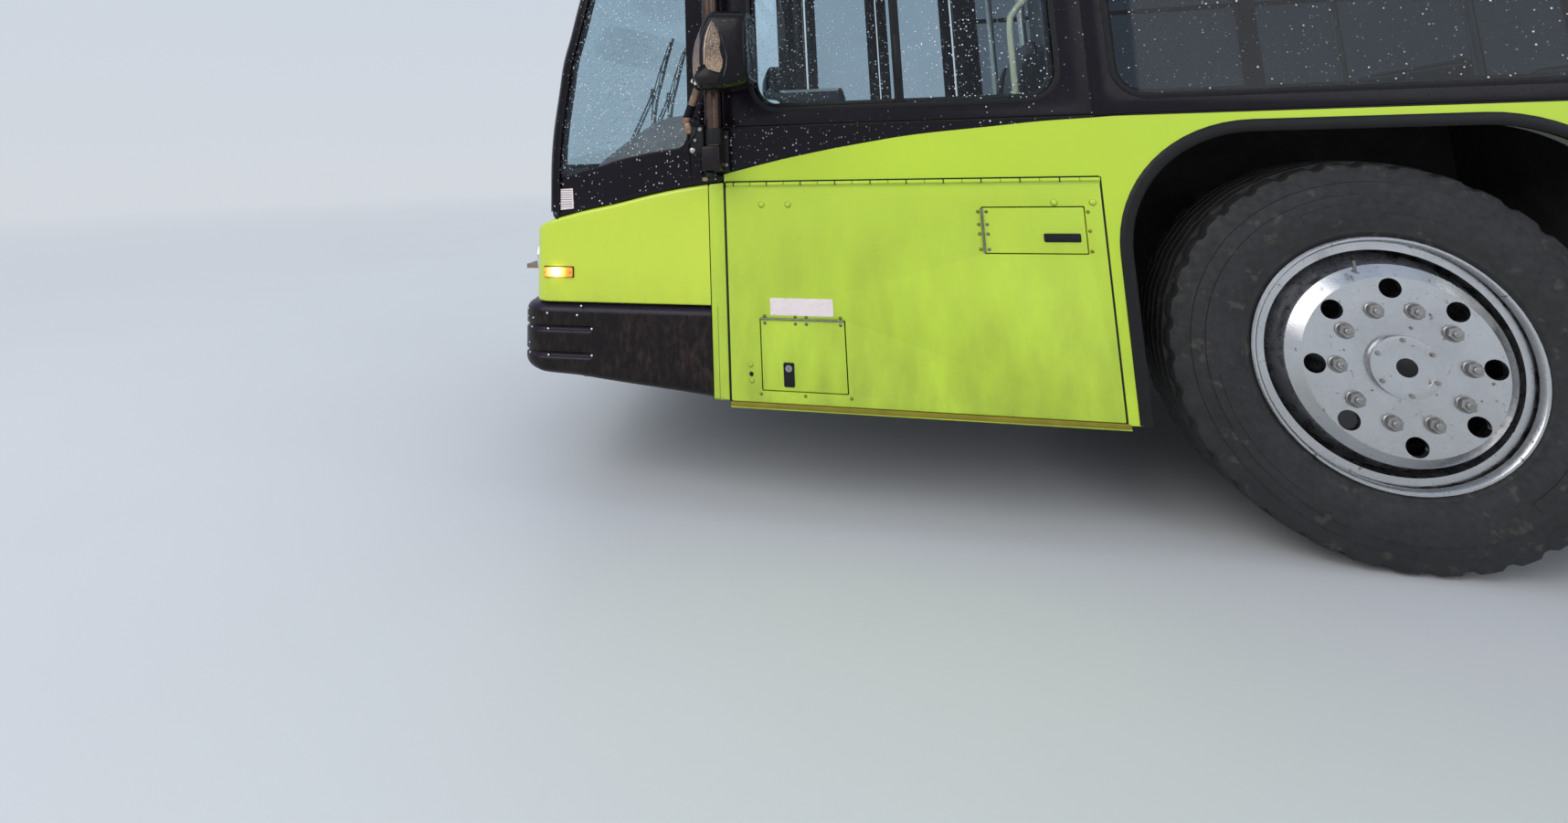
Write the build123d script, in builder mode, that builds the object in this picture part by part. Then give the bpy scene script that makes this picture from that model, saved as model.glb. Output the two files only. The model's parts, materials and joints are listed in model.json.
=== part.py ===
from build123d import *
import math
import os

# City bus, two axles, low floor. Millimetres.
# +X forward, +Y to the driver's side, +Z up. Origin on the ground under the middle of the vehicle.

# ---------------------------------------------------------------- driving sizes
HALF_W = 1295.0            # outer side plane
END_X = 6260.0             # rack bracket tip in front, bumper face behind
POST_X = 5400.0            # rear edge of the front post strip, where the front cap starts
REAR_SKIN_X = -6180.0
WALL = 60.0                # side wall thickness
INNER_Y = HALF_W - WALL
SILL_Z = 330.0
BELT_Z = 1134.0            # joint between the lower wall and the window band
HEAD_Z = 2220.0            # top of the window band
ROOF_Z = 2930.0
FLOOR_Z = 380.0            # low floor, top
FLOOR_T = 28.0
DECK_Z = 760.0             # rear floor, top

AXLE_F = 3720.0
AXLE_R = -3370.0
TYRE_R = 498.0
TYRE_W = 300.0
TYRE_OUT_Y = 1260.0        # outer face of every outer tyre
DUAL_PITCH = 335.0
RIM_R = 286.0
KING_Y = 920.0             # kingpin
ARM_X = -200.0             # track rod pin, behind the kingpin
ROD_Z = 290.0

WELL_HALF = 625.0          # wheel housing, half length inside
ARCH_HALF = 575.0          # opening in the side wall
ARCH_TOP = 1085.0
WELL_TOP = 1120.0
WELL_IN_Y = 560.0
SHEET = 8.0

DOOR_Z0, DOOR_Z1 = 372.0, 2200.0
LEAF_T = 35.0
LEAF_Y = -(HALF_W - 5.0 - LEAF_T / 2)     # middle of the leaf's thickness
LEAF_W = 448.0
JAMB = 19.0
# doorways in the curb side wall: name, rear end, front end
DOORWAYS = {"front": (4405.0, 5345.0), "rear": (-2105.0, -1165.0)}

# windows of the saloon: side (+1 driver's side, -1 curb side), rear end, front end
WINDOWS = [
    # side, x0, x1
    (1, 2850, 4290), (1, 1350, 2790), (1, -150, 1290), (1, -1650, -210), (1, -3150, -1710), (1, -4650, -3210),
    (-1, 2850, 4290), (-1, 1350, 2790), (-1, -150, 1290), (-1, -1065, -210), (-1, -3150, -2205), (-1, -4650, -3210),
]
WIN_Z0, WIN_Z1 = 1182.0, 2130.0
BAND_X0 = -4800.0
DRIVER_WIN = (4426.0, 5307.0)

# service panel on the driver's side and its two small doors: x0, x1, z0, z1
PANEL = (4352.0, 5395.0, 335.0, 952.0)
PANEL_T = 28.0
PANEL_HINGE = (1300.6, 960.5)             # y, z of the long hinge
BATTERY_DOOR = (5059.0, 5301.0, 370.0, 566.0)
ACCESS_DOOR = (4399.0, 4659.0, 762.0, 885.0)
GAP = 5.0
RADIATOR = (-5500.0, -4600.0, 470.0, 1080.0)
ENGINE_DOOR = (-900.0, 900.0, 665.0, 1400.0)   # y0, y1, z0, z1
PLATE = (1090.0, 820.0)                        # middle of the number plate: y, z

# front corner line on the side plane: height, metres ahead of the post strip (here in mm)
CORNER_LINE = [
    # z, lead
    (880, 588), (1031, 588), (1135, 581), (1264, 562), (1368, 546), (1458, 520), (1580, 487), (2332, 251), (2600, 167),
]
FRONT_BOW = 120.0          # how far the middle of the front stands ahead of its corners
POST_IN_Y = 1235.0         # windshield ends here

# upper edge of the lime cap on the side: lead, height
CAP_EDGE = [
    # lead, z
    (0, 968), (22, 965), (153, 947), (251, 928), (351, 905), (453, 883), (530, 854), (588, 827), (620, 806), (900, 806),
]
# lower edge of the corner glass: lead, height
GLASS_EDGE = [
    # lead, z
    (127, 1078), (238, 1064), (344, 1044), (398, 1027), (458, 1013), (507, 997), (543, 985), (900, 985),
]
# lower edge of the bumper on the side: lead, height
BUMPER_EDGE = [
    # lead, z
    (59, 335), (165, 346), (280, 356), (398, 368), (489, 380), (556, 388), (606, 407), (850, 420),
]

os.makedirs("parts", exist_ok=True)


def lead_at(z):
    """Lead of the front corner line at a height."""
    line = CORNER_LINE
    if z <= line[0][0]:
        return line[0][1]
    for (za, la), (zb, lb) in zip(line, line[1:]):
        if z <= zb:
            return la + (lb - la) * (z - za) / (zb - za)
    return line[-1][1]


def slab(x0, x1, y0, y1, z0, z1, mode=Mode.ADD):
    """A box between two corners."""
    with Locations(((x0 + x1) / 2, (y0 + y1) / 2, (z0 + z1) / 2)):
        Box(x1 - x0, y1 - y0, z1 - z0, mode=mode)


def rod(centre, radius, height, turn=(0, 0, 0), mode=Mode.ADD):
    """A cylinder about its middle."""
    with Locations(Location(centre, turn)):
        Cylinder(radius, height, mode=mode)


def side_plane(y):
    """Sketch plane at y, seen from the curb side: local x forward, local y up, extrude goes to -Y."""
    return Plane.XZ.offset(-y)


def front_plan(lead_corner, lead_mid, half, radius, back, grow=0.0):
    """Outline of the front in plan, drawn in the current sketch, rear edge at x = back."""
    xc, xm, w = POST_X + lead_corner + grow, POST_X + lead_mid + grow, half + grow
    with BuildLine() as outline:
        a = Line((back, w), (xc - radius, w))
        b = RadiusArc((xc - radius, w), (xc, w - radius), radius)
        c = ThreePointArc((xc, w - radius), (xm, 0), (xc, -(w - radius)))
        d = RadiusArc((xc, -(w - radius)), (xc - radius, -w), radius)
        e = Line((xc - radius, -w), (back, -w))
        f = Line((back, -w), (back, w))
    make_face(outline.edges())


# ---------------------------------------------------------------- underframe and floor
CROSS = [
    # x, half width
    (5500, 1150), (5000, 1200), (4500, 1200), (2900, 1200), (2300, 1200), (1700, 1200), (1100, 1200), (500, 1200),
    (-100, 1200), (-700, 1200), (-1300, 1200), (-1900, 1200), (-2500, 1200),
]
with BuildPart() as underframe:
    for side in (-1, 1):
        slab(-2635, 5560, side * 470 - 35, side * 470 + 35, 322, 350)
    for x, half in CROSS:
        slab(x - 30, x + 30, -half, half, 315, 350)
underframe.part.label = "underframe"
export_step(underframe.part, "parts/underframe.step")

with BuildPart() as rear_frame:
    for side in (-1, 1):
        slab(-6050, -2640, side * 470 - 35, side * 470 + 35, 610, 700)
        slab(-2700, -2640, side * 470 - 35, side * 470 + 35, 322, 700)   # drop down to the low frame
    for x in (-2670, -4150, -4750, -6020):
        slab(x - 30, x + 30, -1200, 1200, 620, 700)
rear_frame.part.label = "rear_frame"
export_step(rear_frame.part, "parts/rear_frame.step")

with BuildPart() as floor:
    slab(-2148, 5440, -1230, 1230, FLOOR_Z - FLOOR_T, FLOOR_Z)
    slab(5430, 5900, -1195, 1195, FLOOR_Z - FLOOR_T, FLOOR_Z)
    slab(-2178, -2150, -1230, 1230, FLOOR_Z - FLOOR_T, 570)  # first riser
    slab(-2178, -2122, -1230, 1230, 542, 570)
    slab(-2450, -2150, -1230, 1230, 542, 570)
    slab(-2450, -2422, -1230, 1230, 542, DECK_Z)             # second riser
    slab(-4750, -2422, -1230, 1230, DECK_Z - FLOOR_T, DECK_Z)
    slab(-4750, -4722, -1230, 1230, DECK_Z, 1160)            # engine bulkhead and rear deck
    slab(-6095, -4722, -1230, 1230, 1132, 1160)
    for xa in (AXLE_F, AXLE_R):                              # room for the wheel housings
        for s in (-1, 1):
            slab(xa - WELL_HALF - SHEET, xa + WELL_HALF + SHEET, s * 899 - 348, s * 899 + 348, 300, 900, mode=Mode.SUBTRACT)
    slab(4360, 5398, 778, 1300, 340, 400, mode=Mode.SUBTRACT)  # service bay beside the driver
    slab(4362, 5390, 380, 1153, 652, 680)                    # driver's platform over the bay
    slab(4362, 5390, 380, 396, FLOOR_Z + 1, 652)
    slab(5374, 5390, 380, 779, FLOOR_Z + 1, 652)
    slab(5374, 5390, 779, 812, 352, 652)
    slab(4362, 5390, 1137, 1153, 652, 962)
    slab(4362, 5390, 1137, 1232, 954, 962)
    slab(4362, 5390, 780, 812, 352, 652)
    slab(4362, 5390, 780, 1232, 352, 360)
floor.part.label = "floor"
export_step(floor.part, "parts/floor.step")

# ---------------------------------------------------------------- wheel housings: four open boxes
with BuildPart() as wheel_housings:
    for xa, zb in ((AXLE_F, 352.0), (AXLE_R, DECK_Z - FLOOR_T)):
        for s in (-1, 1):
            y0, y1 = sorted((s * (WELL_IN_Y - SHEET), s * (INNER_Y - 2)))
            slab(xa - WELL_HALF - SHEET + 1, xa + WELL_HALF + SHEET - 1, y0, y1, 352.0, WELL_TOP)
            y0, y1 = sorted((s * WELL_IN_Y, s * (INNER_Y + 2)))
            slab(xa - WELL_HALF, xa + WELL_HALF, y0, y1, 300, WELL_TOP - SHEET, mode=Mode.SUBTRACT)
            if zb > 400:
                y0, y1 = sorted((s * (WELL_IN_Y - SHEET - 1), s * WELL_IN_Y))
                slab(xa - WELL_HALF - SHEET, xa + WELL_HALF + SHEET, y0, y1, 300, zb, mode=Mode.SUBTRACT)
wheel_housings.part.label = "wheel_housings"
export_step(wheel_housings.part, "parts/wheel_housings.step")


# ---------------------------------------------------------------- lower side walls
def arch_cut(xa, y0, y1):
    """Wheel arch with a flat top and round shoulders."""
    with BuildSketch(side_plane(max(y0, y1) + 5)) as arch:
        with BuildLine():
            Polyline((xa - ARCH_HALF, 250), (xa - ARCH_HALF, 760))
            RadiusArc((xa - ARCH_HALF, 760), (xa - ARCH_HALF + 325, ARCH_TOP), 325)
            Line((xa - ARCH_HALF + 325, ARCH_TOP), (xa + ARCH_HALF - 325, ARCH_TOP))
            RadiusArc((xa + ARCH_HALF - 325, ARCH_TOP), (xa + ARCH_HALF, 760), 325)
            Polyline((xa + ARCH_HALF, 760), (xa + ARCH_HALF, 250), (xa - ARCH_HALF, 250))
        make_face()
    extrude(arch.sketch, amount=abs(y1 - y0) + 10, mode=Mode.SUBTRACT)


with BuildPart() as left_side:
    slab(-6100, 5398, INNER_Y, HALF_W, SILL_Z, BELT_Z)
    arch_cut(AXLE_F, INNER_Y, HALF_W)
    arch_cut(AXLE_R, INNER_Y, HALF_W)
    slab(PANEL[0] - GAP, 5400, INNER_Y - 1, HALF_W + 1, SILL_Z - 1, 967, mode=Mode.SUBTRACT)
    slab(RADIATOR[0] - 24, RADIATOR[1] + 24, INNER_Y - 1, HALF_W + 1, RADIATOR[2] - 6, RADIATOR[3] + 6, mode=Mode.SUBTRACT)
    with BuildSketch(side_plane(HALF_W + 5)):                       # the skirt rises behind the rear wheel
        Polygon((-6101, 300), (-3900, 300), (-6101, 430), align=None)
    extrude(amount=WALL + 10, mode=Mode.SUBTRACT)
    slab(4340, 5398, INNER_Y, HALF_W - 3, 316, SILL_Z)              # lip under the service panel
    slab(-6100, BAND_X0, INNER_Y, HALF_W, BELT_Z, HEAD_Z)
left_side.part.label = "left_side"
export_step(left_side.part, "parts/left_side.step")

with BuildPart() as right_side:
    slab(-6100, 5398, -HALF_W, -INNER_Y, SILL_Z, BELT_Z)
    arch_cut(AXLE_F, -HALF_W, -INNER_Y)
    arch_cut(AXLE_R, -HALF_W, -INNER_Y)
    for x0, x1 in DOORWAYS.values():
        slab(x0, x1, -HALF_W - 1, -INNER_Y + 1, 352, BELT_Z + 1, mode=Mode.SUBTRACT)
    with BuildSketch(side_plane(-INNER_Y + 5)):
        Polygon((-6101, 300), (-3900, 300), (-6101, 430), align=None)
    extrude(amount=WALL + 10, mode=Mode.SUBTRACT)
    slab(-6100, BAND_X0, -HALF_W, -INNER_Y, BELT_Z, HEAD_Z)
right_side.part.label = "right_side"
export_step(right_side.part, "parts/right_side.step")

# ---------------------------------------------------------------- window bands
with BuildPart() as left_window_frame:
    slab(BAND_X0, 5398, INNER_Y, HALF_W, BELT_Z, HEAD_Z)
    for s, x0, x1 in WINDOWS:
        if s > 0:
            slab(x0, x1, INNER_Y - 1, HALF_W + 1, WIN_Z0, WIN_Z1, mode=Mode.SUBTRACT)
    slab(DRIVER_WIN[0], DRIVER_WIN[1], INNER_Y - 1, HALF_W + 1, WIN_Z0, WIN_Z1, mode=Mode.SUBTRACT)
left_window_frame.part.label = "left_window_frame"
export_step(left_window_frame.part, "parts/left_window_frame.step")

with BuildPart() as right_window_frame:
    slab(BAND_X0, 5398, -HALF_W, -INNER_Y, BELT_Z, HEAD_Z)
    for s, x0, x1 in WINDOWS:
        if s < 0:
            slab(x0, x1, -HALF_W - 1, -INNER_Y + 1, WIN_Z0, WIN_Z1, mode=Mode.SUBTRACT)
    for x0, x1 in DOORWAYS.values():
        slab(x0, x1, -HALF_W - 1, -INNER_Y + 1, BELT_Z - 1, HEAD_Z + 1, mode=Mode.SUBTRACT)
    for x0, x1 in DOORWAYS.values():                         # header over each doorway
        slab(x0 + 1, x1 - 1, -HALF_W, -INNER_Y, DOOR_Z1 + 6, HEAD_Z)
right_window_frame.part.label = "right_window_frame"
export_step(right_window_frame.part, "parts/right_window_frame.step")

GLASS_T = 8.0
with BuildPart() as side_glass:
    for s, x0, x1 in WINDOWS:
        y0, y1 = sorted((s * (HALF_W - 14), s * (HALF_W - 14 + GLASS_T)))
        slab(x0 + 1, x1 - 1, y0, y1, WIN_Z0 + 1, WIN_Z1 - 1)
    mid = POST_X - 538                                          # the driver's window slides: two panes in two tracks
    slab(DRIVER_WIN[0] + 1, mid + 10, HALF_W - 14, HALF_W - 6, WIN_Z0 + 1, WIN_Z1 - 1)
    slab(mid - 10, DRIVER_WIN[1] - 1, HALF_W - 28, HALF_W - 20, WIN_Z0 + 1, WIN_Z1 - 1)
    for y in (HALF_W - 6, -(HALF_W - 6) + GLASS_T):             # corner glass beside the windshield
        with BuildSketch(side_plane(y)):
            Polygon(
                (POST_X + 129, 1081), (POST_X + 238, 1067), (POST_X + 344, 1047), (POST_X + 398, 1030), (POST_X + 458, 1016),
                (POST_X + 507, 1000), (POST_X + 541, 989), (POST_X + 533, 1107), (POST_X + 515, 1263), (POST_X + 496, 1368),
                (POST_X + 471, 1458), (POST_X + 437, 1576), (POST_X + 203, 2328), (POST_X + 113, 2328), (POST_X + 113, 1140), align=None)
        extrude(amount=GLASS_T)
side_glass.part.label = "side_glass"
export_step(side_glass.part, "parts/side_glass.step")


# ---------------------------------------------------------------- roof: one bent section, from cove to cove
def roof_section(inset, base):
    """Closed section of the roof, inset from the outer skin: straight cove, round shoulder, low crown."""
    w, top = HALF_W - inset, ROOF_Z - inset
    xs, zs, zt = 1110 - inset * 0.6, 2795 - inset * 0.8, 2400.0
    r = ((w - xs) ** 2 + (zs - zt) ** 2) / (2 * (w - xs))
    half = math.atan2(zs - zt, xs - (w - r)) / 2
    xm, zm = w - r + r * math.cos(half), zt + r * math.sin(half)
    with BuildLine() as outline:
        Line((w, base), (w, zt))
        ThreePointArc((w, zt), (xm, zm), (xs, zs))
        ThreePointArc((xs, zs), (0, top), (-xs, zs))
        ThreePointArc((-xs, zs), (-xm, zm), (-w, zt))
        Line((-w, zt), (-w, base))
        Line((-w, base), (w, base))
    make_face(outline.edges())


HATCHES = {"front_hatch": 2400.0, "rear_hatch": -2600.0}      # front edge of each hatch
HATCH = 620.0
with BuildPart() as roof:
    with BuildSketch(Plane.YZ.offset(-6100)):
        roof_section(0, HEAD_Z)
    extrude(amount=11498)
    with BuildSketch(Plane.YZ.offset(-6101)):
        roof_section(60, HEAD_Z - 5)
    extrude(amount=11500, mode=Mode.SUBTRACT)
    for xf in HATCHES.values():
        slab(xf - 630, xf + 10, -320, 320, 2880, 2935)
        slab(xf - 590, xf - 30, -280, 280, 2800, 2940, mode=Mode.SUBTRACT)
roof.part.label = "roof"
export_step(roof.part, "parts/roof.step")

for hatch_name, xf in HATCHES.items():
    with BuildPart() as hatch:
        slab(xf - HATCH, xf, -310, 310, 2940, 2975)
        fillet(hatch.edges().filter_by(Axis.Z), 40)
        chamfer(hatch.faces().sort_by(Axis.Z)[-1].edges(), 10)
    hatch.part.label = hatch_name
    export_step(hatch.part, "parts/" + hatch_name + ".step")

with BuildPart() as roof_unit:
    with BuildSketch(side_plane(1000)):
        with BuildLine():
            Polyline((-6080, 2830), (-6080, 2960), (-5960, 3050), (-4600, 3050), (-4250, 2960), (-4250, 2830), (-6080, 2830))
        make_face()
    extrude(amount=2000)
    with BuildSketch(Plane.YZ.offset(-6200)):
        roof_section(0, 2000)
    extrude(amount=2400, mode=Mode.SUBTRACT)
roof_unit.part.label = "roof_unit"
export_step(roof_unit.part, "parts/roof_unit.step")

# ---------------------------------------------------------------- front end
BOW_SECTIONS = [988, 1135, 1264, 1368, 1458, 1580, 2332]     # heights at which the front glass changes its lean

with BuildPart() as front_cap:
    with BuildSketch(Plane.XY.offset(601)):
        front_plan(640, 760, HALF_W, 65, POST_X + 2)
    extrude(amount=400)
    with BuildSketch(Plane.XY.offset(590)):
        front_plan(640, 760, HALF_W, 65, POST_X - 10, grow=-WALL)
    extrude(amount=420, mode=Mode.SUBTRACT)
    with BuildSketch(side_plane(HALF_W + 5)):
        Polygon(*[(POST_X + lead, z) for lead, z in CAP_EDGE], (POST_X + 900, 1100), (POST_X, 1100), align=None)
    extrude(amount=2 * HALF_W + 10, mode=Mode.SUBTRACT)
    for s in (-1, 1):                                        # headlamp pockets
        slab(POST_X + 560, POST_X + 900, s * 930 - 230, s * 930 + 230, 625, 785, mode=Mode.SUBTRACT)
    for s in (-1, 1):                                        # post strip down to the sill
        y0, y1 = sorted((s * INNER_Y, s * HALF_W))
        slab(POST_X + 2, POST_X + 50, y0, y1, 335, 601)
front_cap.part.label = "front_cap"
export_step(front_cap.part, "parts/front_cap.step")

with BuildPart() as front_surround:
    with BuildSketch(Plane.XY.offset(700)):
        front_plan(588, 708, HALF_W, 65, POST_X + 2)
    extrude(amount=378 + 56)
    with BuildSketch(Plane.XY.offset(690)):
        front_plan(588, 708, HALF_W, 65, POST_X - 10, grow=-WALL)
    extrude(amount=460, mode=Mode.SUBTRACT)
    with BuildSketch(side_plane(HALF_W + 5)):                # above the glass edge
        Polygon(
            (POST_X - 5, BELT_Z), (POST_X + 110, BELT_Z), (POST_X + 127, 1078),
            *[(POST_X + lead, z) for lead, z in GLASS_EDGE[1:]], (POST_X + 900, 1200), (POST_X - 5, 1200), align=None)
    extrude(amount=2 * HALF_W + 10, mode=Mode.SUBTRACT)
    with BuildSketch(side_plane(HALF_W + 5)):                # below the cap edge
        Polygon(*[(POST_X + lead, z + 2) for lead, z in CAP_EDGE], (POST_X + 900, 600), (POST_X, 600), align=None)
    extrude(amount=2 * HALF_W + 10, mode=Mode.SUBTRACT)
front_surround.part.label = "front_surround"
export_step(front_surround.part, "parts/front_surround.step")

with BuildPart() as front_bumper:
    with BuildSketch(Plane.XY.offset(330)):
        front_plan(655, 825, HALF_W, 120, POST_X + 55)
    extrude(amount=264)
    with BuildSketch(Plane.XY.offset(320)):
        front_plan(655, 825, HALF_W, 60, POST_X + 40, grow=-90)
    extrude(amount=300, mode=Mode.SUBTRACT)
    with BuildSketch(side_plane(HALF_W + 5)):
        Polygon((POST_X + 40, 335), *[(POST_X + lead, z) for lead, z in BUMPER_EDGE], (POST_X + 900, 300), (POST_X + 40, 300), align=None)
    extrude(amount=2 * HALF_W + 10, mode=Mode.SUBTRACT)
front_bumper.part.label = "front_bumper"
export_step(front_bumper.part, "parts/front_bumper.step")

BRACKET_Y = 660.0
with BuildPart() as rack_brackets:
    for s in (-1, 1):
        slab(POST_X + 790, END_X, s * BRACKET_Y - 20, s * BRACKET_Y + 20, 612, 650)
        rod((END_X - 30, s * BRACKET_Y, 631), 9, 60, turn=(90, 0, 0), mode=Mode.SUBTRACT)
rack_brackets.part.label = "rack_brackets"
export_step(rack_brackets.part, "parts/rack_brackets.step")

with BuildPart() as windshield:
    for z in BOW_SECTIONS:
        xc = POST_X + lead_at(z)
        with BuildSketch(Plane.XY.offset(z)):
            with BuildLine():
                ThreePointArc((xc, 1231), (xc + FRONT_BOW, 0), (xc, -1231))
                Line((xc, -1231), (xc - 12, -1231))
                ThreePointArc((xc - 12, -1231), (xc + FRONT_BOW - 12, 0), (xc - 12, 1231))
                Line((xc - 12, 1231), (xc, 1231))
            make_face()
    loft(ruled=True)
windshield.part.label = "windshield"
export_step(windshield.part, "parts/windshield.step")

POST_SECTIONS = [985, 1135, 1264, 1368, 1458, 1580, 2332]
with BuildPart() as corner_posts:
    for s in (-1, 1):
        with BuildPart(mode=Mode.PRIVATE) as one_post:
            for z in POST_SECTIONS:
                xc = POST_X + lead_at(z)
                with BuildSketch(Plane.XY.offset(z)):
                    Polygon(
                        (xc - 45, s * HALF_W), (xc - 28, s * HALF_W), (xc, s * (HALF_W - 28)), (xc, s * POST_IN_Y),
                        (xc - 45, s * POST_IN_Y), align=None)
            loft(ruled=True)
        add(one_post.part)
        y0, y1 = sorted((s * INNER_Y, s * HALF_W))           # pillar beside the driver's window and the front door
        slab(POST_X, POST_X + 110, y0, y1, BELT_Z, 2332)
corner_posts.part.label = "corner_posts"
export_step(corner_posts.part, "parts/corner_posts.step")

# hood over the windshield: holds the route sign
HOOD_WALL = 45.0
with BuildPart() as sign_hood:
    for inset, back in ((0, 0), (HOOD_WALL, -HOOD_WALL)):
        with BuildPart(mode=Mode.PRIVATE) as block:
            with BuildSketch(Plane.YZ.offset(POST_X - inset)):
                roof_section(inset, 2334 - inset)
            extrude(amount=420)
            with BuildSketch(side_plane(1400)):
                with BuildLine():
                    Line((POST_X + 500, 2250), (POST_X + 277 + back, 2250))
                    Line((POST_X + 277 + back, 2250), (POST_X + 190 + back, 2640))
                    ThreePointArc((POST_X + 190 + back, 2640), (POST_X + 105 + back, 2840 + back / 2), (POST_X - 60 + back, 2932 + back))
                    Polyline((POST_X - 60 + back, 2932 + back), (POST_X - 60 + back, 3000), (POST_X + 500, 3000), (POST_X + 500, 2250))
                make_face()
            extrude(amount=2800, mode=Mode.SUBTRACT)
        add(block.part, mode=Mode.ADD if inset == 0 else Mode.SUBTRACT)
sign_hood.part.label = "sign_hood"
export_step(sign_hood.part, "parts/sign_hood.step")

# ---------------------------------------------------------------- rear end
with BuildPart() as rear_wall:
    with BuildSketch(Plane.YZ.offset(REAR_SKIN_X)):
        roof_section(0, 630)
    extrude(amount=78)
    y0, y1, z0, z1 = ENGINE_DOOR
    slab(REAR_SKIN_X - 1, -6100, y0 - 8, y1 + 8, z0 - 8, z1 + 12, mode=Mode.SUBTRACT)
    slab(REAR_SKIN_X - 1, REAR_SKIN_X + 30, -900, 900, 2280, 2620, mode=Mode.SUBTRACT)     # grille recess
    slab(REAR_SKIN_X - 1, REAR_SKIN_X + 20, -900, -250, 1900, 2150, mode=Mode.SUBTRACT)    # route sign recess
    for dy in (-88.9, 88.9):                                 # four holes for a number plate
        for dz in (-60.3, 60.3):
            rod((REAR_SKIN_X, PLATE[0] + dy, PLATE[1] + dz), 3.5, 50, turn=(0, 90, 0), mode=Mode.SUBTRACT)
rear_wall.part.label = "rear_wall"
export_step(rear_wall.part, "parts/rear_wall.step")

with BuildPart() as rear_grille:
    slab(REAR_SKIN_X + 22, REAR_SKIN_X + 30, -898, 898, 2282, 2618)
    for i in range(14):
        z = 2294 + i * 24
        slab(REAR_SKIN_X + 4, REAR_SKIN_X + 22, -898, 898, z, z + 8)
    for y in (-898, -6, 886):
        slab(REAR_SKIN_X + 2, REAR_SKIN_X + 22, y, y + 12, 2282, 2618)
rear_grille.part.label = "rear_grille"
export_step(rear_grille.part, "parts/rear_grille.step")

with BuildPart() as rear_bumper:
    with BuildSketch(Plane.XY.offset(390)):
        with BuildLine():
            w, xr = HALF_W, -END_X
            Line((-6102, w), (xr + 90, w))
            RadiusArc((xr + 90, w), (xr, w - 90), -90)
            Line((xr, w - 90), (xr, -(w - 90)))
            RadiusArc((xr, -(w - 90)), (xr + 90, -w), -90)
            Polyline((xr + 90, -w), (-6102, -w), (-6102, -(w - 50)), (-6182, -(w - 50)), (-6182, w - 50), (-6102, w - 50), (-6102, w))
        make_face()
    extrude(amount=236)
    slab(-6220, -6150, -900, 900, 395, 560)
rear_bumper.part.label = "rear_bumper"
export_step(rear_bumper.part, "parts/rear_bumper.step")

with BuildPart() as engine_door:
    y0, y1, z0, z1 = ENGINE_DOOR
    slab(REAR_SKIN_X, REAR_SKIN_X + 40, y0, y1, z0, z1)
    slab(REAR_SKIN_X + 12, REAR_SKIN_X + 41, y0 + 40, y1 - 40, z0 + 40, z1 - 60, mode=Mode.SUBTRACT)
    slab(REAR_SKIN_X + 1, REAR_SKIN_X + 7, y0 + 40, y1 - 40, z1, z1 + 3)
engine_door.part.label = "engine_door"
export_step(engine_door.part, "parts/engine_door.step")

with BuildPart() as radiator_door:
    x0, x1, z0, z1 = RADIATOR
    slab(x0, x1, HALF_W - 40, HALF_W - 5, z0, z1)
    slab(x0 + 60, x1 - 60, HALF_W - 41, HALF_W, z0 + 60, z1 - 60, mode=Mode.SUBTRACT)
    for i in range(17):
        z = z0 + 70 + i * 28
        if z < z1 - 70:
            slab(x0 + 50, x1 - 50, HALF_W - 36, HALF_W - 12, z, z + 10)
    for i in range(1, 4):
        x = x0 + i * (x1 - x0) / 4
        slab(x - 6, x + 6, HALF_W - 36, HALF_W - 14, z0 + 50, z1 - 50)
radiator_door.part.label = "radiator_door"
export_step(radiator_door.part, "parts/radiator_door.step")

with BuildPart() as engine_block:
    slab(-5960, -4900, -420, 420, 430, 1080)
engine_block.part.label = "engine_block"
export_step(engine_block.part, "parts/engine_block.step")

# ---------------------------------------------------------------- service panel and its doors
with BuildPart() as service_panel:
    x0, x1, z0, z1 = PANEL
    slab(x0, x1, HALF_W - PANEL_T, HALF_W, z0, z1)
    for dx0, dx1, dz0, dz1 in (BATTERY_DOOR, ACCESS_DOOR):
        slab(dx0 - GAP, dx1 + GAP, HALF_W - PANEL_T - 1, HALF_W + 1, dz0 - GAP, dz1 + GAP, mode=Mode.SUBTRACT)
    slab(x0, x1 - 3, HALF_W, HALF_W + 2, z1 - 22, z1 + 8.5)
    rod(((x0 + x1 - 3) / 2, PANEL_HINGE[0], PANEL_HINGE[1]), 5.5, x1 - x0 - 3, turn=(0, 90, 0))
service_panel.part.label = "service_panel"
export_step(service_panel.part, "parts/service_panel.step")

with BuildPart() as battery_door:
    x0, x1, z0, z1 = BATTERY_DOOR
    slab(x0, x1, HALF_W - 10, HALF_W, z0, z1)
    slab(x0, x1, HALF_W, HALF_W + 1.5, z1 - 10, z1 + 3)
    rod(((x0 + x1) / 2, HALF_W + 3.5, z1 + 3), 3, x1 - x0, turn=(0, 90, 0))
battery_door.part.label = "battery_door"
export_step(battery_door.part, "parts/battery_door.step")

with BuildPart() as access_door:
    x0, x1, z0, z1 = ACCESS_DOOR
    slab(x0, x1, HALF_W - 10, HALF_W, z0, z1)
    slab(x1 - 10, x1 + 3, HALF_W, HALF_W + 1.5, z0, z1)
    rod((x1 + 3, HALF_W + 3.5, (z0 + z1) / 2), 3, z1 - z0)
access_door.part.label = "access_door"
export_step(access_door.part, "parts/access_door.step")

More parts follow.
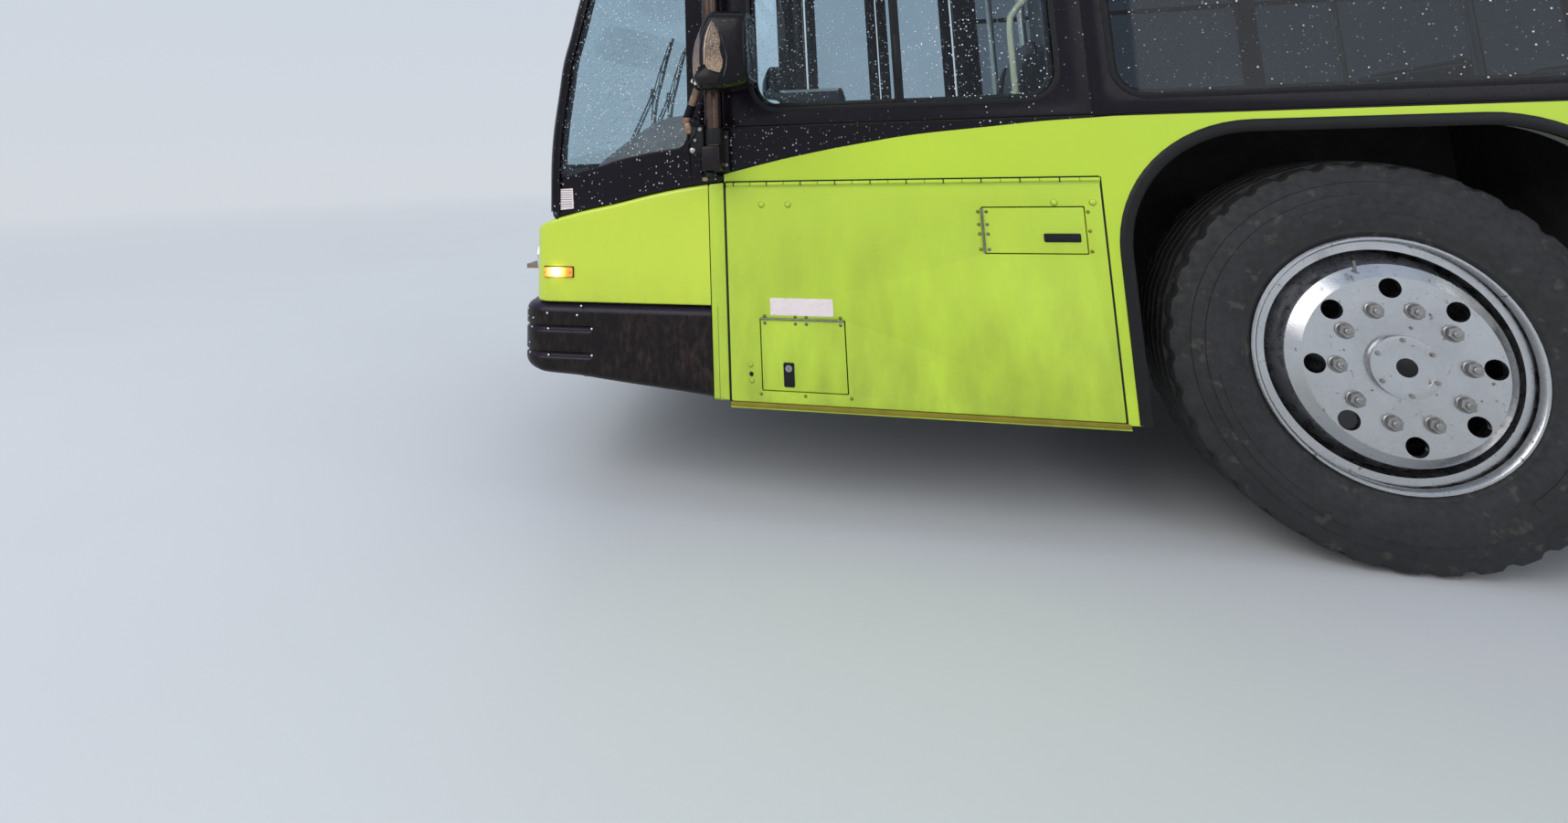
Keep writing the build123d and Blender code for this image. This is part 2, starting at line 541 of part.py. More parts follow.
# ---------------------------------------------------------------- passenger doors: two leaves each
LEAVES = {
    # name: rear end, front end
    "front_door_front_leaf": (DOORWAYS["front"][1] - JAMB - LEAF_W, DOORWAYS["front"][1] - JAMB),
    "front_door_rear_leaf": (DOORWAYS["front"][0] + JAMB, DOORWAYS["front"][0] + JAMB + LEAF_W),
    "rear_door_front_leaf": (DOORWAYS["rear"][1] - JAMB - LEAF_W, DOORWAYS["rear"][1] - JAMB),
    "rear_door_rear_leaf": (DOORWAYS["rear"][0] + JAMB, DOORWAYS["rear"][0] + JAMB + LEAF_W),
}
STILE = 55.0
for leaf_name, (x0, x1) in LEAVES.items():
    with BuildPart() as leaf:
        slab(x0, x1, LEAF_Y - LEAF_T / 2, LEAF_Y + LEAF_T / 2, DOOR_Z0, DOOR_Z1)
        slab(x0 + STILE, x1 - STILE, LEAF_Y - LEAF_T, LEAF_Y + LEAF_T, 520, DOOR_Z1 - 90, mode=Mode.SUBTRACT)
    leaf.part.label = leaf_name
    export_step(leaf.part, "parts/" + leaf_name + ".step")
    glass_name = leaf_name + "_glass"
    with BuildPart() as pane:
        slab(x0 + STILE + 1, x1 - STILE - 1, LEAF_Y - 4, LEAF_Y + 4, 521, DOOR_Z1 - 91)
    pane.part.label = glass_name
    export_step(pane.part, "parts/" + glass_name + ".step")

# ---------------------------------------------------------------- running gear
with BuildPart() as front_axle:
    with BuildSketch(Plane.YZ.offset(AXLE_F - 45)):
        with BuildLine():
            Polyline(
                (0, 195), (690, 195), (755, 240), (845, 437), (KING_Y, 438), (KING_Y, 558), (835, 558), (695, 295), (0, 290),
                (-695, 295), (-835, 558), (-KING_Y, 558), (-KING_Y, 438), (-845, 437), (-755, 240), (-690, 195), (0, 195))
        make_face()
    extrude(amount=90)
    for s in (-1, 1):
        rod((AXLE_F, s * KING_Y, 498), 50, 120)
        rod((AXLE_F, s * KING_Y, 498), 22.3, 400, mode=Mode.SUBTRACT)
        slab(AXLE_F + 40, AXLE_F + 245, s * 665 - 70, s * 665 + 70, 262, 290)     # spring seat, ahead of the beam
front_axle.part.label = "front_axle"
export_step(front_axle.part, "parts/front_axle.step")

for knuckle_name, s in (("left_knuckle", 1), ("right_knuckle", -1)):
    with BuildPart() as knuckle:
        ky = s * KING_Y
        for zc in (412, 582):                                   # ears over and under the beam's eye
            rod((AXLE_F, ky, zc), 48, 38)
            y0, y1 = sorted((ky, ky + s * 90))
            slab(AXLE_F - 48, AXLE_F + 48, y0, y1, zc - 19, zc + 19)
        y0, y1 = sorted((ky + s * 60, ky + s * 90))
        slab(AXLE_F - 48, AXLE_F + 48, y0, y1, 393, 601)        # web
        rod((AXLE_F, ky, 497), 22, 208)                         # kingpin
        rod((AXLE_F, ky + s * 155, TYRE_R), 45, 130, turn=(90, 0, 0))   # spindle
        slab(AXLE_F + ARM_X - 20, AXLE_F, ky - 20, ky + 20, 393, 423)
        rod((AXLE_F + ARM_X, ky, 408), 26, 30)
        rod((AXLE_F + ARM_X, ky, 325), 14, 140)
    knuckle.part.label = knuckle_name
    export_step(knuckle.part, "parts/" + knuckle_name + ".step")

with BuildPart() as track_rod:
    rod((AXLE_F + ARM_X, 0, ROD_Z), 16, 2 * KING_Y - 40, turn=(90, 0, 0))
    for s in (-1, 1):
        rod((AXLE_F + ARM_X, s * KING_Y, ROD_Z), 26, 50)
    for s, r in ((1, 14.3), (-1, 14.6)):
        rod((AXLE_F + ARM_X, s * KING_Y, ROD_Z), r, 80, mode=Mode.SUBTRACT)
track_rod.part.label = "track_rod"
export_step(track_rod.part, "parts/track_rod.step")

with BuildPart() as rear_axle:
    rod((AXLE_R, 0, TYRE_R), 85, 1240, turn=(90, 0, 0))
    with Locations((AXLE_R, 0, TYRE_R)):
        Sphere(215)
    for s in (-1, 1):
        rod((AXLE_R, s * 759, TYRE_R), 60, 638, turn=(90, 0, 0))
        slab(AXLE_R - 420, AXLE_R + 420, s * 450 - 40, s * 450 + 40, 395, 440)
rear_axle.part.label = "rear_axle"
export_step(rear_axle.part, "parts/rear_axle.step")

SPRINGS = [
    # x, y, bottom, top, radius
    (AXLE_F + 160, 665, 291, 600, 80), (AXLE_R + 350, 450, 441, 609, 100), (AXLE_R - 350, 450, 441, 609, 100),
]
with BuildPart() as air_springs:
    for x, y, zb, zt, r in SPRINGS:
        for s in (-1, 1):
            with BuildSketch(Plane(origin=(x, s * y, 0), x_dir=(1, 0, 0), z_dir=(0, -1, 0))):
                with BuildLine():
                    h = (zt - zb) / 2
                    Polyline((0, zb), (r * 0.8, zb), (r * 0.8, zb + 15))
                    RadiusArc((r * 0.8, zb + 15), (r * 0.8, zb + h), -h * 0.62)
                    RadiusArc((r * 0.8, zb + h), (r * 0.8, zt - 15), -h * 0.62)
                    Polyline((r * 0.8, zt - 15), (r * 0.8, zt), (0, zt), (0, zb))
                make_face()
            revolve(axis=Axis((x, s * y, 0), (0, 0, 1)))
    for s in (-1, 1):                                           # upper bracket of each front spring
        y0, y1 = sorted((s * (WELL_IN_Y + 1), s * 745))
        slab(AXLE_F + 75, AXLE_F + 245, y0, y1, 600, 615)
air_springs.part.label = "air_springs"
export_step(air_springs.part, "parts/air_springs.step")


def tyre_profile(yc):
    """Half section of a tyre about its own middle plane, local x = y, local y = radius."""
    with BuildLine() as outline:
        Polyline((yc - 103, 288), (yc - 106, 301), (yc - 122, 302), (yc - 140, 330), (yc - 150, 380), (yc - 150, 440))
        ThreePointArc((yc - 150, 440), (yc - 142, 478), (yc - 118, TYRE_R))
        Line((yc - 118, TYRE_R), (yc + 118, TYRE_R))
        ThreePointArc((yc + 118, TYRE_R), (yc + 142, 478), (yc + 150, 440))
        Polyline(
            (yc + 150, 440), (yc + 150, 380), (yc + 140, 330), (yc + 122, 302), (yc + 106, 301), (yc + 103, 288), (yc + 90, 288),
            (yc + 98, 312), (yc + 128, 380), (yc + 110, 455), (yc - 110, 455), (yc - 128, 380), (yc - 98, 312), (yc - 90, 288),
            (yc - 103, 288))
    make_face(outline.edges())


def rim_profile(yc, out):
    """Barrel and dished disc of a wheel, local x = y, local y = radius. out: side of the disc's mounting face."""
    with BuildLine() as barrel:
        Polyline(
            (yc - 118, 272), (yc - 118, 299), (yc - 108, 299), (yc - 104, 286), (yc + 104, 286), (yc + 108, 299),
            (yc + 118, 299), (yc + 118, 272), (yc - 118, 272))
    make_face(barrel.edges())
    with BuildLine() as dish:
        Polyline(
            (yc + out * 60, 276), (yc + out * 146, 240), (yc + out * 167, 212), (yc + out * 167, 70), (yc + out * 153, 70),
            (yc + out * 153, 206), (yc + out * 136, 228), (yc + out * 44, 268), (yc + out * 44, 276), (yc + out * 60, 276))
    make_face(dish.edges())


WHEELS = [
    # name, axle x, side, tyre middles
    ("front_left", AXLE_F, 1, [TYRE_OUT_Y - 150]),
    ("front_right", AXLE_F, -1, [TYRE_OUT_Y - 150]),
    ("rear_left", AXLE_R, 1, [TYRE_OUT_Y - 150, TYRE_OUT_Y - 150 - DUAL_PITCH]),
    ("rear_right", AXLE_R, -1, [TYRE_OUT_Y - 150, TYRE_OUT_Y - 150 - DUAL_PITCH]),
]
for wheel_name, xa, s, middles in WHEELS:
    section = Plane(origin=(xa, 0, TYRE_R), x_dir=(0, 1, 0), z_dir=(1, 0, 0))
    turning = Axis((xa, 0, TYRE_R), (0, 1, 0))
    front = xa == AXLE_F
    with BuildPart() as tyre:
        for m in middles:
            with BuildSketch(section):
                tyre_profile(s * m)
            revolve(axis=turning)
    tyre.part.label = wheel_name + "_tyre"
    export_step(tyre.part, "parts/" + wheel_name + "_tyre.step")

    with BuildPart() as rim:
        if front:
            with BuildSketch(section):
                rim_profile(s * middles[0], s)
            revolve(axis=turning)
            # hub on the spindle, with its cap outside the disc
            rod((xa, s * 1147.5, TYRE_R), 110, 245, turn=(90, 0, 0))
            rod((xa, s * 1276, TYRE_R), 75, 28, turn=(90, 0, 0))
            rod((xa, s * 1102, TYRE_R), 45.3, 172, turn=(90, 0, 0), mode=Mode.SUBTRACT)
            slots_y = s * 1262
        else:
            # twin rims: both mounting faces meet at the hub between the tyres
            for m, out in ((middles[0], -1), (middles[1], 1)):
                with BuildSketch(section):
                    rim_profile(s * m, s * out)
                revolve(axis=turning)
            rod((xa, s * 1010, TYRE_R), 125, 260, turn=(90, 0, 0))
            rod((xa, s * 950, TYRE_R), 60.3, 260, turn=(90, 0, 0), mode=Mode.SUBTRACT)
            slots_y = s * 943
        with Locations(Location((xa, slots_y, TYRE_R), (90, 0, 0))):
            with PolarLocations(185, 8):
                Cylinder(24, 70, mode=Mode.SUBTRACT)
    rim.part.label = wheel_name + "_rim"
    export_step(rim.part, "parts/" + wheel_name + "_rim.step")

# ---------------------------------------------------------------- inside
SEAT_ROWS = [
    # front edge x, floor under it, facing (1 forward)
    (2850, FLOOR_Z, 1), (2100, FLOOR_Z, 1), (1350, FLOOR_Z, 1), (600, FLOOR_Z, 1), (-150, FLOOR_Z, 1),
    (-2560, WELL_TOP, 1), (-3400, WELL_TOP, 1), (-4150, DECK_Z, 1),
]
with BuildPart() as passenger_seats:
    for xf, base, facing in SEAT_ROWS:
        for s in (-1, 1):
            if s < 0 and -1100 > xf > -2200:
                continue
            y0, y1 = sorted((s * 400, s * 1225))
            seat_z = max(base + 330, 800 if base < 500 else base + 100)
            slab(xf - 430, xf, y0, y1, seat_z, seat_z + 90)
            with BuildSketch(side_plane(y1)):
                Polygon((xf - 500, seat_z), (xf - 430, seat_z), (xf - 450, seat_z + 90), (xf - 520, seat_z + 560), (xf - 560, seat_z + 560), align=None)
            extrude(amount=y1 - y0)
            if base == FLOOR_Z:
                slab(xf - 330, xf - 250, s * 800 - 30, s * 800 + 30, base, seat_z)
            else:
                slab(xf - 380, xf - 150, s * 800 - 60, s * 800 + 60, base, seat_z)
    slab(-5060, -4780, -1225, 1225, 1160, 1250)                # rear bench on the engine deck
    slab(-5060, -4980, -1225, 1225, 1250, 1760)
passenger_seats.part.label = "passenger_seats"
export_step(passenger_seats.part, "parts/passenger_seats.step")

SEAT_X, SEAT_Y = 4640.0, 720.0
with BuildPart() as driver_seat:
    rod((SEAT_X - 20, SEAT_Y, 715), 110, 70)
    slab(SEAT_X - 240, SEAT_X + 240, SEAT_Y - 240, SEAT_Y + 240, 750, 812)
    slab(SEAT_X - 250, SEAT_X + 250, SEAT_Y - 250, SEAT_Y + 250, 812, 930)
    with BuildSketch(side_plane(SEAT_Y + 235)):
        Polygon((SEAT_X - 255, 900), (SEAT_X - 120, 930), (SEAT_X - 210, 1420), (SEAT_X - 320, 1420), align=None)
    extrude(amount=470)
driver_seat.part.label = "driver_seat"
export_step(driver_seat.part, "parts/driver_seat.step")

# steering column leans 25 degrees from the vertical; its axis meets the wheel's middle
WHEEL_C = (5110.0, 720.0, 1185.0)
LEAN = -25.0
with BuildPart() as dashboard:
    slab(5440, 5910, -1150, 1150, 960, 980)
    with BuildSketch(side_plane(1150)):
        Polygon((5394, 682), (5422, 682), (5560, 982), (5910, 982), (5910, 940), (5640, 940), (5430, 640), (5394, 640), align=None)
    extrude(amount=760)
    with BuildSketch(side_plane(1120)):                        # instrument pod
        with BuildLine():
            Polyline((5300, 980), (5300, 1080), (5340, 1140))
            ThreePointArc((5340, 1140), (5520, 1196), (5680, 1176))
            Polyline((5680, 1176), (5800, 1100), (5895, 1036), (5905, 980), (5300, 980))
        make_face()
    extrude(amount=760)
    with Locations(Location((WHEEL_C[0] + 130.2, WHEEL_C[1], WHEEL_C[2] - 279.1), (0, LEAN, 0))):
        Cylinder(32, 550)
    slab(5280, 5388, WHEEL_C[1] - 60, WHEEL_C[1] + 60, 681, 700)
    slab(5250, 5393.5, WHEEL_C[1] - 60, WHEEL_C[1] + 60, 560, 681, mode=Mode.SUBTRACT)
dashboard.part.label = "dashboard"
export_step(dashboard.part, "parts/dashboard.step")

with BuildPart() as steering_wheel:
    with Locations(Location(WHEEL_C, (0, LEAN, 0))):
        Torus(235, 14)
        Cylinder(55, 40)
        for k in range(3):
            with Locations(Location((0, 0, 0), (0, 0, 90 + 120 * k))):
                with Locations((120, 0, 0)):
                    Box(240, 26, 12)
steering_wheel.part.label = "steering_wheel"
export_step(steering_wheel.part, "parts/steering_wheel.step")

with BuildPart() as farebox:
    slab(5060, 5330, 60, 330, FLOOR_Z, 1330)
    fillet(farebox.edges().filter_by(Axis.Z), 25)
farebox.part.label = "farebox"
export_step(farebox.part, "parts/farebox.step")

POLES = [
    # x, y, bottom
    (2860, 380, FLOOR_Z), (2860, -380, FLOOR_Z), (1360, 380, FLOOR_Z), (1360, -380, FLOOR_Z), (-140, 380, FLOOR_Z),
    (-140, -380, FLOOR_Z), (-1060, -1100, FLOOR_Z), (-2250, -1100, 570), (-3410, 380, DECK_Z), (-3410, -380, DECK_Z), (4330, -380, FLOOR_Z), (4330, 380, FLOOR_Z),
]
CEIL_Z = 2800.0
with BuildPart() as grab_rails:
    for x, y, zb in POLES:
        top = 2132 if abs(y) == 380 or x > 4300 else 2690
        rod((x, y, (zb + top) / 2), 16, top - zb)
    for y in (-380, 380):
        rod(((-3600 + 4400) / 2, y, 2150), 16, 8000, turn=(0, 90, 0))
        for x in (-3400, -1400, 600, 2600, 4300):
            rod((x, y, 2168 + 341), 10, 682)
grab_rails.part.label = "grab_rails"
export_step(grab_rails.part, "parts/grab_rails.step")

# ---------------------------------------------------------------- mirrors, wipers, lamps
with BuildPart() as mirrors:
    for s, head_x, head_z in ((1, 5350, 1342), (-1, 5575, 1545)):
        rod((5412, s * 1375, 1667), 25, 1326)
        y0, y1 = sorted((s * 1296, s * 1405))
        slab(5388, 5440, y0, y1, 1004, 1110)
        slab(5388, 5440, y0, y1, 2270, 2320)
        y0, y1 = sorted((s * 1398, s * 1590))
        with BuildSketch(Plane.XY.offset(head_z - 114)):
            with Locations((head_x, (y0 + y1) / 2)):
                RectangleRounded(160, y1 - y0, 40)
        extrude(amount=228)
        x0, x1 = sorted((5412, head_x))
        slab(x0, x1 + 1, s * 1390 - 12, s * 1390 + 12, head_z - 60, head_z - 30)
mirrors.part.label = "mirrors"
export_step(mirrors.part, "parts/mirrors.step")

LAMPS = [
    # name only for reading, x, y, z, radius, length along x
    ("head", 6070, 1010, 705, 70, 110), ("head", 6090, 840, 705, 70, 110),
    ("tail", -6190, 1150, 1330, 50, 20), ("tail", -6190, 1150, 1200, 50, 20), ("tail", -6190, 1150, 1070, 50, 20),
    ("tail", -6190, 1010, 1330, 50, 20),
]
with BuildPart() as lamps:
    for _, x, y, z, r, length in LAMPS:
        for s in (-1, 1):
            rod((x, s * y, z), r, length, turn=(0, 90, 0))
    for s in (-1, 1):                                           # side markers on the front cap
        y0, y1 = sorted((s * HALF_W, s * (HALF_W + 14)))
        slab(POST_X + 495, POST_X + 575, y0, y1, 676, 710)
lamps.part.label = "lamps"
export_step(lamps.part, "parts/lamps.step")

# one arm and blade per half of the windshield, parked upright
WIPERS = [
    # pivot y, joint of arm and blade (y, z), blade foot (y, z), blade head (y, z)
    (200, (-285, 1400), (-292, 1190), (-290, 1700)), (-100, (-550, 1400), (-558, 1190), (-540, 1680)),
]
with BuildPart() as wipers:
    for yp, joint, foot, head in WIPERS:
        def front_x(y, z):
            xm = POST_X + lead_at(z) + FRONT_BOW
            return xm - FRONT_BOW * (y / 1231) ** 2
        base = Vector(front_x(yp, 900) + 40, yp, 900)
        mid = Vector(front_x(*joint) + 44, *joint)
        low = Vector(front_x(*foot) + 32, *foot)
        high = Vector(front_x(*head) + 34, *head)
        for a, b, r in ((base, mid, 8), (low, mid, 7), (mid, high, 7)):
            d = b - a
            with Locations(Plane(origin=(a + b) * 0.5, z_dir=d).location):
                Cylinder(r, d.length + 6)
        rod((base.X - 20, base.Y, base.Z), 14, 36, turn=(0, 90, 0))
wipers.part.label = "wipers"
export_step(wipers.part, "parts/wipers.step")
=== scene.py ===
import bpy
import bmesh
import json
import math
import random
from mathutils import Matrix, Vector

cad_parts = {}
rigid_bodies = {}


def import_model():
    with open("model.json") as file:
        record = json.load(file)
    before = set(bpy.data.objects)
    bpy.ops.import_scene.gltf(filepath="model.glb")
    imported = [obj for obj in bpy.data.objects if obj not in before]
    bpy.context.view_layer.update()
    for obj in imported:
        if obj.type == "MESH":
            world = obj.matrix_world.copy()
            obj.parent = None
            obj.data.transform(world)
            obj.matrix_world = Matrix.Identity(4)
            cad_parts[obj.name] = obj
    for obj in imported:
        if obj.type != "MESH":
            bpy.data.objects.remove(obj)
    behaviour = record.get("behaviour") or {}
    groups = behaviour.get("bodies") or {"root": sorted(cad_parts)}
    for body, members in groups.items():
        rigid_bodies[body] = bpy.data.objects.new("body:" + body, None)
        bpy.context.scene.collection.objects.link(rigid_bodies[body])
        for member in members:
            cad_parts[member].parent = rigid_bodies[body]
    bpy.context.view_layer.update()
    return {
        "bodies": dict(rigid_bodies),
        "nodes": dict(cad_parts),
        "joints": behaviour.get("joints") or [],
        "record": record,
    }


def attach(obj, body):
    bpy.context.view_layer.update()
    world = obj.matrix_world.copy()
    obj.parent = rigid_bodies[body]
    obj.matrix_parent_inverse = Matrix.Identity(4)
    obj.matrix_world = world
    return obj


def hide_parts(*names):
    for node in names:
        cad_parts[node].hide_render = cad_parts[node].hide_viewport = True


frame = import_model()
nodes = frame["nodes"]
sc = bpy.context.scene
rnd = random.Random(7)

# ------------------------------------------------------------------ sizes shared with the construction, metres
HALF_W = 1.295
POST_X = 5.400
INNER_Y = 1.235
SILL_Z, BELT_Z, HEAD_Z = 0.330, 1.134, 2.220
AXLE_F, AXLE_R = 3.720, -3.370
TYRE_R = 0.498
REAR_X = -6.180
CORNER_LINE = [
    # z, lead
    (0.780, 0.588), (0.880, 0.588), (1.031, 0.588), (1.135, 0.581), (1.264, 0.562), (1.368, 0.546), (1.458, 0.520),
    (1.580, 0.487), (2.332, 0.251), (2.600, 0.167),
]
CAP_EDGE = [
    # lead, z
    (0.0, 0.968), (0.022, 0.965), (0.153, 0.947), (0.251, 0.928), (0.351, 0.905), (0.453, 0.885), (0.530, 0.867),
    (0.588, 0.851), (0.620, 0.838), (0.900, 0.836),
]
GLASS_EDGE = [
    # lead, z
    (0.0, 1.134), (0.110, 1.134), (0.127, 1.078), (0.238, 1.064), (0.344, 1.044), (0.398, 1.027), (0.458, 1.013),
    (0.507, 0.997), (0.543, 0.985), (0.900, 0.985),
]
BUMPER_EDGE = [
    # lead, z
    (0.055, 0.335), (0.165, 0.346), (0.280, 0.356), (0.398, 0.367), (0.489, 0.376), (0.556, 0.379), (0.606, 0.382),
    (0.640, 0.387), (0.690, 0.392), (0.850, 0.396),
]
# paint line between lime and black over the service panel: x, z
PAINT_LINE = [
    (5.398, 0.990), (5.376, 0.996), (5.234, 1.029), (5.095, 1.056), (4.960, 1.078), (4.829, 1.096), (4.628, 1.112),
    (4.489, 1.123), (4.342, 1.129), (4.250, 1.134),
]
WINDOWS = [
    # side, rear end, front end
    (1, 2.850, 4.290), (1, 1.350, 2.790), (1, -0.150, 1.290), (1, -1.650, -0.210), (1, -3.150, -1.710), (1, -4.650, -3.210),
    (-1, 2.850, 4.290), (-1, 1.350, 2.790), (-1, -0.150, 1.290), (-1, -1.065, -0.210), (-1, -3.150, -2.205), (-1, -4.650, -3.210),
]
WIN_Z0, WIN_Z1 = 1.182, 2.130
DOORWAYS = [(4.405, 5.345), (-2.105, -1.165)]


def along(table, t):
    """Straight-line reading of a two-column table."""
    if t <= table[0][0]:
        return table[0][1]
    for (a, va), (b, vb) in zip(table, table[1:]):
        if t <= b:
            return va + (vb - va) * (t - a) / (b - a)
    return table[-1][1]


def smooth_along(table, t):
    """Reading of a two-column table on a smooth curve through its rows."""
    n = len(table)
    if t <= table[0][0]:
        return table[0][1]
    if t >= table[-1][0]:
        return table[-1][1]
    for i in range(n - 1):
        if t <= table[i + 1][0]:
            break
    (x1, y1), (x2, y2) = table[i], table[i + 1]
    x0, y0 = table[i - 1] if i else (2 * x1 - x2, 2 * y1 - y2)
    x3, y3 = table[i + 2] if i + 2 < n else (2 * x2 - x1, 2 * y2 - y1)
    h = x2 - x1
    m1, m2 = (y2 - y0) / (x2 - x0) * h, (y3 - y1) / (x3 - x1) * h
    u = (t - x1) / h
    return ((2 * u ** 3 - 3 * u ** 2 + 1) * y1 + (u ** 3 - 2 * u ** 2 + u) * m1
            + (-2 * u ** 3 + 3 * u ** 2) * y2 + (u ** 3 - u ** 2) * m2)


# ------------------------------------------------------------------ camera
cam_data = bpy.data.cameras.new("view")
cam = bpy.data.objects.new("view", cam_data)
sc.collection.objects.link(cam)
sc.camera = cam
right = Vector((-0.96866, -0.24739, -0.02244))
back = Vector((-0.24066, 0.95700, -0.16198)).normalized()
up = back.cross(right).normalized()
right = up.cross(back).normalized()
cam.matrix_world = Matrix((
    (right.x, up.x, back.x, 4.950), (right.y, up.y, back.y, 3.551), (right.z, up.z, back.z, 1.037), (0, 0, 0, 1)))
cam_data.sensor_width = 36.0
cam_data.sensor_fit = "HORIZONTAL"
cam_data.lens = 800.0 * 36.0 / 1716.0
cam_data.shift_x = (858.0 - 748.0) / 1716.0
cam_data.shift_y = (44.0 - 450.5) / 1716.0
cam_data.clip_start, cam_data.clip_end = 0.05, 200.0


# ------------------------------------------------------------------ materials
class Tree:
    """Short names for making a node tree."""

    def __init__(self, name):
        self.mat = bpy.data.materials.new(name)
        self.mat.use_nodes = True
        self.nt = self.mat.node_tree
        self.nt.nodes.clear()
        self.out = self.nt.nodes.new("ShaderNodeOutputMaterial")
        self.co = self.nt.nodes.new("ShaderNodeTexCoord").outputs["Object"]

    def node(self, kind, **sets):
        n = self.nt.nodes.new(kind)
        for k, v in sets.items():
            setattr(n, k, v)
        return n

    def link(self, a, b):
        self.nt.links.new(a, b)

    def math(self, op, a, b=None, clamp=False):
        n = self.node("ShaderNodeMath", operation=op, use_clamp=clamp)
        for s, v in zip(n.inputs, (a, b)):
            if v is None:
                continue
            if hasattr(v, "node"):
                self.link(v, s)
            else:
                s.default_value = v
        return n.outputs[0]

    def stretch(self, sx, sy, sz):
        n = self.node("ShaderNodeMapping")
        n.inputs["Scale"].default_value = (sx, sy, sz)
        self.link(self.co, n.inputs["Vector"])
        return n.outputs["Vector"]

    def noise(self, scale, detail=3.0, rough=0.55, vector=None):
        n = self.node("ShaderNodeTexNoise")
        n.inputs["Scale"].default_value = scale
        n.inputs["Detail"].default_value = detail
        n.inputs["Roughness"].default_value = rough
        self.link(vector or self.co, n.inputs["Vector"])
        return n.outputs["Fac"]

    def voronoi(self, scale, vector=None, feature="F1"):
        n = self.node("ShaderNodeTexVoronoi", feature=feature)
        n.inputs["Scale"].default_value = scale
        self.link(vector or self.co, n.inputs["Vector"])
        return n

    def span(self, value, a, b, lo=0.0, hi=1.0):
        n = self.node("ShaderNodeMapRange")
        n.inputs["From Min"].default_value = a
        n.inputs["From Max"].default_value = b
        n.inputs["To Min"].default_value = lo
        n.inputs["To Max"].default_value = hi
        self.link(value, n.inputs["Value"])
        return n.outputs["Result"]

    def mix(self, fac, a, b, blend="MIX"):
        n = self.node("ShaderNodeMix", data_type="RGBA", blend_type=blend)
        for s, v in ((n.inputs[0], fac), (n.inputs[6], a), (n.inputs[7], b)):
            if hasattr(v, "node"):
                self.link(v, s)
            elif isinstance(v, (int, float)):
                s.default_value = v
            else:
                s.default_value = (*v, 1.0)
        return n.outputs[2]

    def xyz(self):
        n = self.node("ShaderNodeSeparateXYZ")
        self.link(self.co, n.inputs[0])
        return n.outputs

    def bump(self, heights):
        """Chain of bumps: height socket, distance in metres."""
        last = None
        for height, distance in heights:
            b = self.node("ShaderNodeBump")
            b.inputs["Strength"].default_value = 1.0
            b.inputs["Distance"].default_value = distance
            self.link(height, b.inputs["Height"])
            if last:
                self.link(last, b.inputs["Normal"])
            last = b.outputs["Normal"]
        return last

    def drops(self, scale, size=0.32, share=0.5):
        """Height of scattered round raindrops."""
        v = self.voronoi(scale)
        parts = self.node("ShaderNodeSeparateColor")
        self.link(v.outputs["Color"], parts.inputs[0])
        reach = self.math("MULTIPLY", parts.outputs[0], size)
        edge = self.math("SUBTRACT", reach, v.outputs["Distance"])
        there = self.math("GREATER_THAN", parts.outputs[1], 1.0 - share)
        high = self.math("MULTIPLY", self.math("MAXIMUM", edge, 0.0), there)
        return self.math("POWER", self.math("MULTIPLY", high, 4.0, clamp=True), 0.5)


def principled(t, rough=0.5, metal=0.0, coat=0.0, coat_rough=0.05, ior=1.5, spec=0.5):
    p = t.node("ShaderNodeBsdfPrincipled")
    p.inputs["Roughness"].default_value = rough
    p.inputs["Metallic"].default_value = metal
    p.inputs["Coat Weight"].default_value = coat
    p.inputs["Coat Roughness"].default_value = coat_rough
    p.inputs["IOR"].default_value = ior
    p.inputs["Specular IOR Level"].default_value = spec
    t.link(p.outputs[0], t.out.inputs[0])
    return p


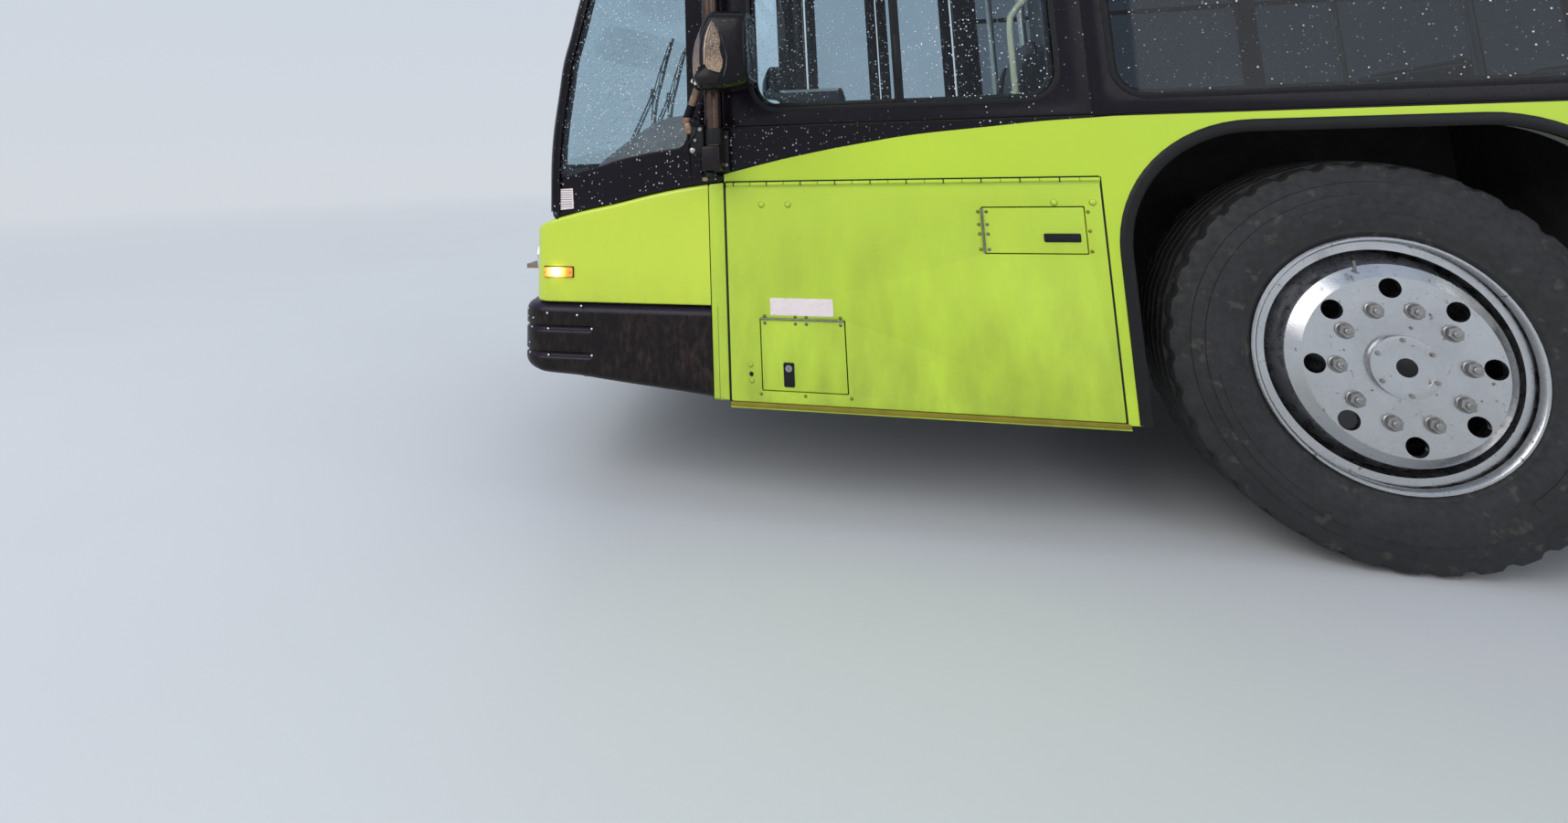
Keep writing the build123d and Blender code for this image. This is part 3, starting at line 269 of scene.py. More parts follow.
def surface(name, base, rough=0.5, metal=0.0, coat=0.0, spec=0.5, var=0.12, scale=4.0, rough_var=0.08, rough_scale=None,
            bumps=(), drops=0.0, drop_scale=230.0, drop_share=0.5, speck=None, low_darkening=None, ior=1.5, coat_rough=0.05, painted_glint=None):
    """A finish with patchy colour, patchy roughness, fine relief and, where it is wet, raindrops; optionally darker in
    cloudy patches towards the bottom, and with pale painted glints (painted highlights) in the base colour.
    """
    t = Tree(name)
    p = principled(t, rough, metal, coat, coat_rough, ior, spec)
    patch = t.noise(scale, 5.0)
    lo = tuple(max(0.0, c * (1 - var)) for c in base)
    hi = tuple(min(1.0, c * (1 + var)) for c in base)
    colour = t.mix(t.span(patch, 0.3, 0.7), lo, hi)
    if speck:
        fine = t.noise(speck[0], 2.0, 0.6)
        colour = t.mix(t.span(fine, speck[2], speck[2] + 0.08), colour, speck[1])
    # colour darker and more olive in cloudy patches towards the bottom
    if low_darkening:
        z = t.xyz()[2]
        cloud = t.noise(7.0, 6.0, 0.65, t.stretch(1, 1, 0.35))
        low_dark = t.math("MULTIPLY", t.span(z, low_darkening[1], low_darkening[0]), t.span(cloud, 0.35, 0.75), clamp=True)
        colour = t.mix(t.math("MULTIPLY", low_dark, low_darkening[3]), colour, low_darkening[2])
    # painted glints: pale specks mixed into the base colour, painted highlights standing in for light caught by
    # raindrops
    if painted_glint:
        v = t.voronoi(painted_glint[0])
        parts = t.node("ShaderNodeSeparateColor")
        t.link(v.outputs["Color"], parts.inputs[0])
        reach = t.math("MULTIPLY", t.math("POWER", parts.outputs[0], 2.0), painted_glint[1])
        spot = t.span(t.math("SUBTRACT", reach, v.outputs["Distance"]), 0.0, 0.05)
        spot = t.math("MULTIPLY", spot, t.math("GREATER_THAN", parts.outputs[1], 1.0 - painted_glint[2]), clamp=True)
        spot = t.math("MULTIPLY", spot, t.span(t.noise(3.0, 3.0), 0.38, 0.60, 0.25, 1.0), clamp=True)
        colour = t.mix(spot, colour, painted_glint[3])
    t.link(colour, p.inputs["Base Color"])
    rn = t.span(t.noise(rough_scale or scale * 3.1, 4.0), 0.3, 0.7, max(0.02, rough - rough_var), min(1.0, rough + rough_var))
    heights = [(t.noise(s, d), h) for s, d, h in bumps]
    if drops:
        height = t.drops(drop_scale, 0.34, drop_share)
        heights.append((height, drops))
        rn = t.math("MULTIPLY", rn, t.span(height, 0.0, 0.2, 1.0, 0.35))
    t.link(rn, p.inputs["Roughness"])
    if heights:
        n = t.bump(heights)
        t.link(n, p.inputs["Normal"])
        if coat:
            t.link(n, p.inputs["Coat Normal"])
    return t.mat


def glass(name, tint, shine=0.06, drops=0.0, drop_scale=260.0, share=0.5, haze=0.0, dark=0.02):
    """Thin glazing: what lies behind shows through, with gloss by the angle and raindrops on it, the raindrops painted
    pale (painted highlight).
    """
    t = Tree(name)
    p = principled(t, 0.03, 0.0, 0.0, ior=2.6, spec=0.5)
    p.inputs["Base Color"].default_value = (*[dark * c for c in (0.9, 1.0, 1.1)], 1)
    clear = t.node("ShaderNodeBsdfTransparent")
    clear.inputs[0].default_value = (*tint, 1)
    mixer = t.node("ShaderNodeMixShader")
    fres = t.node("ShaderNodeFresnel")
    fres.inputs["IOR"].default_value = 1.45
    fac = t.math("ADD", t.math("MINIMUM", t.math("MULTIPLY", fres.outputs[0], 0.9), 0.20), shine, clamp=True)
    patch = t.noise(1.3, 3.0)
    fac = t.math("ADD", fac, t.span(patch, 0.35, 0.75, 0.0, haze), clamp=True)
    if drops:
        height = t.drops(drop_scale, 0.36, share)
        n = t.bump([(height, drops)])
        t.link(n, p.inputs["Normal"])
        fac = t.math("ADD", fac, t.span(height, 0.0, 0.4, 0.0, 0.80), clamp=True)
        # raindrops painted pale in the base colour: painted highlight
        tone = t.mix(t.span(height, 0.1, 0.9), tuple(dark * c for c in (0.9, 1.0, 1.1)), (0.92, 0.95, 0.98))
        t.link(tone, p.inputs["Base Color"])
    t.link(fac, mixer.inputs[0])
    t.link(clear.outputs[0], mixer.inputs[1])
    t.link(p.outputs[0], mixer.inputs[2])
    t.link(mixer.outputs[0], t.out.inputs[0])
    return t.mat


def srgb(r, g, b):
    def f(c):
        c /= 255.0
        return c / 12.92 if c <= 0.04045 else ((c + 0.055) / 1.055) ** 2.4
    return (f(r), f(g), f(b))


LIME = srgb(188, 214, 52)
M = {}
M["lime"] = surface("lime_paint", LIME, 0.30, coat=0.45, coat_rough=0.12, var=0.05, scale=1.4, rough_var=0.07,
                    bumps=[(2.2, 2.0, 0.0035), (900.0, 2.0, 0.00004)], drops=0.0005, drop_scale=150.0, drop_share=0.22,
                    low_darkening=(0.30, 1.00, srgb(100, 114, 28), 0.72))
M["lime_cap"] = surface("lime_paint_front", srgb(196, 216, 54), 0.28, coat=0.45, coat_rough=0.10, var=0.05, scale=1.2, rough_var=0.07,
                        bumps=[(2.2, 2.0, 0.0030), (900.0, 2.0, 0.00004)], drops=0.0005, drop_scale=150.0, drop_share=0.22,
                        low_darkening=(0.58, 0.72, srgb(150, 160, 46), 0.5))
# lime darkened to olive: painted shade, for the lip, the turned-in edge and small pin heads
M["lime_dull"] = surface("lime_painted_shade", srgb(128, 117, 8), 0.5, var=0.2, scale=14.0, bumps=[(300.0, 3.0, 0.0002)])
M["green_mid"] = surface("mid_green_film", srgb(112, 184, 62), 0.32, coat=0.3, var=0.05, scale=1.5, bumps=[(2.2, 2.0, 0.003)],
                         drops=0.0005, drop_scale=150.0, drop_share=0.2)
M["green_dark"] = surface("dark_green_film", srgb(44, 118, 58), 0.32, coat=0.3, var=0.06, scale=1.5, bumps=[(2.2, 2.0, 0.003)],
                          drops=0.0005, drop_scale=150.0, drop_share=0.2)
M["white"] = surface("white_film", srgb(226, 230, 228), 0.35, coat=0.3, var=0.04, scale=2.5, bumps=[(2.2, 2.0, 0.003)],
                     low_darkening=(0.30, 0.95, srgb(150, 150, 140), 0.5))
M["black"] = surface("black_gloss_panel", srgb(14, 9, 18), 0.14, coat=0.05, coat_rough=0.03, spec=0.20, var=0.22, scale=5.0,
                     rough_var=0.06, bumps=[(2.6, 2.0, 0.002)], drops=0.0011, drop_scale=130.0, drop_share=0.30, painted_glint=(110.0, 0.34, 0.80, (0.58, 0.56, 0.58)))
M["band"] = surface("window_band_paint", srgb(18, 12, 21), 0.24, coat=0.04, spec=0.20, var=0.16, scale=6.0, rough_var=0.08,
                    bumps=[(700.0, 2.0, 0.00008)], drops=0.0008, drop_scale=190.0, drop_share=0.3,
                    painted_glint=(88.0, 0.24, 0.40, (0.50, 0.50, 0.56)))
M["rubber"] = surface("black_rubber", srgb(13, 12, 14), 0.5, spec=0.3, var=0.25, scale=30.0, bumps=[(500.0, 3.0, 0.0001)])
M["bumper"] = surface("bumper_moulding", srgb(24, 15, 15), 0.36, coat=0.12, coat_rough=0.14, spec=0.35, var=0.42, scale=13.0, rough_var=0.14,
                      rough_scale=22.0, bumps=[(36.0, 5.0, 0.0009), (420.0, 3.0, 0.00018)], drops=0.0010, drop_scale=120.0,
                      drop_share=0.2, speck=(60.0, srgb(62, 50, 44), 0.60))
M["chassis"] = surface("chassis_coat", srgb(33, 32, 32), 0.62, var=0.35, scale=9.0, rough_var=0.15, bumps=[(90.0, 5.0, 0.0008)],
                       speck=(40.0, srgb(74, 62, 50), 0.64))
M["well"] = surface("wheel_housing_coat", srgb(48, 46, 44), 0.8, var=0.3, scale=10.0, bumps=[(120.0, 5.0, 0.0012)])
M["plastic"] = surface("black_moulded_plastic", srgb(18, 16, 20), 0.34, spec=0.32, var=0.2, scale=16.0, rough_var=0.1,
                       bumps=[(900.0, 2.0, 0.00012)], drops=0.0006, drop_scale=260.0, drop_share=0.3,
                       painted_glint=(120.0, 0.22, 0.45, (0.50, 0.50, 0.56)))
M["shell"] = surface("mirror_shell", srgb(12, 10, 16), 0.24, coat=0.05, coat_rough=0.08, spec=0.18, var=0.2, scale=18.0, rough_var=0.1,
                     bumps=[(1100.0, 2.0, 0.00012)], drops=0.0005, drop_scale=330.0, drop_share=0.3,
                     painted_glint=(150.0, 0.22, 0.45, (0.50, 0.50, 0.56)))
M["shell_worn"] = surface("mirror_shell_wet_face", srgb(140, 112, 96), 0.4, coat=0.3, coat_rough=0.2, var=0.22, scale=26.0, rough_var=0.12,
                          bumps=[(500.0, 3.0, 0.0003)], drops=0.0009, drop_scale=300.0, drop_share=0.8,
                          speck=(420.0, srgb(212, 186, 166), 0.60))
M["tube"] = surface("mirror_tube_coat", srgb(74, 54, 46), 0.28, metal=0.80, coat=0.4, coat_rough=0.12, var=0.25, scale=20.0,
                    rough_var=0.1, bumps=[(260.0, 3.0, 0.0001)], drops=0.0006, drop_scale=280.0, drop_share=0.35)
M["steel"] = surface("bare_steel", srgb(170, 168, 166), 0.30, metal=1.0, var=0.12, scale=40.0, rough_var=0.12,
                     bumps=[(300.0, 3.0, 0.00008)])
M["hinge"] = surface("grey_hinge_steel", srgb(122, 126, 118), 0.42, metal=0.8, var=0.25, scale=60.0, rough_var=0.12,
                     bumps=[(400.0, 3.0, 0.0001)])
M["rail"] = surface("brushed_rail", srgb(196, 192, 184), 0.32, metal=0.9, var=0.05, scale=9.0, rough_var=0.05,
                    bumps=[(700.0, 2.0, 0.00005)])
M["alloy"] = surface("wheel_alloy", srgb(186, 186, 188), 0.28, metal=1.0, var=0.08, scale=9.0, rough_var=0.1,
                     bumps=[(160.0, 4.0, 0.00015)], speck=(55.0, srgb(120, 112, 104), 0.66))
M["tyre"] = surface("tyre_rubber", srgb(31, 30, 31), 0.68, var=0.28, scale=18.0, rough_var=0.12, bumps=[(240.0, 4.0, 0.0004)],
                    speck=(26.0, srgb(58, 54, 50), 0.62))
M["label"] = surface("blank_white_label", srgb(232, 218, 216), 0.42, var=0.05, scale=30.0, bumps=[(200.0, 3.0, 0.0001)],
                     speck=(160.0, srgb(214, 188, 186), 0.62))
M["ink"] = surface("grey_print", srgb(120, 112, 118), 0.5, var=0.1, scale=50.0)
M["amber"] = None
M["seat_cloth"] = None
M["dash"] = surface("grained_grey_plastic", srgb(86, 88, 94), 0.55, var=0.14, scale=7.0, rough_var=0.1,
                    bumps=[(420.0, 3.0, 0.0003)])
M["dash_dark"] = surface("grained_dark_plastic", srgb(44, 45, 50), 0.5, var=0.14, scale=9.0, bumps=[(460.0, 3.0, 0.0003)])
M["floor"] = surface("ribbed_floor_sheet", srgb(92, 95, 98), 0.6, var=0.16, scale=8.0, bumps=[(260.0, 4.0, 0.0003)],
                     speck=(220.0, srgb(140, 142, 146), 0.62))
M["lining"] = surface("inner_lining", srgb(176, 178, 176), 0.55, var=0.06, scale=4.0, bumps=[(300.0, 3.0, 0.0001)])
M["white_plastic"] = surface("white_moulded_plastic", srgb(214, 214, 206), 0.42, var=0.06, scale=5.0, bumps=[(180.0, 3.0, 0.0002)],
                             drops=0.0007, drop_scale=130.0, drop_share=0.3)
M["dark_grille"] = surface("dark_grille", srgb(24, 24, 26), 0.5, var=0.25, scale=20.0, bumps=[(300.0, 3.0, 0.0002)])
M["mirror"] = surface("mirror_face", srgb(196, 204, 214), 0.04, metal=1.0, var=0.03, scale=8.0, rough_var=0.02, drops=0.0006,
                      drop_scale=260.0, drop_share=0.5)
M["red_lens"] = surface("red_lens", srgb(150, 12, 10), 0.16, coat=0.6, var=0.15, scale=60.0, bumps=[(240.0, 1.0, 0.0006)])
M["clear_lens"] = surface("clear_lens", srgb(206, 212, 216), 0.1, metal=0.35, coat=0.8, var=0.1, scale=50.0, bumps=[(160.0, 1.0, 0.0008)])
M["sign"] = surface("blank_sign_glass", srgb(10, 10, 13), 0.12, coat=0.5, spec=0.5, var=0.2, scale=8.0, drops=0.0009,
                    drop_scale=180.0, drop_share=0.35)
M["screen"] = surface("dark_screen", srgb(16, 17, 20), 0.2, var=0.2, scale=20.0)
M["glass"] = glass("clear_glazing", (0.90, 0.965, 0.995), 0.03, drops=0.0014, drop_scale=132.0, share=0.52, haze=0.04)
M["glass_screen"] = glass("windshield_glazing", (0.88, 0.966, 1.0), 0.02, drops=0.0014, drop_scale=118.0, share=0.60, haze=0.05)
M["glass_dark"] = glass("tinted_glazing", (0.42, 0.45, 0.48), 0.06, drops=0.0010, drop_scale=110.0, share=0.16, haze=0.03)
M["glass_door"] = glass("door_glazing", (0.72, 0.78, 0.81), 0.04, drops=0.0010, drop_scale=110.0, share=0.18, haze=0.03)


def lit_lens(name, base, glow, strength, centre, reach):
    """A lens with its bulb on: brightest at the bulb, fading to the moulded colour."""
    t = Tree(name)
    p = principled(t, 0.22, coat=0.5)
    ribs = t.node("ShaderNodeTexWave", wave_type="BANDS", bands_direction="X")
    ribs.inputs["Scale"].default_value = 60.0
    t.link(t.co, ribs.inputs["Vector"])
    t.link(t.mix(t.noise(90.0), tuple(c * 0.85 for c in base), base), p.inputs["Base Color"])
    d = t.node("ShaderNodeVectorMath", operation="DISTANCE")
    d.inputs[1].default_value = centre
    t.link(t.co, d.inputs[0])
    near = t.math("POWER", t.span(d.outputs["Value"], reach, 0.0), 2.0)
    t.link(t.mix(near, glow, (1.0, 0.86, 0.5)), p.inputs["Emission Color"])
    t.link(t.math("ADD", t.math("MULTIPLY", near, strength), 0.35), p.inputs["Emission Strength"])
    t.link(t.bump([(ribs.outputs["Fac"], 0.0008)]), p.inputs["Normal"])
    return t.mat


M["amber_on"] = lit_lens("amber_lens_lit", srgb(238, 142, 20), (1.0, 0.42, 0.03), 7.0, (5.400 + 0.551, 1.300, 0.695), 0.050)
M["amber"] = surface("amber_lens", srgb(226, 116, 22), 0.18, coat=0.6, var=0.1, scale=70.0, bumps=[(240.0, 1.0, 0.0006)])


def woven(name, base, thread, scale=900.0):
    """Flat woven upholstery with a small fleck."""
    t = Tree(name)
    p = principled(t, 0.86, spec=0.25)
    p.inputs["Sheen Weight"].default_value = 0.35
    wx = t.node("ShaderNodeTexWave", wave_type="BANDS", bands_direction="DIAGONAL")
    wx.inputs["Scale"].default_value = scale / 6.0
    wx.inputs["Distortion"].default_value = 0.6
    wz = t.node("ShaderNodeTexWave", wave_type="BANDS", bands_direction="Z")
    wz.inputs["Scale"].default_value = scale / 6.0
    for w in (wx, wz):
        t.link(t.co, w.inputs["Vector"])
    weave = t.math("MULTIPLY", wx.outputs["Fac"], wz.outputs["Fac"])
    fleck = t.voronoi(70.0)
    dots = t.span(fleck.outputs["Distance"], 0.12, 0.2, 1.0, 0.0)
    colour = t.mix(t.span(t.noise(3.0, 4.0), 0.3, 0.7), tuple(c * 0.8 for c in base), base)
    colour = t.mix(t.math("MULTIPLY", dots, 0.8), colour, thread)
    t.link(colour, p.inputs["Base Color"])
    t.link(t.bump([(weave, 0.0006), (t.noise(240.0), 0.0002)]), p.inputs["Normal"])
    return t.mat


M["seat_cloth"] = woven("seat_weave", srgb(42, 58, 92), srgb(120, 150, 70))
M["driver_cloth"] = woven("driver_seat_weave", srgb(40, 42, 50), srgb(60, 64, 76))


# ------------------------------------------------------------------ mesh making
class Geo:
    """Collects closed shells, then makes one mesh object of them."""

    def __init__(self):
        self.v, self.f, self.m = [], [], []

    def add(self, verts, faces, mat=0, matrix=None):
        n = len(self.v)
        if matrix is not None:
            verts = [matrix @ Vector(p) for p in verts]
        self.v.extend(tuple(p) for p in verts)
        self.f.extend([tuple(i + n for i in face) for face in faces])
        self.m.extend([mat] * len(faces))
        return self

    def bm(self, bm, mat=0, matrix=None):
        bm.verts.index_update()
        self.add([v.co.copy() for v in bm.verts], [[v.index for v in f.verts] for f in bm.faces], mat, matrix)
        bm.free()
        return self

    def box(self, x0, x1, y0, y1, z0, z1, r=0.0, mat=0, seg=2, matrix=None):
        b = bmesh.new()
        bmesh.ops.create_cube(b, size=1.0)
        for v in b.verts:
            v.co = Vector((x0 if v.co.x < 0 else x1, y0 if v.co.y < 0 else y1, z0 if v.co.z < 0 else z1))
        if r:
            bmesh.ops.bevel(b, geom=b.edges[:], offset=r, segments=seg, profile=0.5, affect="EDGES", clamp_overlap=True)
        return self.bm(b, mat, matrix)

    def prism(self, pts, place, d0, d1, r=0.0, mat=0, seg=2):
        """A polygon pushed from d0 to d1. place(u, v, d) gives the point."""
        n = len(pts)
        b = bmesh.new()
        a = [b.verts.new(place(u, v, d0)) for u, v in pts]
        c = [b.verts.new(place(u, v, d1)) for u, v in pts]
        b.faces.new(a)
        b.faces.new(c)
        for i in range(n):
            j = (i + 1) % n
            b.faces.new((a[i], a[j], c[j], c[i]))
        bmesh.ops.recalc_face_normals(b, faces=b.faces[:])
        if r:
            es = [e for e in b.edges if len(e.link_faces) == 2 and e.calc_face_angle(0.0) > math.radians(28)]
            bmesh.ops.bevel(b, geom=es, offset=r, segments=seg, profile=0.5, affect="EDGES", clamp_overlap=True)
        return self.bm(b, mat)

    def rings(self, rings, closed=True, caps=True, mat=0, loop=False):
        """Skin over rings of equally many points. loop joins the last ring to the first."""
        n = len(rings[0])
        verts = [p for ring in rings for p in ring]
        faces = []
        rows = len(rings)
        for i in range(rows if loop else rows - 1):
            k = (i + 1) % rows
            for j in range(n if closed else n - 1):
                q = (j + 1) % n
                faces.append((i * n + j, i * n + q, k * n + q, k * n + j))
        if caps and closed and not loop:
            faces.append(tuple(range(n)))
            faces.append(tuple((rows - 1) * n + i for i in reversed(range(n))))
        return self.add(verts, faces, mat)

    def tube(self, path, r, n=12, mat=0, caps=True, loop=False):
        """Round tube along points; r is one radius or one for each point."""
        pts = [Vector(p) for p in path]
        count = len(pts)
        rs = r if isinstance(r, (list, tuple)) else [r] * count
        rings, side = [], None
        for i, p in enumerate(pts):
            if loop:
                d = (pts[(i + 1) % count] - pts[i - 1]).normalized()
            else:
                d = (pts[min(i + 1, count - 1)] - pts[max(i - 1, 0)]).normalized()
            if side is None:
                side = d.orthogonal().normalized()
            side = (side - d * side.dot(d)).normalized()
            other = d.cross(side)
            rings.append([p + (side * math.cos(a) + other * math.sin(a)) * rs[i] for a in (2 * math.pi * k / n for k in range(n))])
        return self.rings(rings, True, caps and not loop, mat, loop)

    def lathe(self, profile, centre, axis, n=32, mat=0, closed=False):
        """Profile rows of (radius, height along the axis), turned about the axis."""
        axis = Vector(axis).normalized()
        s = axis.orthogonal().normalized()
        t = axis.cross(s)
        c = Vector(centre)
        rings = [[c + axis * h + (s * math.cos(a) + t * math.sin(a)) * max(r, 1e-5) for r, h in profile]
                 for a in (2 * math.pi * k / n for k in range(n))]
        return self.rings(rings, closed, False, mat, True)

    def dome(self, centre, axis, r, h, n=10, mat=0):
        prof = [(r, -h * 0.25), (r, 0.0), (r * 0.92, h * 0.42), (r * 0.68, h * 0.78), (r * 0.36, h * 0.95), (0.0, h)]
        return self.lathe(prof, centre, axis, n, mat)

    def hexnut(self, centre, axis, across, h, mat=0):
        axis = Vector(axis).normalized()
        s = axis.orthogonal().normalized()
        t = axis.cross(s)
        c = Vector(centre)
        r = across / math.sqrt(3)
        ring = lambda rr, hh: [c + axis * hh + (s * math.cos(a) + t * math.sin(a)) * rr for a in (math.pi / 3 * k for k in range(6))]
        self.rings([ring(r, 0.0), ring(r, h * 0.82), ring(r * 0.88, h)], True, True, mat)
        return self.lathe([(across * 0.28, 0.0), (across * 0.28, h * 1.35), (across * 0.22, h * 1.45), (0.0, h * 1.45)], centre, axis, 10, mat)

    def make(self, name, mats, body="body", replaces=(), slot=None, smooth=32.0, bevel=None, weld=True, subdiv=0):
        me = bpy.data.meshes.new(name)
        me.from_pydata(self.v, [], self.f)
        me.update()
        b = bmesh.new()
        b.from_mesh(me)
        b.faces.ensure_lookup_table()
        for i, f in enumerate(b.faces):
            f.material_index = self.m[i]
        if weld:
            bmesh.ops.remove_doubles(b, verts=b.verts[:], dist=1e-6)
        bmesh.ops.recalc_face_normals(b, faces=b.faces[:])
        b.to_mesh(me)
        b.free()
        for m in (mats if isinstance(mats, (list, tuple)) else [mats]):
            me.materials.append(m)
        for p in me.polygons:
            p.use_smooth = True
        me.set_sharp_from_angle(angle=math.radians(smooth))
        ob = bpy.data.objects.new(name, me)
        sc.collection.objects.link(ob)
        if bevel:
            mod = ob.modifiers.new("edge", "BEVEL")
            mod.width, mod.segments, mod.limit_method, mod.angle_limit = bevel, 2, "ANGLE", math.radians(30)
            mod.harden_normals = False
        if subdiv:
            mod = ob.modifiers.new("round", "SUBSURF")
            mod.levels = mod.render_levels = subdiv
        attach(ob, body)
        if replaces:
            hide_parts(*([replaces] if isinstance(replaces, str) else replaces))
        return ob


def rounded(points, radius, n=6):
    """Outline with its corners rounded; radius is one value or one for each corner."""
    out = []
    count = len(points)
    for i, p in enumerate(points):
        r = radius[i] if isinstance(radius, (list, tuple)) else radius
        p = Vector((p[0], p[1]))
        a = Vector(points[i - 1]) - p
        b = Vector(points[(i + 1) % count]) - p
        if r <= 0 or a.length < 1e-6 or b.length < 1e-6:
            out.append((p.x, p.y))
            continue
        an, bn = a.normalized(), b.normalized()
        cosine = max(-1.0, min(1.0, an.dot(bn)))
        half = math.acos(cosine) / 2
        if half > math.pi / 2 - 0.02:
            out.append((p.x, p.y))
            continue
        cut = min(r / math.tan(half), a.length * 0.48, b.length * 0.48)
        r = cut * math.tan(half)
        centre = p + (an + bn).normalized() * (r / math.sin(half))
        s, e = p + an * cut - centre, p + bn * cut - centre
        sa, ea = math.atan2(s.y, s.x), math.atan2(e.y, e.x)
        turn = (ea - sa + math.pi) % (2 * math.pi) - math.pi
        for k in range(n + 1):
            ang = sa + turn * k / n
            out.append((centre.x + r * math.cos(ang), centre.y + r * math.sin(ang)))
    return out


def rect(x0, x1, z0, z1, r=0.0, n=6):
    pts = [(x0, z0), (x1, z0), (x1, z1), (x0, z1)]
    return rounded(pts, r, n) if r else pts


def flat_plate(loops, depth, bevel=0.0, seg=2):
    """Plate with holes, drawn in XY, as a bmesh."""
    cu = bpy.data.curves.new("plate", "CURVE")
    cu.dimensions = "2D"
    cu.fill_mode = "BOTH"
    cu.extrude = depth / 2 - bevel
    cu.bevel_depth = bevel
    cu.bevel_resolution = max(0, seg - 1)
    cu.offset = -bevel
    for loop in loops:
        sp = cu.splines.new("POLY")
        sp.points.add(len(loop) - 1)
        for i, (x, y) in enumerate(loop):
            sp.points[i].co = (x, y, 0, 1)
        sp.use_cyclic_u = True
    ob = bpy.data.objects.new("plate", cu)
    sc.collection.objects.link(ob)
    me = bpy.data.meshes.new_from_object(ob.evaluated_get(bpy.context.evaluated_depsgraph_get()))
    bpy.data.objects.remove(ob)
    bpy.data.curves.remove(cu)
    b = bmesh.new()
    b.from_mesh(me)
    bpy.data.meshes.remove(me)
    bmesh.ops.remove_doubles(b, verts=b.verts[:], dist=1e-6)
    return b


def side_matrix(y):
    """Places a plate drawn as (x, z) at a side plane y."""
    return Matrix(((1, 0, 0, 0), (0, 0, 1, y), (0, 1, 0, 0), (0, 0, 0, 1)))


def cross_matrix(x):
    """Places a plate drawn as (y, z) at a cross plane x."""
    return Matrix(((0, 0, 1, x), (1, 0, 0, 0), (0, 1, 0, 0), (0, 0, 0, 1)))


def top_matrix(z):
    return Matrix.Translation((0, 0, z))


def side_place(u, v, d):
    return Vector((u, d, v))


def cross_place(u, v, d):
    return Vector((d, u, v))


def top_place(u, v, d):
    return Vector((u, v, d))


def plan_path(lead_corner, lead_mid, half, radius, start, n_arc=10, n_front=36, n_side=14):
    """Plan line of the front from the driver's side round to the curb side: rows of point, outward normal."""
    xc, xm = POST_X + lead_corner, POST_X + lead_mid
    out = []
    for i in range(n_side):
        out.append((Vector((start + (xc - radius - start) * i / n_side, half, 0)), Vector((0, 1, 0))))
    for i in range(n_arc):
        a = math.pi / 2 * (1 - i / n_arc)
        nrm = Vector((math.cos(a), math.sin(a), 0))
        out.append((Vector((xc - radius, half - radius, 0)) + nrm * radius, nrm))
    w = half - radius
    bow = xm - xc
    big = (w * w + bow * bow) / (2 * bow)
    for i in range(n_front // 2):
        y = w * (1 - i / (n_front / 2))
        x = xm - big + math.sqrt(big * big - y * y)
        out.append((Vector((x, y, 0)), Vector(((x - (xm - big)) / big, y / big, 0)).normalized()))
    out.append((Vector((xm, 0, 0)), Vector((1, 0, 0))))
    other = [(Vector((p.x, -p.y, 0)), Vector((q.x, -q.y, 0))) for p, q in reversed(out[:-1])]
    return out + other


def shell_round(path, bottom, top, thick, r_top, r_bottom, seg=4, extra=None):
    """Rings of a wall that stands on a plan line. bottom and top give a height by lead; extra(lead, p, z) pushes a point out."""
    rings = []
    for p, nrm in path:
        lead = p.x - POST_X
        zb, zt = bottom(lead), top(lead)
        prof = [(thick, zb)]
        for k in range(seg + 1):
            a = math.pi / 2 * k / seg
            prof.append((r_bottom * (1 - math.sin(a)), zb + r_bottom * (1 - math.cos(a))))
        mid = 9
        lo, hi = zb + r_bottom, zt - r_top
        levels = extra[1] if extra else [lo + (hi - lo) * k / mid for k in range(1, mid)]
        for z in levels:
            z = min(max(z, lo + 0.0005), hi - 0.0005)
            prof.append((0.0, z))
        for k in range(seg + 1):
            a = math.pi / 2 * k / seg
            prof.append((r_top * (1 - math.cos(a)), zt - r_top * (1 - math.sin(a))))
        prof.append((thick, zt))
        ring = []
        for d, z in prof:
            push = extra[0](lead, p, z) if extra and d < 0.002 else 0.0
            ring.append(Vector((p.x, p.y, z)) + nrm * (push - d))
        rings.append(ring)
    return rings


def use(node, *mats):
    """Gives a construction node its finish."""
    ob = nodes[node]
    ob.data.materials.clear()
    for m in mats:
        ob.data.materials.append(m)
    return ob


# ------------------------------------------------------------------ finishes of the construction nodes that stay
for name, key in {
    "left_side": "lime", "right_side": "lime", "roof": "lime", "roof_unit": "lime", "sign_hood": "lime", "rear_wall": "lime",
    "underframe": "chassis", "front_axle": "chassis", "rear_axle": "chassis", "left_knuckle": "chassis", "right_knuckle": "chassis",
    "track_rod": "chassis", "engine_block": "chassis", "floor": "floor", "wheel_housings": "well", "air_springs": "rubber",
    "front_left_rim": "alloy", "front_right_rim": "alloy", "rear_left_rim": "alloy", "rear_right_rim": "alloy",
    "rack_brackets": "steel", "farebox": "rail", "grab_rails": "rail", "side_glass": "glass_dark",
    "engine_door": "lime", "rear_bumper": "bumper",
}.items():
    if name in nodes:
        use(name, M[key])
for name in nodes:
    if name.endswith("_leaf_glass"):
        use(name, M["glass_door"])
for name, ob in nodes.items():
    for p in ob.data.polygons:
        p.use_smooth = True
    ob.data.set_sharp_from_angle(angle=math.radians(32))


# ------------------------------------------------------------------ window bands
def pillars(x_list, z0, z1):
    return [rect(a, b, z0, z1, 0.085, 8) for a, b in x_list]


DRIVER = (4.426, 5.307)
g = Geo()
left = [(x0, x1) for s, x0, x1 in WINDOWS if s > 0]
g.bm(flat_plate([rect(-4.800, 4.345, BELT_Z, HEAD_Z, 0.004, 2)] + pillars(left, WIN_Z0, WIN_Z1), 0.054, 0.004), 0, side_matrix(1.262))
g.make("left_window_band", M["band"], replaces="left_window_frame", slot="black_paint")
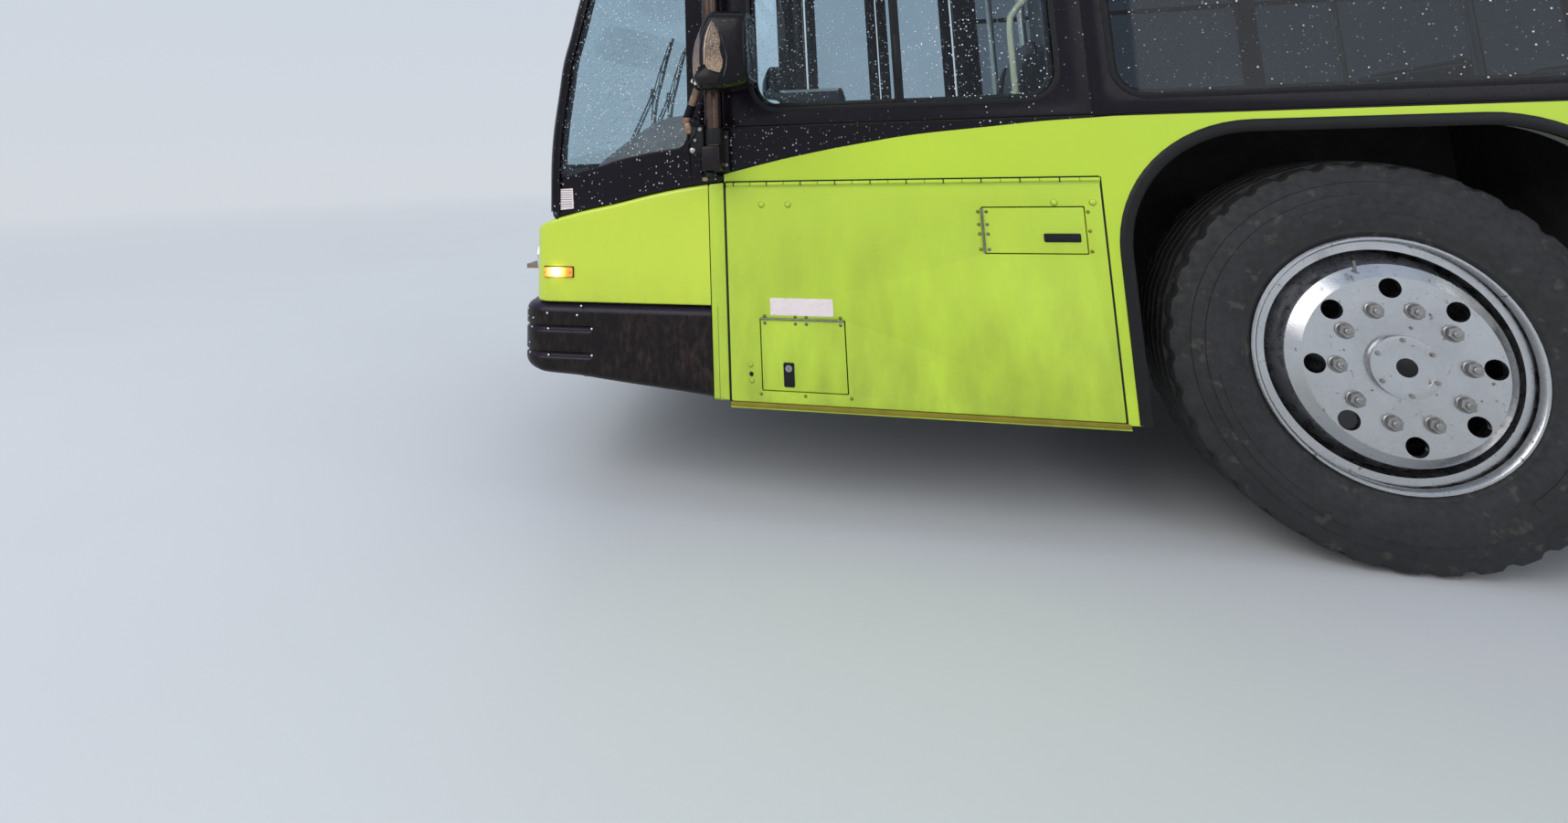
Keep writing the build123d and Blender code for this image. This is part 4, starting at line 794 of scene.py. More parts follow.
# the driver's window has a frame of its own, a little proud of the band
g = Geo()
g.bm(flat_plate([rounded([(4.349, BELT_Z + 0.0015), (5.398, BELT_Z + 0.0015), (5.398, HEAD_Z), (4.349, HEAD_Z)], 0.006, 3),
                 rect(4.426, 5.307, WIN_Z0, WIN_Z1, 0.088, 10)], 0.060, 0.005, 3), 0, side_matrix(1.265))
g.make("driver_window_frame", M["band"], slot="black_paint")
# rounded gaskets and inner frames of every window
gask = Geo()
for s, x0, x1 in WINDOWS + [(1, 4.426, 5.307)]:
    y = s * (1.2925 if (x1 > 5) else 1.2865)
    gask.bm(flat_plate([rect(x0 - 0.0065, x1 + 0.0065, WIN_Z0 - 0.0065, WIN_Z1 + 0.0065, 0.094, 10),
                        rect(x0 + 0.009, x1 - 0.009, WIN_Z0 + 0.009, WIN_Z1 - 0.009, 0.079, 10)], 0.009, 0.003), 0, side_matrix(y))
    gask.bm(flat_plate([rect(x0 - 0.001, x1 + 0.001, WIN_Z0 - 0.001, WIN_Z1 + 0.001, 0.088, 10),
                        rect(x0 + 0.021, x1 - 0.021, WIN_Z0 + 0.021, WIN_Z1 - 0.021, 0.068, 10)], 0.016, 0.003), 1, side_matrix(s * 1.262))
gask.make("window_gaskets", [M["rubber"], M["band"]], slot="black_plastic")
# transom bars of the saloon windows, and the dividing bar and rails of the driver's sliding panes
bars = Geo()
for s, x0, x1 in WINDOWS:
    y0, y1 = sorted((s * 1.268, s * 1.2915))
    if x1 - x0 > 1.0:
        bars.box(x0 + 0.004, x1 - 0.004, y0, y1, 1.840, 1.866, 0.004)
mid = POST_X - 0.538
bars.box(mid - 0.013, mid + 0.013, 1.262, 1.2935, WIN_Z0 + 0.002, WIN_Z1 - 0.002, 0.004)
bars.box(mid - 0.011, mid + 0.009, 1.256, 1.2965, WIN_Z0 + 0.075, WIN_Z0 + 0.215, 0.005)      # finger pull
for z in (WIN_Z0 + 0.004, WIN_Z1 - 0.022):
    bars.box(4.440, 5.293, 1.258, 1.283, z, z + 0.018, 0.003)
bars.make("window_bars", M["rubber"], slot="black_plastic")

g = Geo()
right = [(x0, x1) for s, x0, x1 in WINDOWS if s < 0]
spans = [(-4.800, -2.105), (-1.165, 4.405), (5.345, 5.398)]
for a, b in spans:
    holes = [(x0, x1) for x0, x1 in right if a < x0 and x1 < b]
    g.bm(flat_plate([rect(a, b, BELT_Z + 0.001, HEAD_Z, 0.004, 2)] + pillars(holes, WIN_Z0, WIN_Z1), 0.058, 0.004), 0, side_matrix(-1.266))
for a, b in DOORWAYS:
    g.box(a + 0.001, b - 0.001, -1.295, -1.237, 2.206, HEAD_Z, 0.003)
g.make("right_window_band", M["band"], replaces="right_window_frame", slot="black_paint")

# side glazing: rounded panes in the same planes as the construction's
g = Geo()
for s, x0, x1 in WINDOWS:
    g.bm(flat_plate([rect(x0 + 0.002, x1 - 0.002, WIN_Z0 + 0.002, WIN_Z1 - 0.002, 0.085, 8)], 0.006), 0, side_matrix(s * 1.285))
g.make("saloon_glass", M["glass_dark"], slot="glass")
g = Geo()
g.bm(flat_plate([rounded([(4.428, WIN_Z0 + 0.002), (mid + 0.010, WIN_Z0 + 0.002), (mid + 0.010, WIN_Z1 - 0.002), (4.428, WIN_Z1 - 0.002)],
                         [0.085, 0.0, 0.0, 0.085], 8)], 0.005), 0, side_matrix(1.285))
g.bm(flat_plate([rounded([(mid - 0.010, WIN_Z0 + 0.002), (5.305, WIN_Z0 + 0.002), (5.305, WIN_Z1 - 0.002), (mid - 0.010, WIN_Z1 - 0.002)],
                         [0.0, 0.085, 0.085, 0.0], 8)], 0.005), 0, side_matrix(1.272))
corner_pts = [(0.127, 1.080), (0.238, 1.066), (0.344, 1.046), (0.398, 1.029), (0.458, 1.015), (0.507, 0.999), (0.545, 0.987),
              (0.541, 1.05), (0.536, 1.107), (0.529, 1.19), (0.520, 1.263), (0.508, 1.33), (0.499, 1.368), (0.474, 1.458),
              (0.440, 1.576), (0.208, 2.328), (0.111, 2.328), (0.111, 1.140)]
for s in (1, -1):
    g.bm(flat_plate([[(POST_X + a, z) for a, z in corner_pts]], 0.006), 0, side_matrix(s * 1.2835))
g.make("driver_and_corner_glass", M["glass"], replaces="side_glass", slot="glass")

# ------------------------------------------------------------------ lower left side above the service panel: black paint down to its curved edge
g = Geo()
edge = [(x, smooth_along([(a, z) for a, z in sorted(PAINT_LINE)], x)) for x in [4.250 + i * (5.398 - 4.250) / 44 for i in range(45)]]
g.prism(edge + [(5.398, BELT_Z), (4.250, BELT_Z)], side_place, 1.2940, 1.2958)
g.make("black_paint_area", M["black"], slot="black_paint")
g = Geo()
g.box(4.349, 5.398, 1.2942, 1.2964, BELT_Z - 0.0035, BELT_Z + 0.001, 0.0008)                # dark joint under the driver's frame
g.box(-4.800, 4.345, 1.2925, 1.2958, BELT_Z - 0.003, BELT_Z + 0.0015, 0.0008)
for a, b in ((-4.800, -2.107), (-1.163, 4.403), (5.347, 5.398)):
    g.box(a, b, -1.2962, -1.2930, BELT_Z - 0.003, BELT_Z + 0.0015, 0.0008)
g.box(4.3455, 4.3485, 1.2400, 1.2900, BELT_Z, HEAD_Z)
g.make("belt_joint", M["rubber"], slot="black_plastic")

# ------------------------------------------------------------------ service panel with its two doors
P0, P1, PZ0, PZ1 = 4.352, 5.395, 0.335, 0.952
BD = (5.059, 5.301, 0.370, 0.566)
AD = (4.399, 4.659, 0.762, 0.885)


def dome_spots(geo, spots, y, r, h, mat, ring=None):
    for x, z in spots:
        geo.dome((x, y, z), (0, 1, 0), r, h, 12, mat)
        if ring is not None:                                                                   # painted shadow round the head
            geo.lathe([(0.0, 0.0001), (r * 1.10, 0.0001), (r * 1.08, 0.0004), (0.0, 0.0004)], (x, y, z - r * 0.10), (0, 1, 0), 14, ring)


g = Geo()
g.bm(flat_plate([rect(P0, P1, PZ0, PZ1, 0.004, 2),
                 rect(BD[0] - 0.0030, BD[1] + 0.0030, BD[2] - 0.0030, BD[3] + 0.0030, 0.003, 2),
                 rect(AD[0] - 0.0030, AD[1] + 0.0030, AD[2] - 0.0030, AD[3] + 0.0030, 0.003, 2)], 0.026, 0.002), 0, side_matrix(1.282))
dome_spots(g, [(POST_X - 0.114, 0.899), (POST_X - 0.194, 0.899), (POST_X - 0.928, 0.899), (POST_X - 1.025, 0.899)], 1.2950, 0.0088, 0.0062, 0, 2)
dome_spots(g, [(POST_X - 0.065, 0.412 + 0.026), (POST_X - 0.067, 0.412 - 0.018)], 1.2950, 0.0068, 0.0048, 0, 2)
g.lathe([(0.0065, 0.0), (0.0065, 0.0012), (0.0, 0.0012)], (POST_X - 0.066, 1.2949, 0.412), (0, 1, 0), 14, 1)
pin = []
for x in (BD[0] - 0.010, BD[0] + 0.120, BD[1] + 0.006):
    pin.append((x, BD[2] - 0.011))
for x in (BD[0] + 0.010, BD[0] + 0.108, BD[0] + 0.140, BD[1] - 0.012):
    pin.append((x, BD[3] + 0.0105))
for z in (AD[2] + 0.010, AD[2] + 0.052, AD[2] + 0.078, AD[3] - 0.010):
    pin.append((AD[1] + 0.0125, z))
for z in (AD[2] + 0.006, AD[2] + 0.060, AD[3] - 0.012):
    pin.append((AD[0] - 0.010, z))
dome_spots(g, pin, 1.2950, 0.0044, 0.0030, 2, 1)
# the turned-in lower edge is in the lime darkened as painted shade
g.box(P0 + 0.012, P1 - 0.012, 1.262, 1.2690, PZ0 + 0.006, PZ0 + 0.030, 0.002)                  # turned-in lower edge
# long hinge: leaf and knuckles in turn
g.box(P0, P1 - 0.003, 1.2952, 1.2966, PZ1 - 0.003, 0.9565, 0.0004)
k = P0
while k < P1 - 0.004:
    e = min(k + 0.0508, P1 - 0.003)
    g.lathe([(0.0, 0.0006), (0.0052, 0.0008), (0.0054, 0.0016), (0.0054, e - k - 0.0016), (0.0052, e - k - 0.0008), (0.0, e - k - 0.0006)],
            (k, 1.3006, 0.9605), (1, 0, 0), 14, 0)
    if k > P0 and round((k - P0) / 0.0508) % 2 == 0:
        g.box(k - 0.0013, k + 0.0013, 1.2950, 1.3064, 0.9545, 0.9668, 0.0, 1)
    k = e
g.make("service_panel_skin", [M["lime"], M["rubber"], M["lime_dull"]], "service_panel", "service_panel", "lime_paint")
# dark lines: over and under the hinge, behind the panel's edges
g = Geo()
g.box(P0, P1, 1.2940, 1.2966, 0.9660, 0.9698, 0.0006)
g.box(P1 + 0.0005, POST_X + 0.0015, 1.2600, 1.2925, 0.333, 0.967)
g.box(P0 - 0.0045, P0 - 0.0005, 1.2600, 1.2925, 0.333, 0.967)
g.make("panel_joint", M["rubber"], slot="black_plastic")

for nm, (x0, x1, z0, z1), hinge in (("battery_door", BD, "top"), ("access_door", AD, "front")):
    g = Geo()
    g.bm(flat_plate([rect(x0, x1, z0, z1, 0.003, 2)], 0.0088, 0.0012), 0, side_matrix(1.2902))
    if hinge == "top":
        k = x0
        while k < x1 - 0.002:
            e = min(k + 0.0242, x1)
            g.lathe([(0.0, 0.0005), (0.0030, 0.0007), (0.0030, e - k - 0.0007), (0.0, e - k - 0.0005)], (k, 1.2985, z1 + 0.003), (1, 0, 0), 10, 1)
            k = e
        g.box(x0, x1, 1.2948, 1.2960, z1 - 0.0005, z1 + 0.0012, 0.0, 1)
        dome_spots(g, [(x, z1 - 0.0095) for x in (x0 + 0.010, x0 + 0.108, x0 + 0.140, x1 - 0.012)], 1.2950, 0.0042, 0.0022, 1, 2)
        lx0, lx1, lz0, lz1 = POST_X - 0.192, POST_X - 0.161, 0.381, 0.448
        g.bm(flat_plate([rect(lx0, lx1, lz0, lz1, 0.004, 4)], 0.0036, 0.0010), 2, side_matrix(1.2962))
        g.lathe([(0.0098, 0.0), (0.0098, 0.0030), (0.0088, 0.0040), (0.0, 0.0040)], ((lx0 + lx1) / 2, 1.2976, lz1 - 0.0155), (0, 1, 0), 20, 3)
        g.box((lx0 + lx1) / 2 - 0.0008, (lx0 + lx1) / 2 + 0.0008, 1.3012, 1.3019, lz1 - 0.0205, lz1 - 0.0105, 0, 2)
        g.box(lx0 + 0.0045, lx1 - 0.0045, 1.2975, 1.2992, lz0 + 0.005, lz0 + 0.034, 0.0012, 2)
    else:
        k = z0
        while k < z1 - 0.002:
            e = min(k + 0.0246, z1)
            g.lathe([(0.0, 0.0005), (0.0030, 0.0007), (0.0030, e - k - 0.0007), (0.0, e - k - 0.0005)], (x1 + 0.003, 1.2985, k), (0, 0, 1), 10, 1)
            k = e
        g.box(x1 - 0.0005, x1 + 0.0012, 1.2948, 1.2960, z0, z1, 0.0, 1)
        dome_spots(g, [(x1 - 0.0095, z) for z in (z0 + 0.010, z0 + 0.052, z0 + 0.078, z1 - 0.010)], 1.2950, 0.0042, 0.0022, 1, 2)
        lx0, lx1, lz0, lz1 = POST_X - 0.987, POST_X - 0.894, 0.792, 0.815
        g.bm(flat_plate([rect(lx0, lx1, lz0, lz1, 0.004, 4)], 0.0036, 0.0010), 2, side_matrix(1.2962))
        g.bm(flat_plate([rect(lx0 + 0.006, lx1 - 0.030, lz0 + 0.005, lz1 - 0.005, 0.003, 3)], 0.0022, 0.0006), 2, side_matrix(1.2986))
        g.lathe([(0.0072, 0.0), (0.0072, 0.0022), (0.0, 0.0022)], (lx1 - 0.015, 1.2978, (lz0 + lz1) / 2), (0, 1, 0), 16, 2)
    g.make(nm + "_skin", [M["lime"], M["hinge"], M["rubber"], M["steel"]], nm, nm, "lime_paint")
g = Geo()
g.bm(flat_plate([rect(POST_X - 0.312, POST_X - 0.129, 0.579, 0.628, 0.002, 2)], 0.0010, 0.0002), 0, side_matrix(1.2954))
g.make("blank_label", [M["label"]], "service_panel", slot="lime_paint")

# lip under the service panel and along the sill, in lime darkened as painted shade
g = Geo()
g.box(4.340, 5.398, 1.262, 1.2962, 0.3195, 0.3335, 0.003)
g.make("sill_lip", M["lime_dull"], slot="lime_paint")

# ------------------------------------------------------------------ front post strip and cap
cap_top = lambda lead: smooth_along(CAP_EDGE[:-1] + [(0.66, 0.834), (0.90, 0.834)], lead) if lead < 0.66 else 0.834
path = plan_path(0.640, 0.760, HALF_W, 0.065, POST_X + 0.0505, n_side=22)
rings = shell_round(path, lambda lead: 0.601, cap_top, 0.050, 0.011, 0.006, 4)
g = Geo()
g.rings(rings)
cap = g.make("front_cap_shell", M["lime_cap"], replaces="front_cap", slot="lime_paint", smooth=40)
# headlamp bays cut in its front
cut = Geo()
for s in (-1, 1):
    cut.prism(rounded([(s * 0.930 - 0.215, 0.640), (s * 0.930 + 0.215, 0.640), (s * 0.930 + 0.215, 0.772), (s * 0.930 - 0.215, 0.772)], 0.05, 6),
              cross_place, 5.90, 6.30)
bay = cut.make("bay_cutter", M["lime"])
mod = cap.modifiers.new("bays", "BOOLEAN")
mod.operation, mod.object, mod.solver = "DIFFERENCE", bay, "EXACT"
bpy.context.view_layer.update()
done = bpy.data.meshes.new_from_object(cap.evaluated_get(bpy.context.evaluated_depsgraph_get()))
cap.modifiers.clear()
cap.data = done
for p in cap.data.polygons:
    p.use_smooth = True
cap.data.set_sharp_from_angle(angle=math.radians(40))
bpy.data.objects.remove(bay)

g = Geo()
for s in (1, -1):
    y = s * 1.2705
    zt = [(POST_X + 0.0005, 0.9665), (POST_X + 0.0485, 0.9615)]
    g.bm(flat_plate([rounded([(POST_X + 0.0015, 0.335), (POST_X + 0.0485, 0.335), (POST_X + 0.0485, 0.9605), (POST_X + 0.0015, 0.9655)],
                             [0.002, 0.002, 0.008, 0.004], 3)], 0.049, 0.0035, 3), 0, side_matrix(y))
g.make("front_post_strips", M["lime"], slot="lime_paint")
g = Geo()
for s in (1, -1):
    y0, y1 = sorted((s * 1.250, s * 1.2935))
    g.box(POST_X + 0.0485, POST_X + 0.0508, y0, y1, 0.336, 0.960)
    y0, y1 = sorted((s * 1.2945, s * 1.2953))
    g.box(POST_X + 0.0292, POST_X + 0.0302, y0, y1, 0.338, 0.600)
g.make("post_seams", M["rubber"], slot="black_plastic")

# black surround under the windshield
glass_low = lambda lead: along(GLASS_EDGE, lead)
path = plan_path(0.586, 0.706, 1.2895, 0.060, POST_X + 0.0015, n_side=30)
rings = shell_round(path, lambda lead: cap_top(lead) + 0.0025 if lead < 0.62 else 0.8365, glass_low, 0.050, 0.003, 0.002, 3)
g = Geo()
g.rings(rings)
g.make("windshield_surround", M["black"], replaces="front_surround", slot="black_paint", smooth=40)
# raised bead at the corner, turning back under the sticker
bead = [(POST_X + 0.5285, 1.2902, 0.8555), (POST_X + 0.5500, 1.2902, 0.8560), (POST_X + 0.5655, 1.2902, 0.8680), (POST_X + 0.5700, 1.2900, 0.8900),
        (POST_X + 0.5710, 1.2897, 0.9300), (POST_X + 0.5712, 1.2893, 0.9880)]
g = Geo()
g.tube(bead, [0.0012, 0.0026, 0.0028, 0.0028, 0.0028, 0.0028], 8)
g.tube([(x, -y, z) for x, y, z in bead], 0.0028, 8)
g.make("corner_bead", M["band"], slot="black_paint")
g = Geo()
g.bm(flat_plate([[(POST_X + 0.4975, 0.8905), (POST_X + 0.5450, 0.8860), (POST_X + 0.5490, 0.9520), (POST_X + 0.5015, 0.9545)]], 0.0008, 0.0001), 0, side_matrix(1.2900))
for i in range(8):
    z = 0.896 + i * 0.0073
    g.box(POST_X + 0.5035, POST_X + 0.5430, 1.2903, 1.2906, z, z + 0.0022, 0, 1)
g.make("plain_sticker", [M["label"], M["ink"]], slot="black_paint")

# corner posts: beaded band between the corner glass and the windshield
def post_ring(z, s):
    xc = POST_X + smooth_along(CORNER_LINE, z)
    sec = [(-0.045, 1.262), (-0.045, 1.2905), (-0.0425, 1.2945), (-0.0395, 1.2948), (-0.0365, 1.2925), (-0.0340, 1.2910), (-0.0300, 1.2915),
           (-0.0275, 1.2935), (-0.0235, 1.2940), (-0.0170, 1.2905), (-0.0095, 1.2835), (-0.0040, 1.2750), (-0.0008, 1.2650), (0.0000, 1.2560),
           (-0.0012, 1.2520), (-0.0010, 1.2475), (0.0012, 1.2440), (0.0015, 1.2400), (-0.0010, 1.2365), (-0.012, 1.2350), (-0.044, 1.2350)]
    return [Vector((xc + a, s * y, z)) for a, y in sec]


g = Geo()
levels = [0.880 + i * (2.332 - 0.880) / 44 for i in range(45)]
for s in (1, -1):
    g.rings([post_ring(z, s) for z in levels])
    y0, y1 = sorted((s * 1.236, s * 1.2925))
    g.box(POST_X + 0.0015, POST_X + 0.1115, y0, y1, BELT_Z, 2.332, 0.004)
g.make("corner_post_shells", M["black"], replaces="corner_posts", slot="black_paint", smooth=50)


# windshield: one bowed pane
def screen_ring(z, inset):
    xc = POST_X + smooth_along(CORNER_LINE, z) - inset
    bow = 0.120
    big = (1.233 ** 2 + bow * bow) / (2 * bow)
    return [Vector((xc + bow - big + math.sqrt(big * big - y * y), y, z)) for y in [1.233 * (1 - 2 * i / 40) for i in range(41)]]


rings = []
zs = [0.984 + i * (2.333 - 0.984) / 30 for i in range(31)]
for z in zs:
    rings.append(screen_ring(z, 0.002) + list(reversed(screen_ring(z, 0.009))))
g = Geo()
g.rings(rings)
g.make("windshield_pane", M["glass_screen"], replaces="windshield", slot="glass", smooth=50)
# dark border printed round the edge of the pane
g = Geo()
for z0, z1 in ((0.984, 1.030), (2.262, 2.333)):
    rows = []
    for i in range(5):
        z = z0 + (z1 - z0) * i / 4
        rows.append(screen_ring(z, 0.0011) + list(reversed(screen_ring(z, 0.0030))))
    g.rings(rows)
for s in (1, -1):
    rows = []
    for z in zs:
        xc = POST_X + smooth_along(CORNER_LINE, z)
        ring = []
        for inset in (0.0011, 0.0095):
            pts = []
            for k in range(4):
                y = 1.234 - k * 0.011
                big = (1.233 ** 2 + 0.0144) / 0.24
                pts.append(Vector((xc - inset + 0.120 - big + math.sqrt(big * big - y * y), s * y, z)))
            ring += pts if inset < 0.005 else list(reversed(pts))
        rows.append(ring)
    g.rings(rows)
g.make("windshield_border", M["black"], slot="glass")


# ------------------------------------------------------------------ front bumper
def streaked(name, dark, light, painted_sheen):
    """Moulded bumper skin: dried rain streaks down its faces, a painted bluish sheen (painted reflection) on what faces
    up, a few drops.
    """
    t = Tree(name)
    p = principled(t, 0.40, coat=0.08, coat_rough=0.06, spec=0.18)
    run = t.noise(58.0, 6.0, 0.68, t.stretch(1.0, 1.0, 0.40))
    cloud = t.noise(6.0, 4.0, 0.6)
    fine = t.noise(230.0, 4.0, 0.65, t.stretch(1.0, 1.0, 0.5))
    amount = t.math("MULTIPLY", t.span(run, 0.44, 0.66), t.span(cloud, 0.32, 0.62), clamp=True)
    amount = t.math("MULTIPLY", amount, t.span(fine, 0.35, 0.6, 0.55, 1.0), clamp=True)
    colour = t.mix(amount, dark, light)
    geo = t.node("ShaderNodeNewGeometry")
    sep = t.node("ShaderNodeSeparateXYZ")
    t.link(geo.outputs["Normal"], sep.inputs[0])
    # painted sheen: faces turned upward tinted bluish in the base colour, a painted reflection
    colour = t.mix(t.math("MULTIPLY", t.span(sep.outputs[2], 0.15, 0.75), 0.85), colour, painted_sheen)
    t.link(colour, p.inputs["Base Color"])
    t.link(t.span(run, 0.35, 0.7, 0.26, 0.50), p.inputs["Roughness"])
    drop = t.drops(105.0, 0.30, 0.16)
    n = t.bump([(fine, 0.00025), (cloud, 0.0012), (drop, 0.0013)])
    t.link(n, p.inputs["Normal"])
    t.link(n, p.inputs["Coat Normal"])
    return t.mat


M["bumper"] = streaked("bumper_moulding_streaked", srgb(15, 9, 10), srgb(62, 46, 40), srgb(38, 31, 52))
M["bumper_groove"] = surface("bumper_groove_bottom", srgb(16, 12, 14), 0.35, coat=0.3, var=0.3, scale=40.0, bumps=[(300.0, 3.0, 0.0002)])
use("rear_bumper", M["bumper"])
if "rear_frame" in nodes:
    use("rear_frame", M["chassis"])

GROOVES = (0.522, 0.443)
GROOVE_END = 0.431


def bumper_push(lead, p, z):
    deep = 0.0
    for gz in GROOVES:
        d = abs(z - gz)
        if d < 0.0075 and lead > GROOVE_END:
            fade = min(1.0, (lead - GROOVE_END) / 0.012)
            deep = max(deep, 0.0065 * fade * (1.0 - (d / 0.0075) ** 2) ** 0.5)
    swell = 0.0
    return -deep + swell


lev = []
z = 0.455 - 0.12
for gz in sorted(GROOVES):
    for d in (-0.020, -0.0085, -0.0072, -0.0055, -0.0028, 0.0, 0.0028, 0.0055, 0.0072, 0.0085, 0.020):
        lev.append(gz + d)
lev += [0.405, 0.415, 0.482, 0.552]
lev = sorted(set(round(v, 5) for v in lev))
path = plan_path(0.690, 0.825, HALF_W, 0.095, POST_X + 0.0520, n_arc=16, n_front=48, n_side=46)
# extra stations where the grooves begin
more = []
for s in (1, -1):
    for lead in (GROOVE_END - 0.001, GROOVE_END + 0.001, GROOVE_END + 0.004, GROOVE_END + 0.008, GROOVE_END + 0.012):
        more.append((Vector((POST_X + lead, s * HALF_W, 0)), Vector((0, s, 0))))
left_run = sorted([q for q in path[:46]] + more[:5], key=lambda q: q[0].x)
right_run = sorted([q for q in path[-46:]] + more[5:], key=lambda q: -q[0].x)
path = left_run + path[46:-46] + right_run
rings = shell_round(path, lambda lead: smooth_along(BUMPER_EDGE, lead), lambda lead: 0.5945, 0.060, 0.030, 0.034, 6, (bumper_push, lev))
g = Geo()
g.rings(rings)
g.make("front_bumper_skin", M["bumper"], replaces="front_bumper", slot="bumper", smooth=60)
# fixings: end plates at the posts and a row of bolt heads across the bumper's face
g = Geo()
for s in (1, -1):
    y0, y1 = sorted((s * 1.225, s * 1.286))
    g.box(POST_X + 0.0540, POST_X + 0.0610, y0, y1, 0.352, 0.586, 0.002)
for y in (-1.02, -0.55, 0.0, 0.55, 1.02):
    big = (1.200 ** 2 + 0.135 ** 2) / 0.27
    g.dome((POST_X + 0.690 + 0.135 - big + math.sqrt(big * big - y * y) - 0.0005, y, 0.5575), (1, 0, 0.1), 0.010, 0.004, 12, 0)
g.make("bumper_fixings", [M["rubber"]], slot="bumper")
# splash guard under the bumper, set back
path = plan_path(0.560, 0.720, 1.215, 0.085, POST_X + 0.080, n_arc=10, n_front=30, n_side=12)
rings = shell_round(path, lambda lead: smooth_along(BUMPER_EDGE, lead + 0.03) - 0.004, lambda lead: 0.470, 0.010, 0.002, 0.004, 2)
g = Geo()
g.rings(rings)
g.make("bumper_backing", M["rubber"], slot="chassis")

# rack brackets: pads with rounded edges at the bumper's face
g = Geo()
for s in (1, -1):
    for a, b in ((0.640, 0.680),):
        y0, y1 = sorted((s * a, s * b))
        g.box(6.196, 6.252, y0 + 0.0035, y1 - 0.0035, 0.6165, 0.6455, 0.004)
g.make("rack_bracket_pads", M["shell_worn"], slot="chassis")
# flat bar that lies across the two brackets, its ends past the cap's corners
g = Geo()
g.box(6.1960, 6.2560, -0.892, 0.892, 0.6502, 0.6600, 0.0015, 0)
for s in (1, -1):
    y0, y1 = sorted((s * 0.8915, s * 0.8930))
    g.box(6.1970, 6.2555, y0, y1, 0.6440, 0.6604, 0.0005, 1)
    for x in (6.212, 6.240):
        g.hexnut((x, s * 0.660, 0.6600), (0, 0, 1), 0.0080, 0.0055, 2)
g.make("rack_cross_bar", [M["tube"], M["shell_worn"], M["hinge"]], slot="chassis")

# ------------------------------------------------------------------ lamps
g = Geo()
for s in (1, -1):
    cx0 = POST_X + 0.535
    # side marker: base plate, amber lens with ribs, two screws
    y0 = s * 1.2952
    yb = sorted((s * 1.2935, s * 1.2972))
    g.box(cx0 - 0.0410, cx0 + 0.0630, *sorted((s * 1.2860, s * 1.2972)), 0.6755, 0.7105, 0.0025, 1)
    yb = sorted((s * 1.2965, s * 1.3075))
    g.box(cx0 - 0.0385, cx0 + 0.0605, yb[0], yb[1], 0.6780, 0.7080, 0.0050, 0, 3)
    for k in range(-6, 12):
        yb = sorted((s * 1.3070, s * 1.3085))
        g.box(cx0 + k * 0.0045 - 0.0009, cx0 + k * 0.0045 + 0.0009, yb[0], yb[1], 0.6835, 0.7025, 0.0004, 0, 1)
    for k in (-0.0325, 0.0545):
        g.dome((cx0 + k, s * 1.3072, 0.693), (0, s, 0), 0.0028, 0.0012, 8, 2)
side_markers = g.make("side_marker_lamps", [M["amber_on"], M["rubber"], M["hinge"]], slot="lamp")

M["lamp_bowl"] = surface("lamp_reflector", srgb(214, 216, 220), 0.10, metal=1.0, var=0.05, scale=20.0, rough_var=0.05, bumps=[(60.0, 1.0, 0.0008)])
lens = Geo()
for s in (1, -1):
    for x, y in ((6.070, 1.010), (6.090, 0.840)):
        c = (x - 0.055, s * y, 0.705)
        # can and bezel, reflector bowl, bulb, front glass
        lens.lathe([(0.030, 0.0), (0.058, 0.018), (0.069, 0.060), (0.0700, 0.098), (0.0700, 0.109), (0.0625, 0.1095), (0.0615, 0.1020), (0.0605, 0.094),
                    (0.052, 0.060), (0.036, 0.034), (0.016, 0.022), (0.0, 0.021)], c, (1, 0, 0), 36, 1)
        lens.lathe([(0.0, 0.022), (0.0085, 0.024), (0.0095, 0.050), (0.006, 0.060), (0.0, 0.062)], c, (1, 0, 0), 16, 2)
        lens.lathe([(0.0, 0.1000), (0.0610, 0.0985), (0.0615, 0.1015), (0.050, 0.1068), (0.030, 0.1092), (0.0, 0.1098)], c, (1, 0, 0), 36, 0)
lens.make("headlamps", [M["glass_lens"] if "glass_lens" in M else M["glass"], M["lamp_bowl"], M["clear_lens"]], replaces="lamps", slot="lamp")
M["bay"] = surface("lamp_bay", srgb(30, 30, 33), 0.35, coat=0.3, var=0.2, scale=12.0, bumps=[(200.0, 3.0, 0.0001)])
g = Geo()
for s in (1, -1):
    # bay liner with two bores behind the opening in the cap, amber turn lamp outboard on the corner
    loops = [rounded([(s * 0.930 - 0.222, 0.632), (s * 0.930 + 0.222, 0.632), (s * 0.930 + 0.222, 0.780), (s * 0.930 - 0.222, 0.780)], 0.05, 6)]
    for y in (1.010, 0.840):
        loops.append([(s * y + 0.0715 * math.cos(a), 0.705 + 0.0715 * math.sin(a)) for a in (2 * math.pi * k / 32 for k in range(32))])
    m = Matrix.Translation((6.088, 0, 0)) @ Matrix.Rotation(0.0, 4, "Z") @ cross_matrix(0)
    b = flat_plate(loops, 0.012, 0.001)
    # follow the curve of the cap a little
    for v in b.verts:
        y, z, d = v.co.x, v.co.y, v.co.z
        v.co = Vector((y, z, d + 0.120 * (1 - (y / 1.23) ** 2) - 0.0592))
    g.bm(b, 0, Matrix(((0, 0, 1, 6.040), (1, 0, 0, 0), (0, 1, 0, 0), (0, 0, 0, 1))))
g.make("headlamp_bays", M["bay"], slot="lamp")
g = Geo()
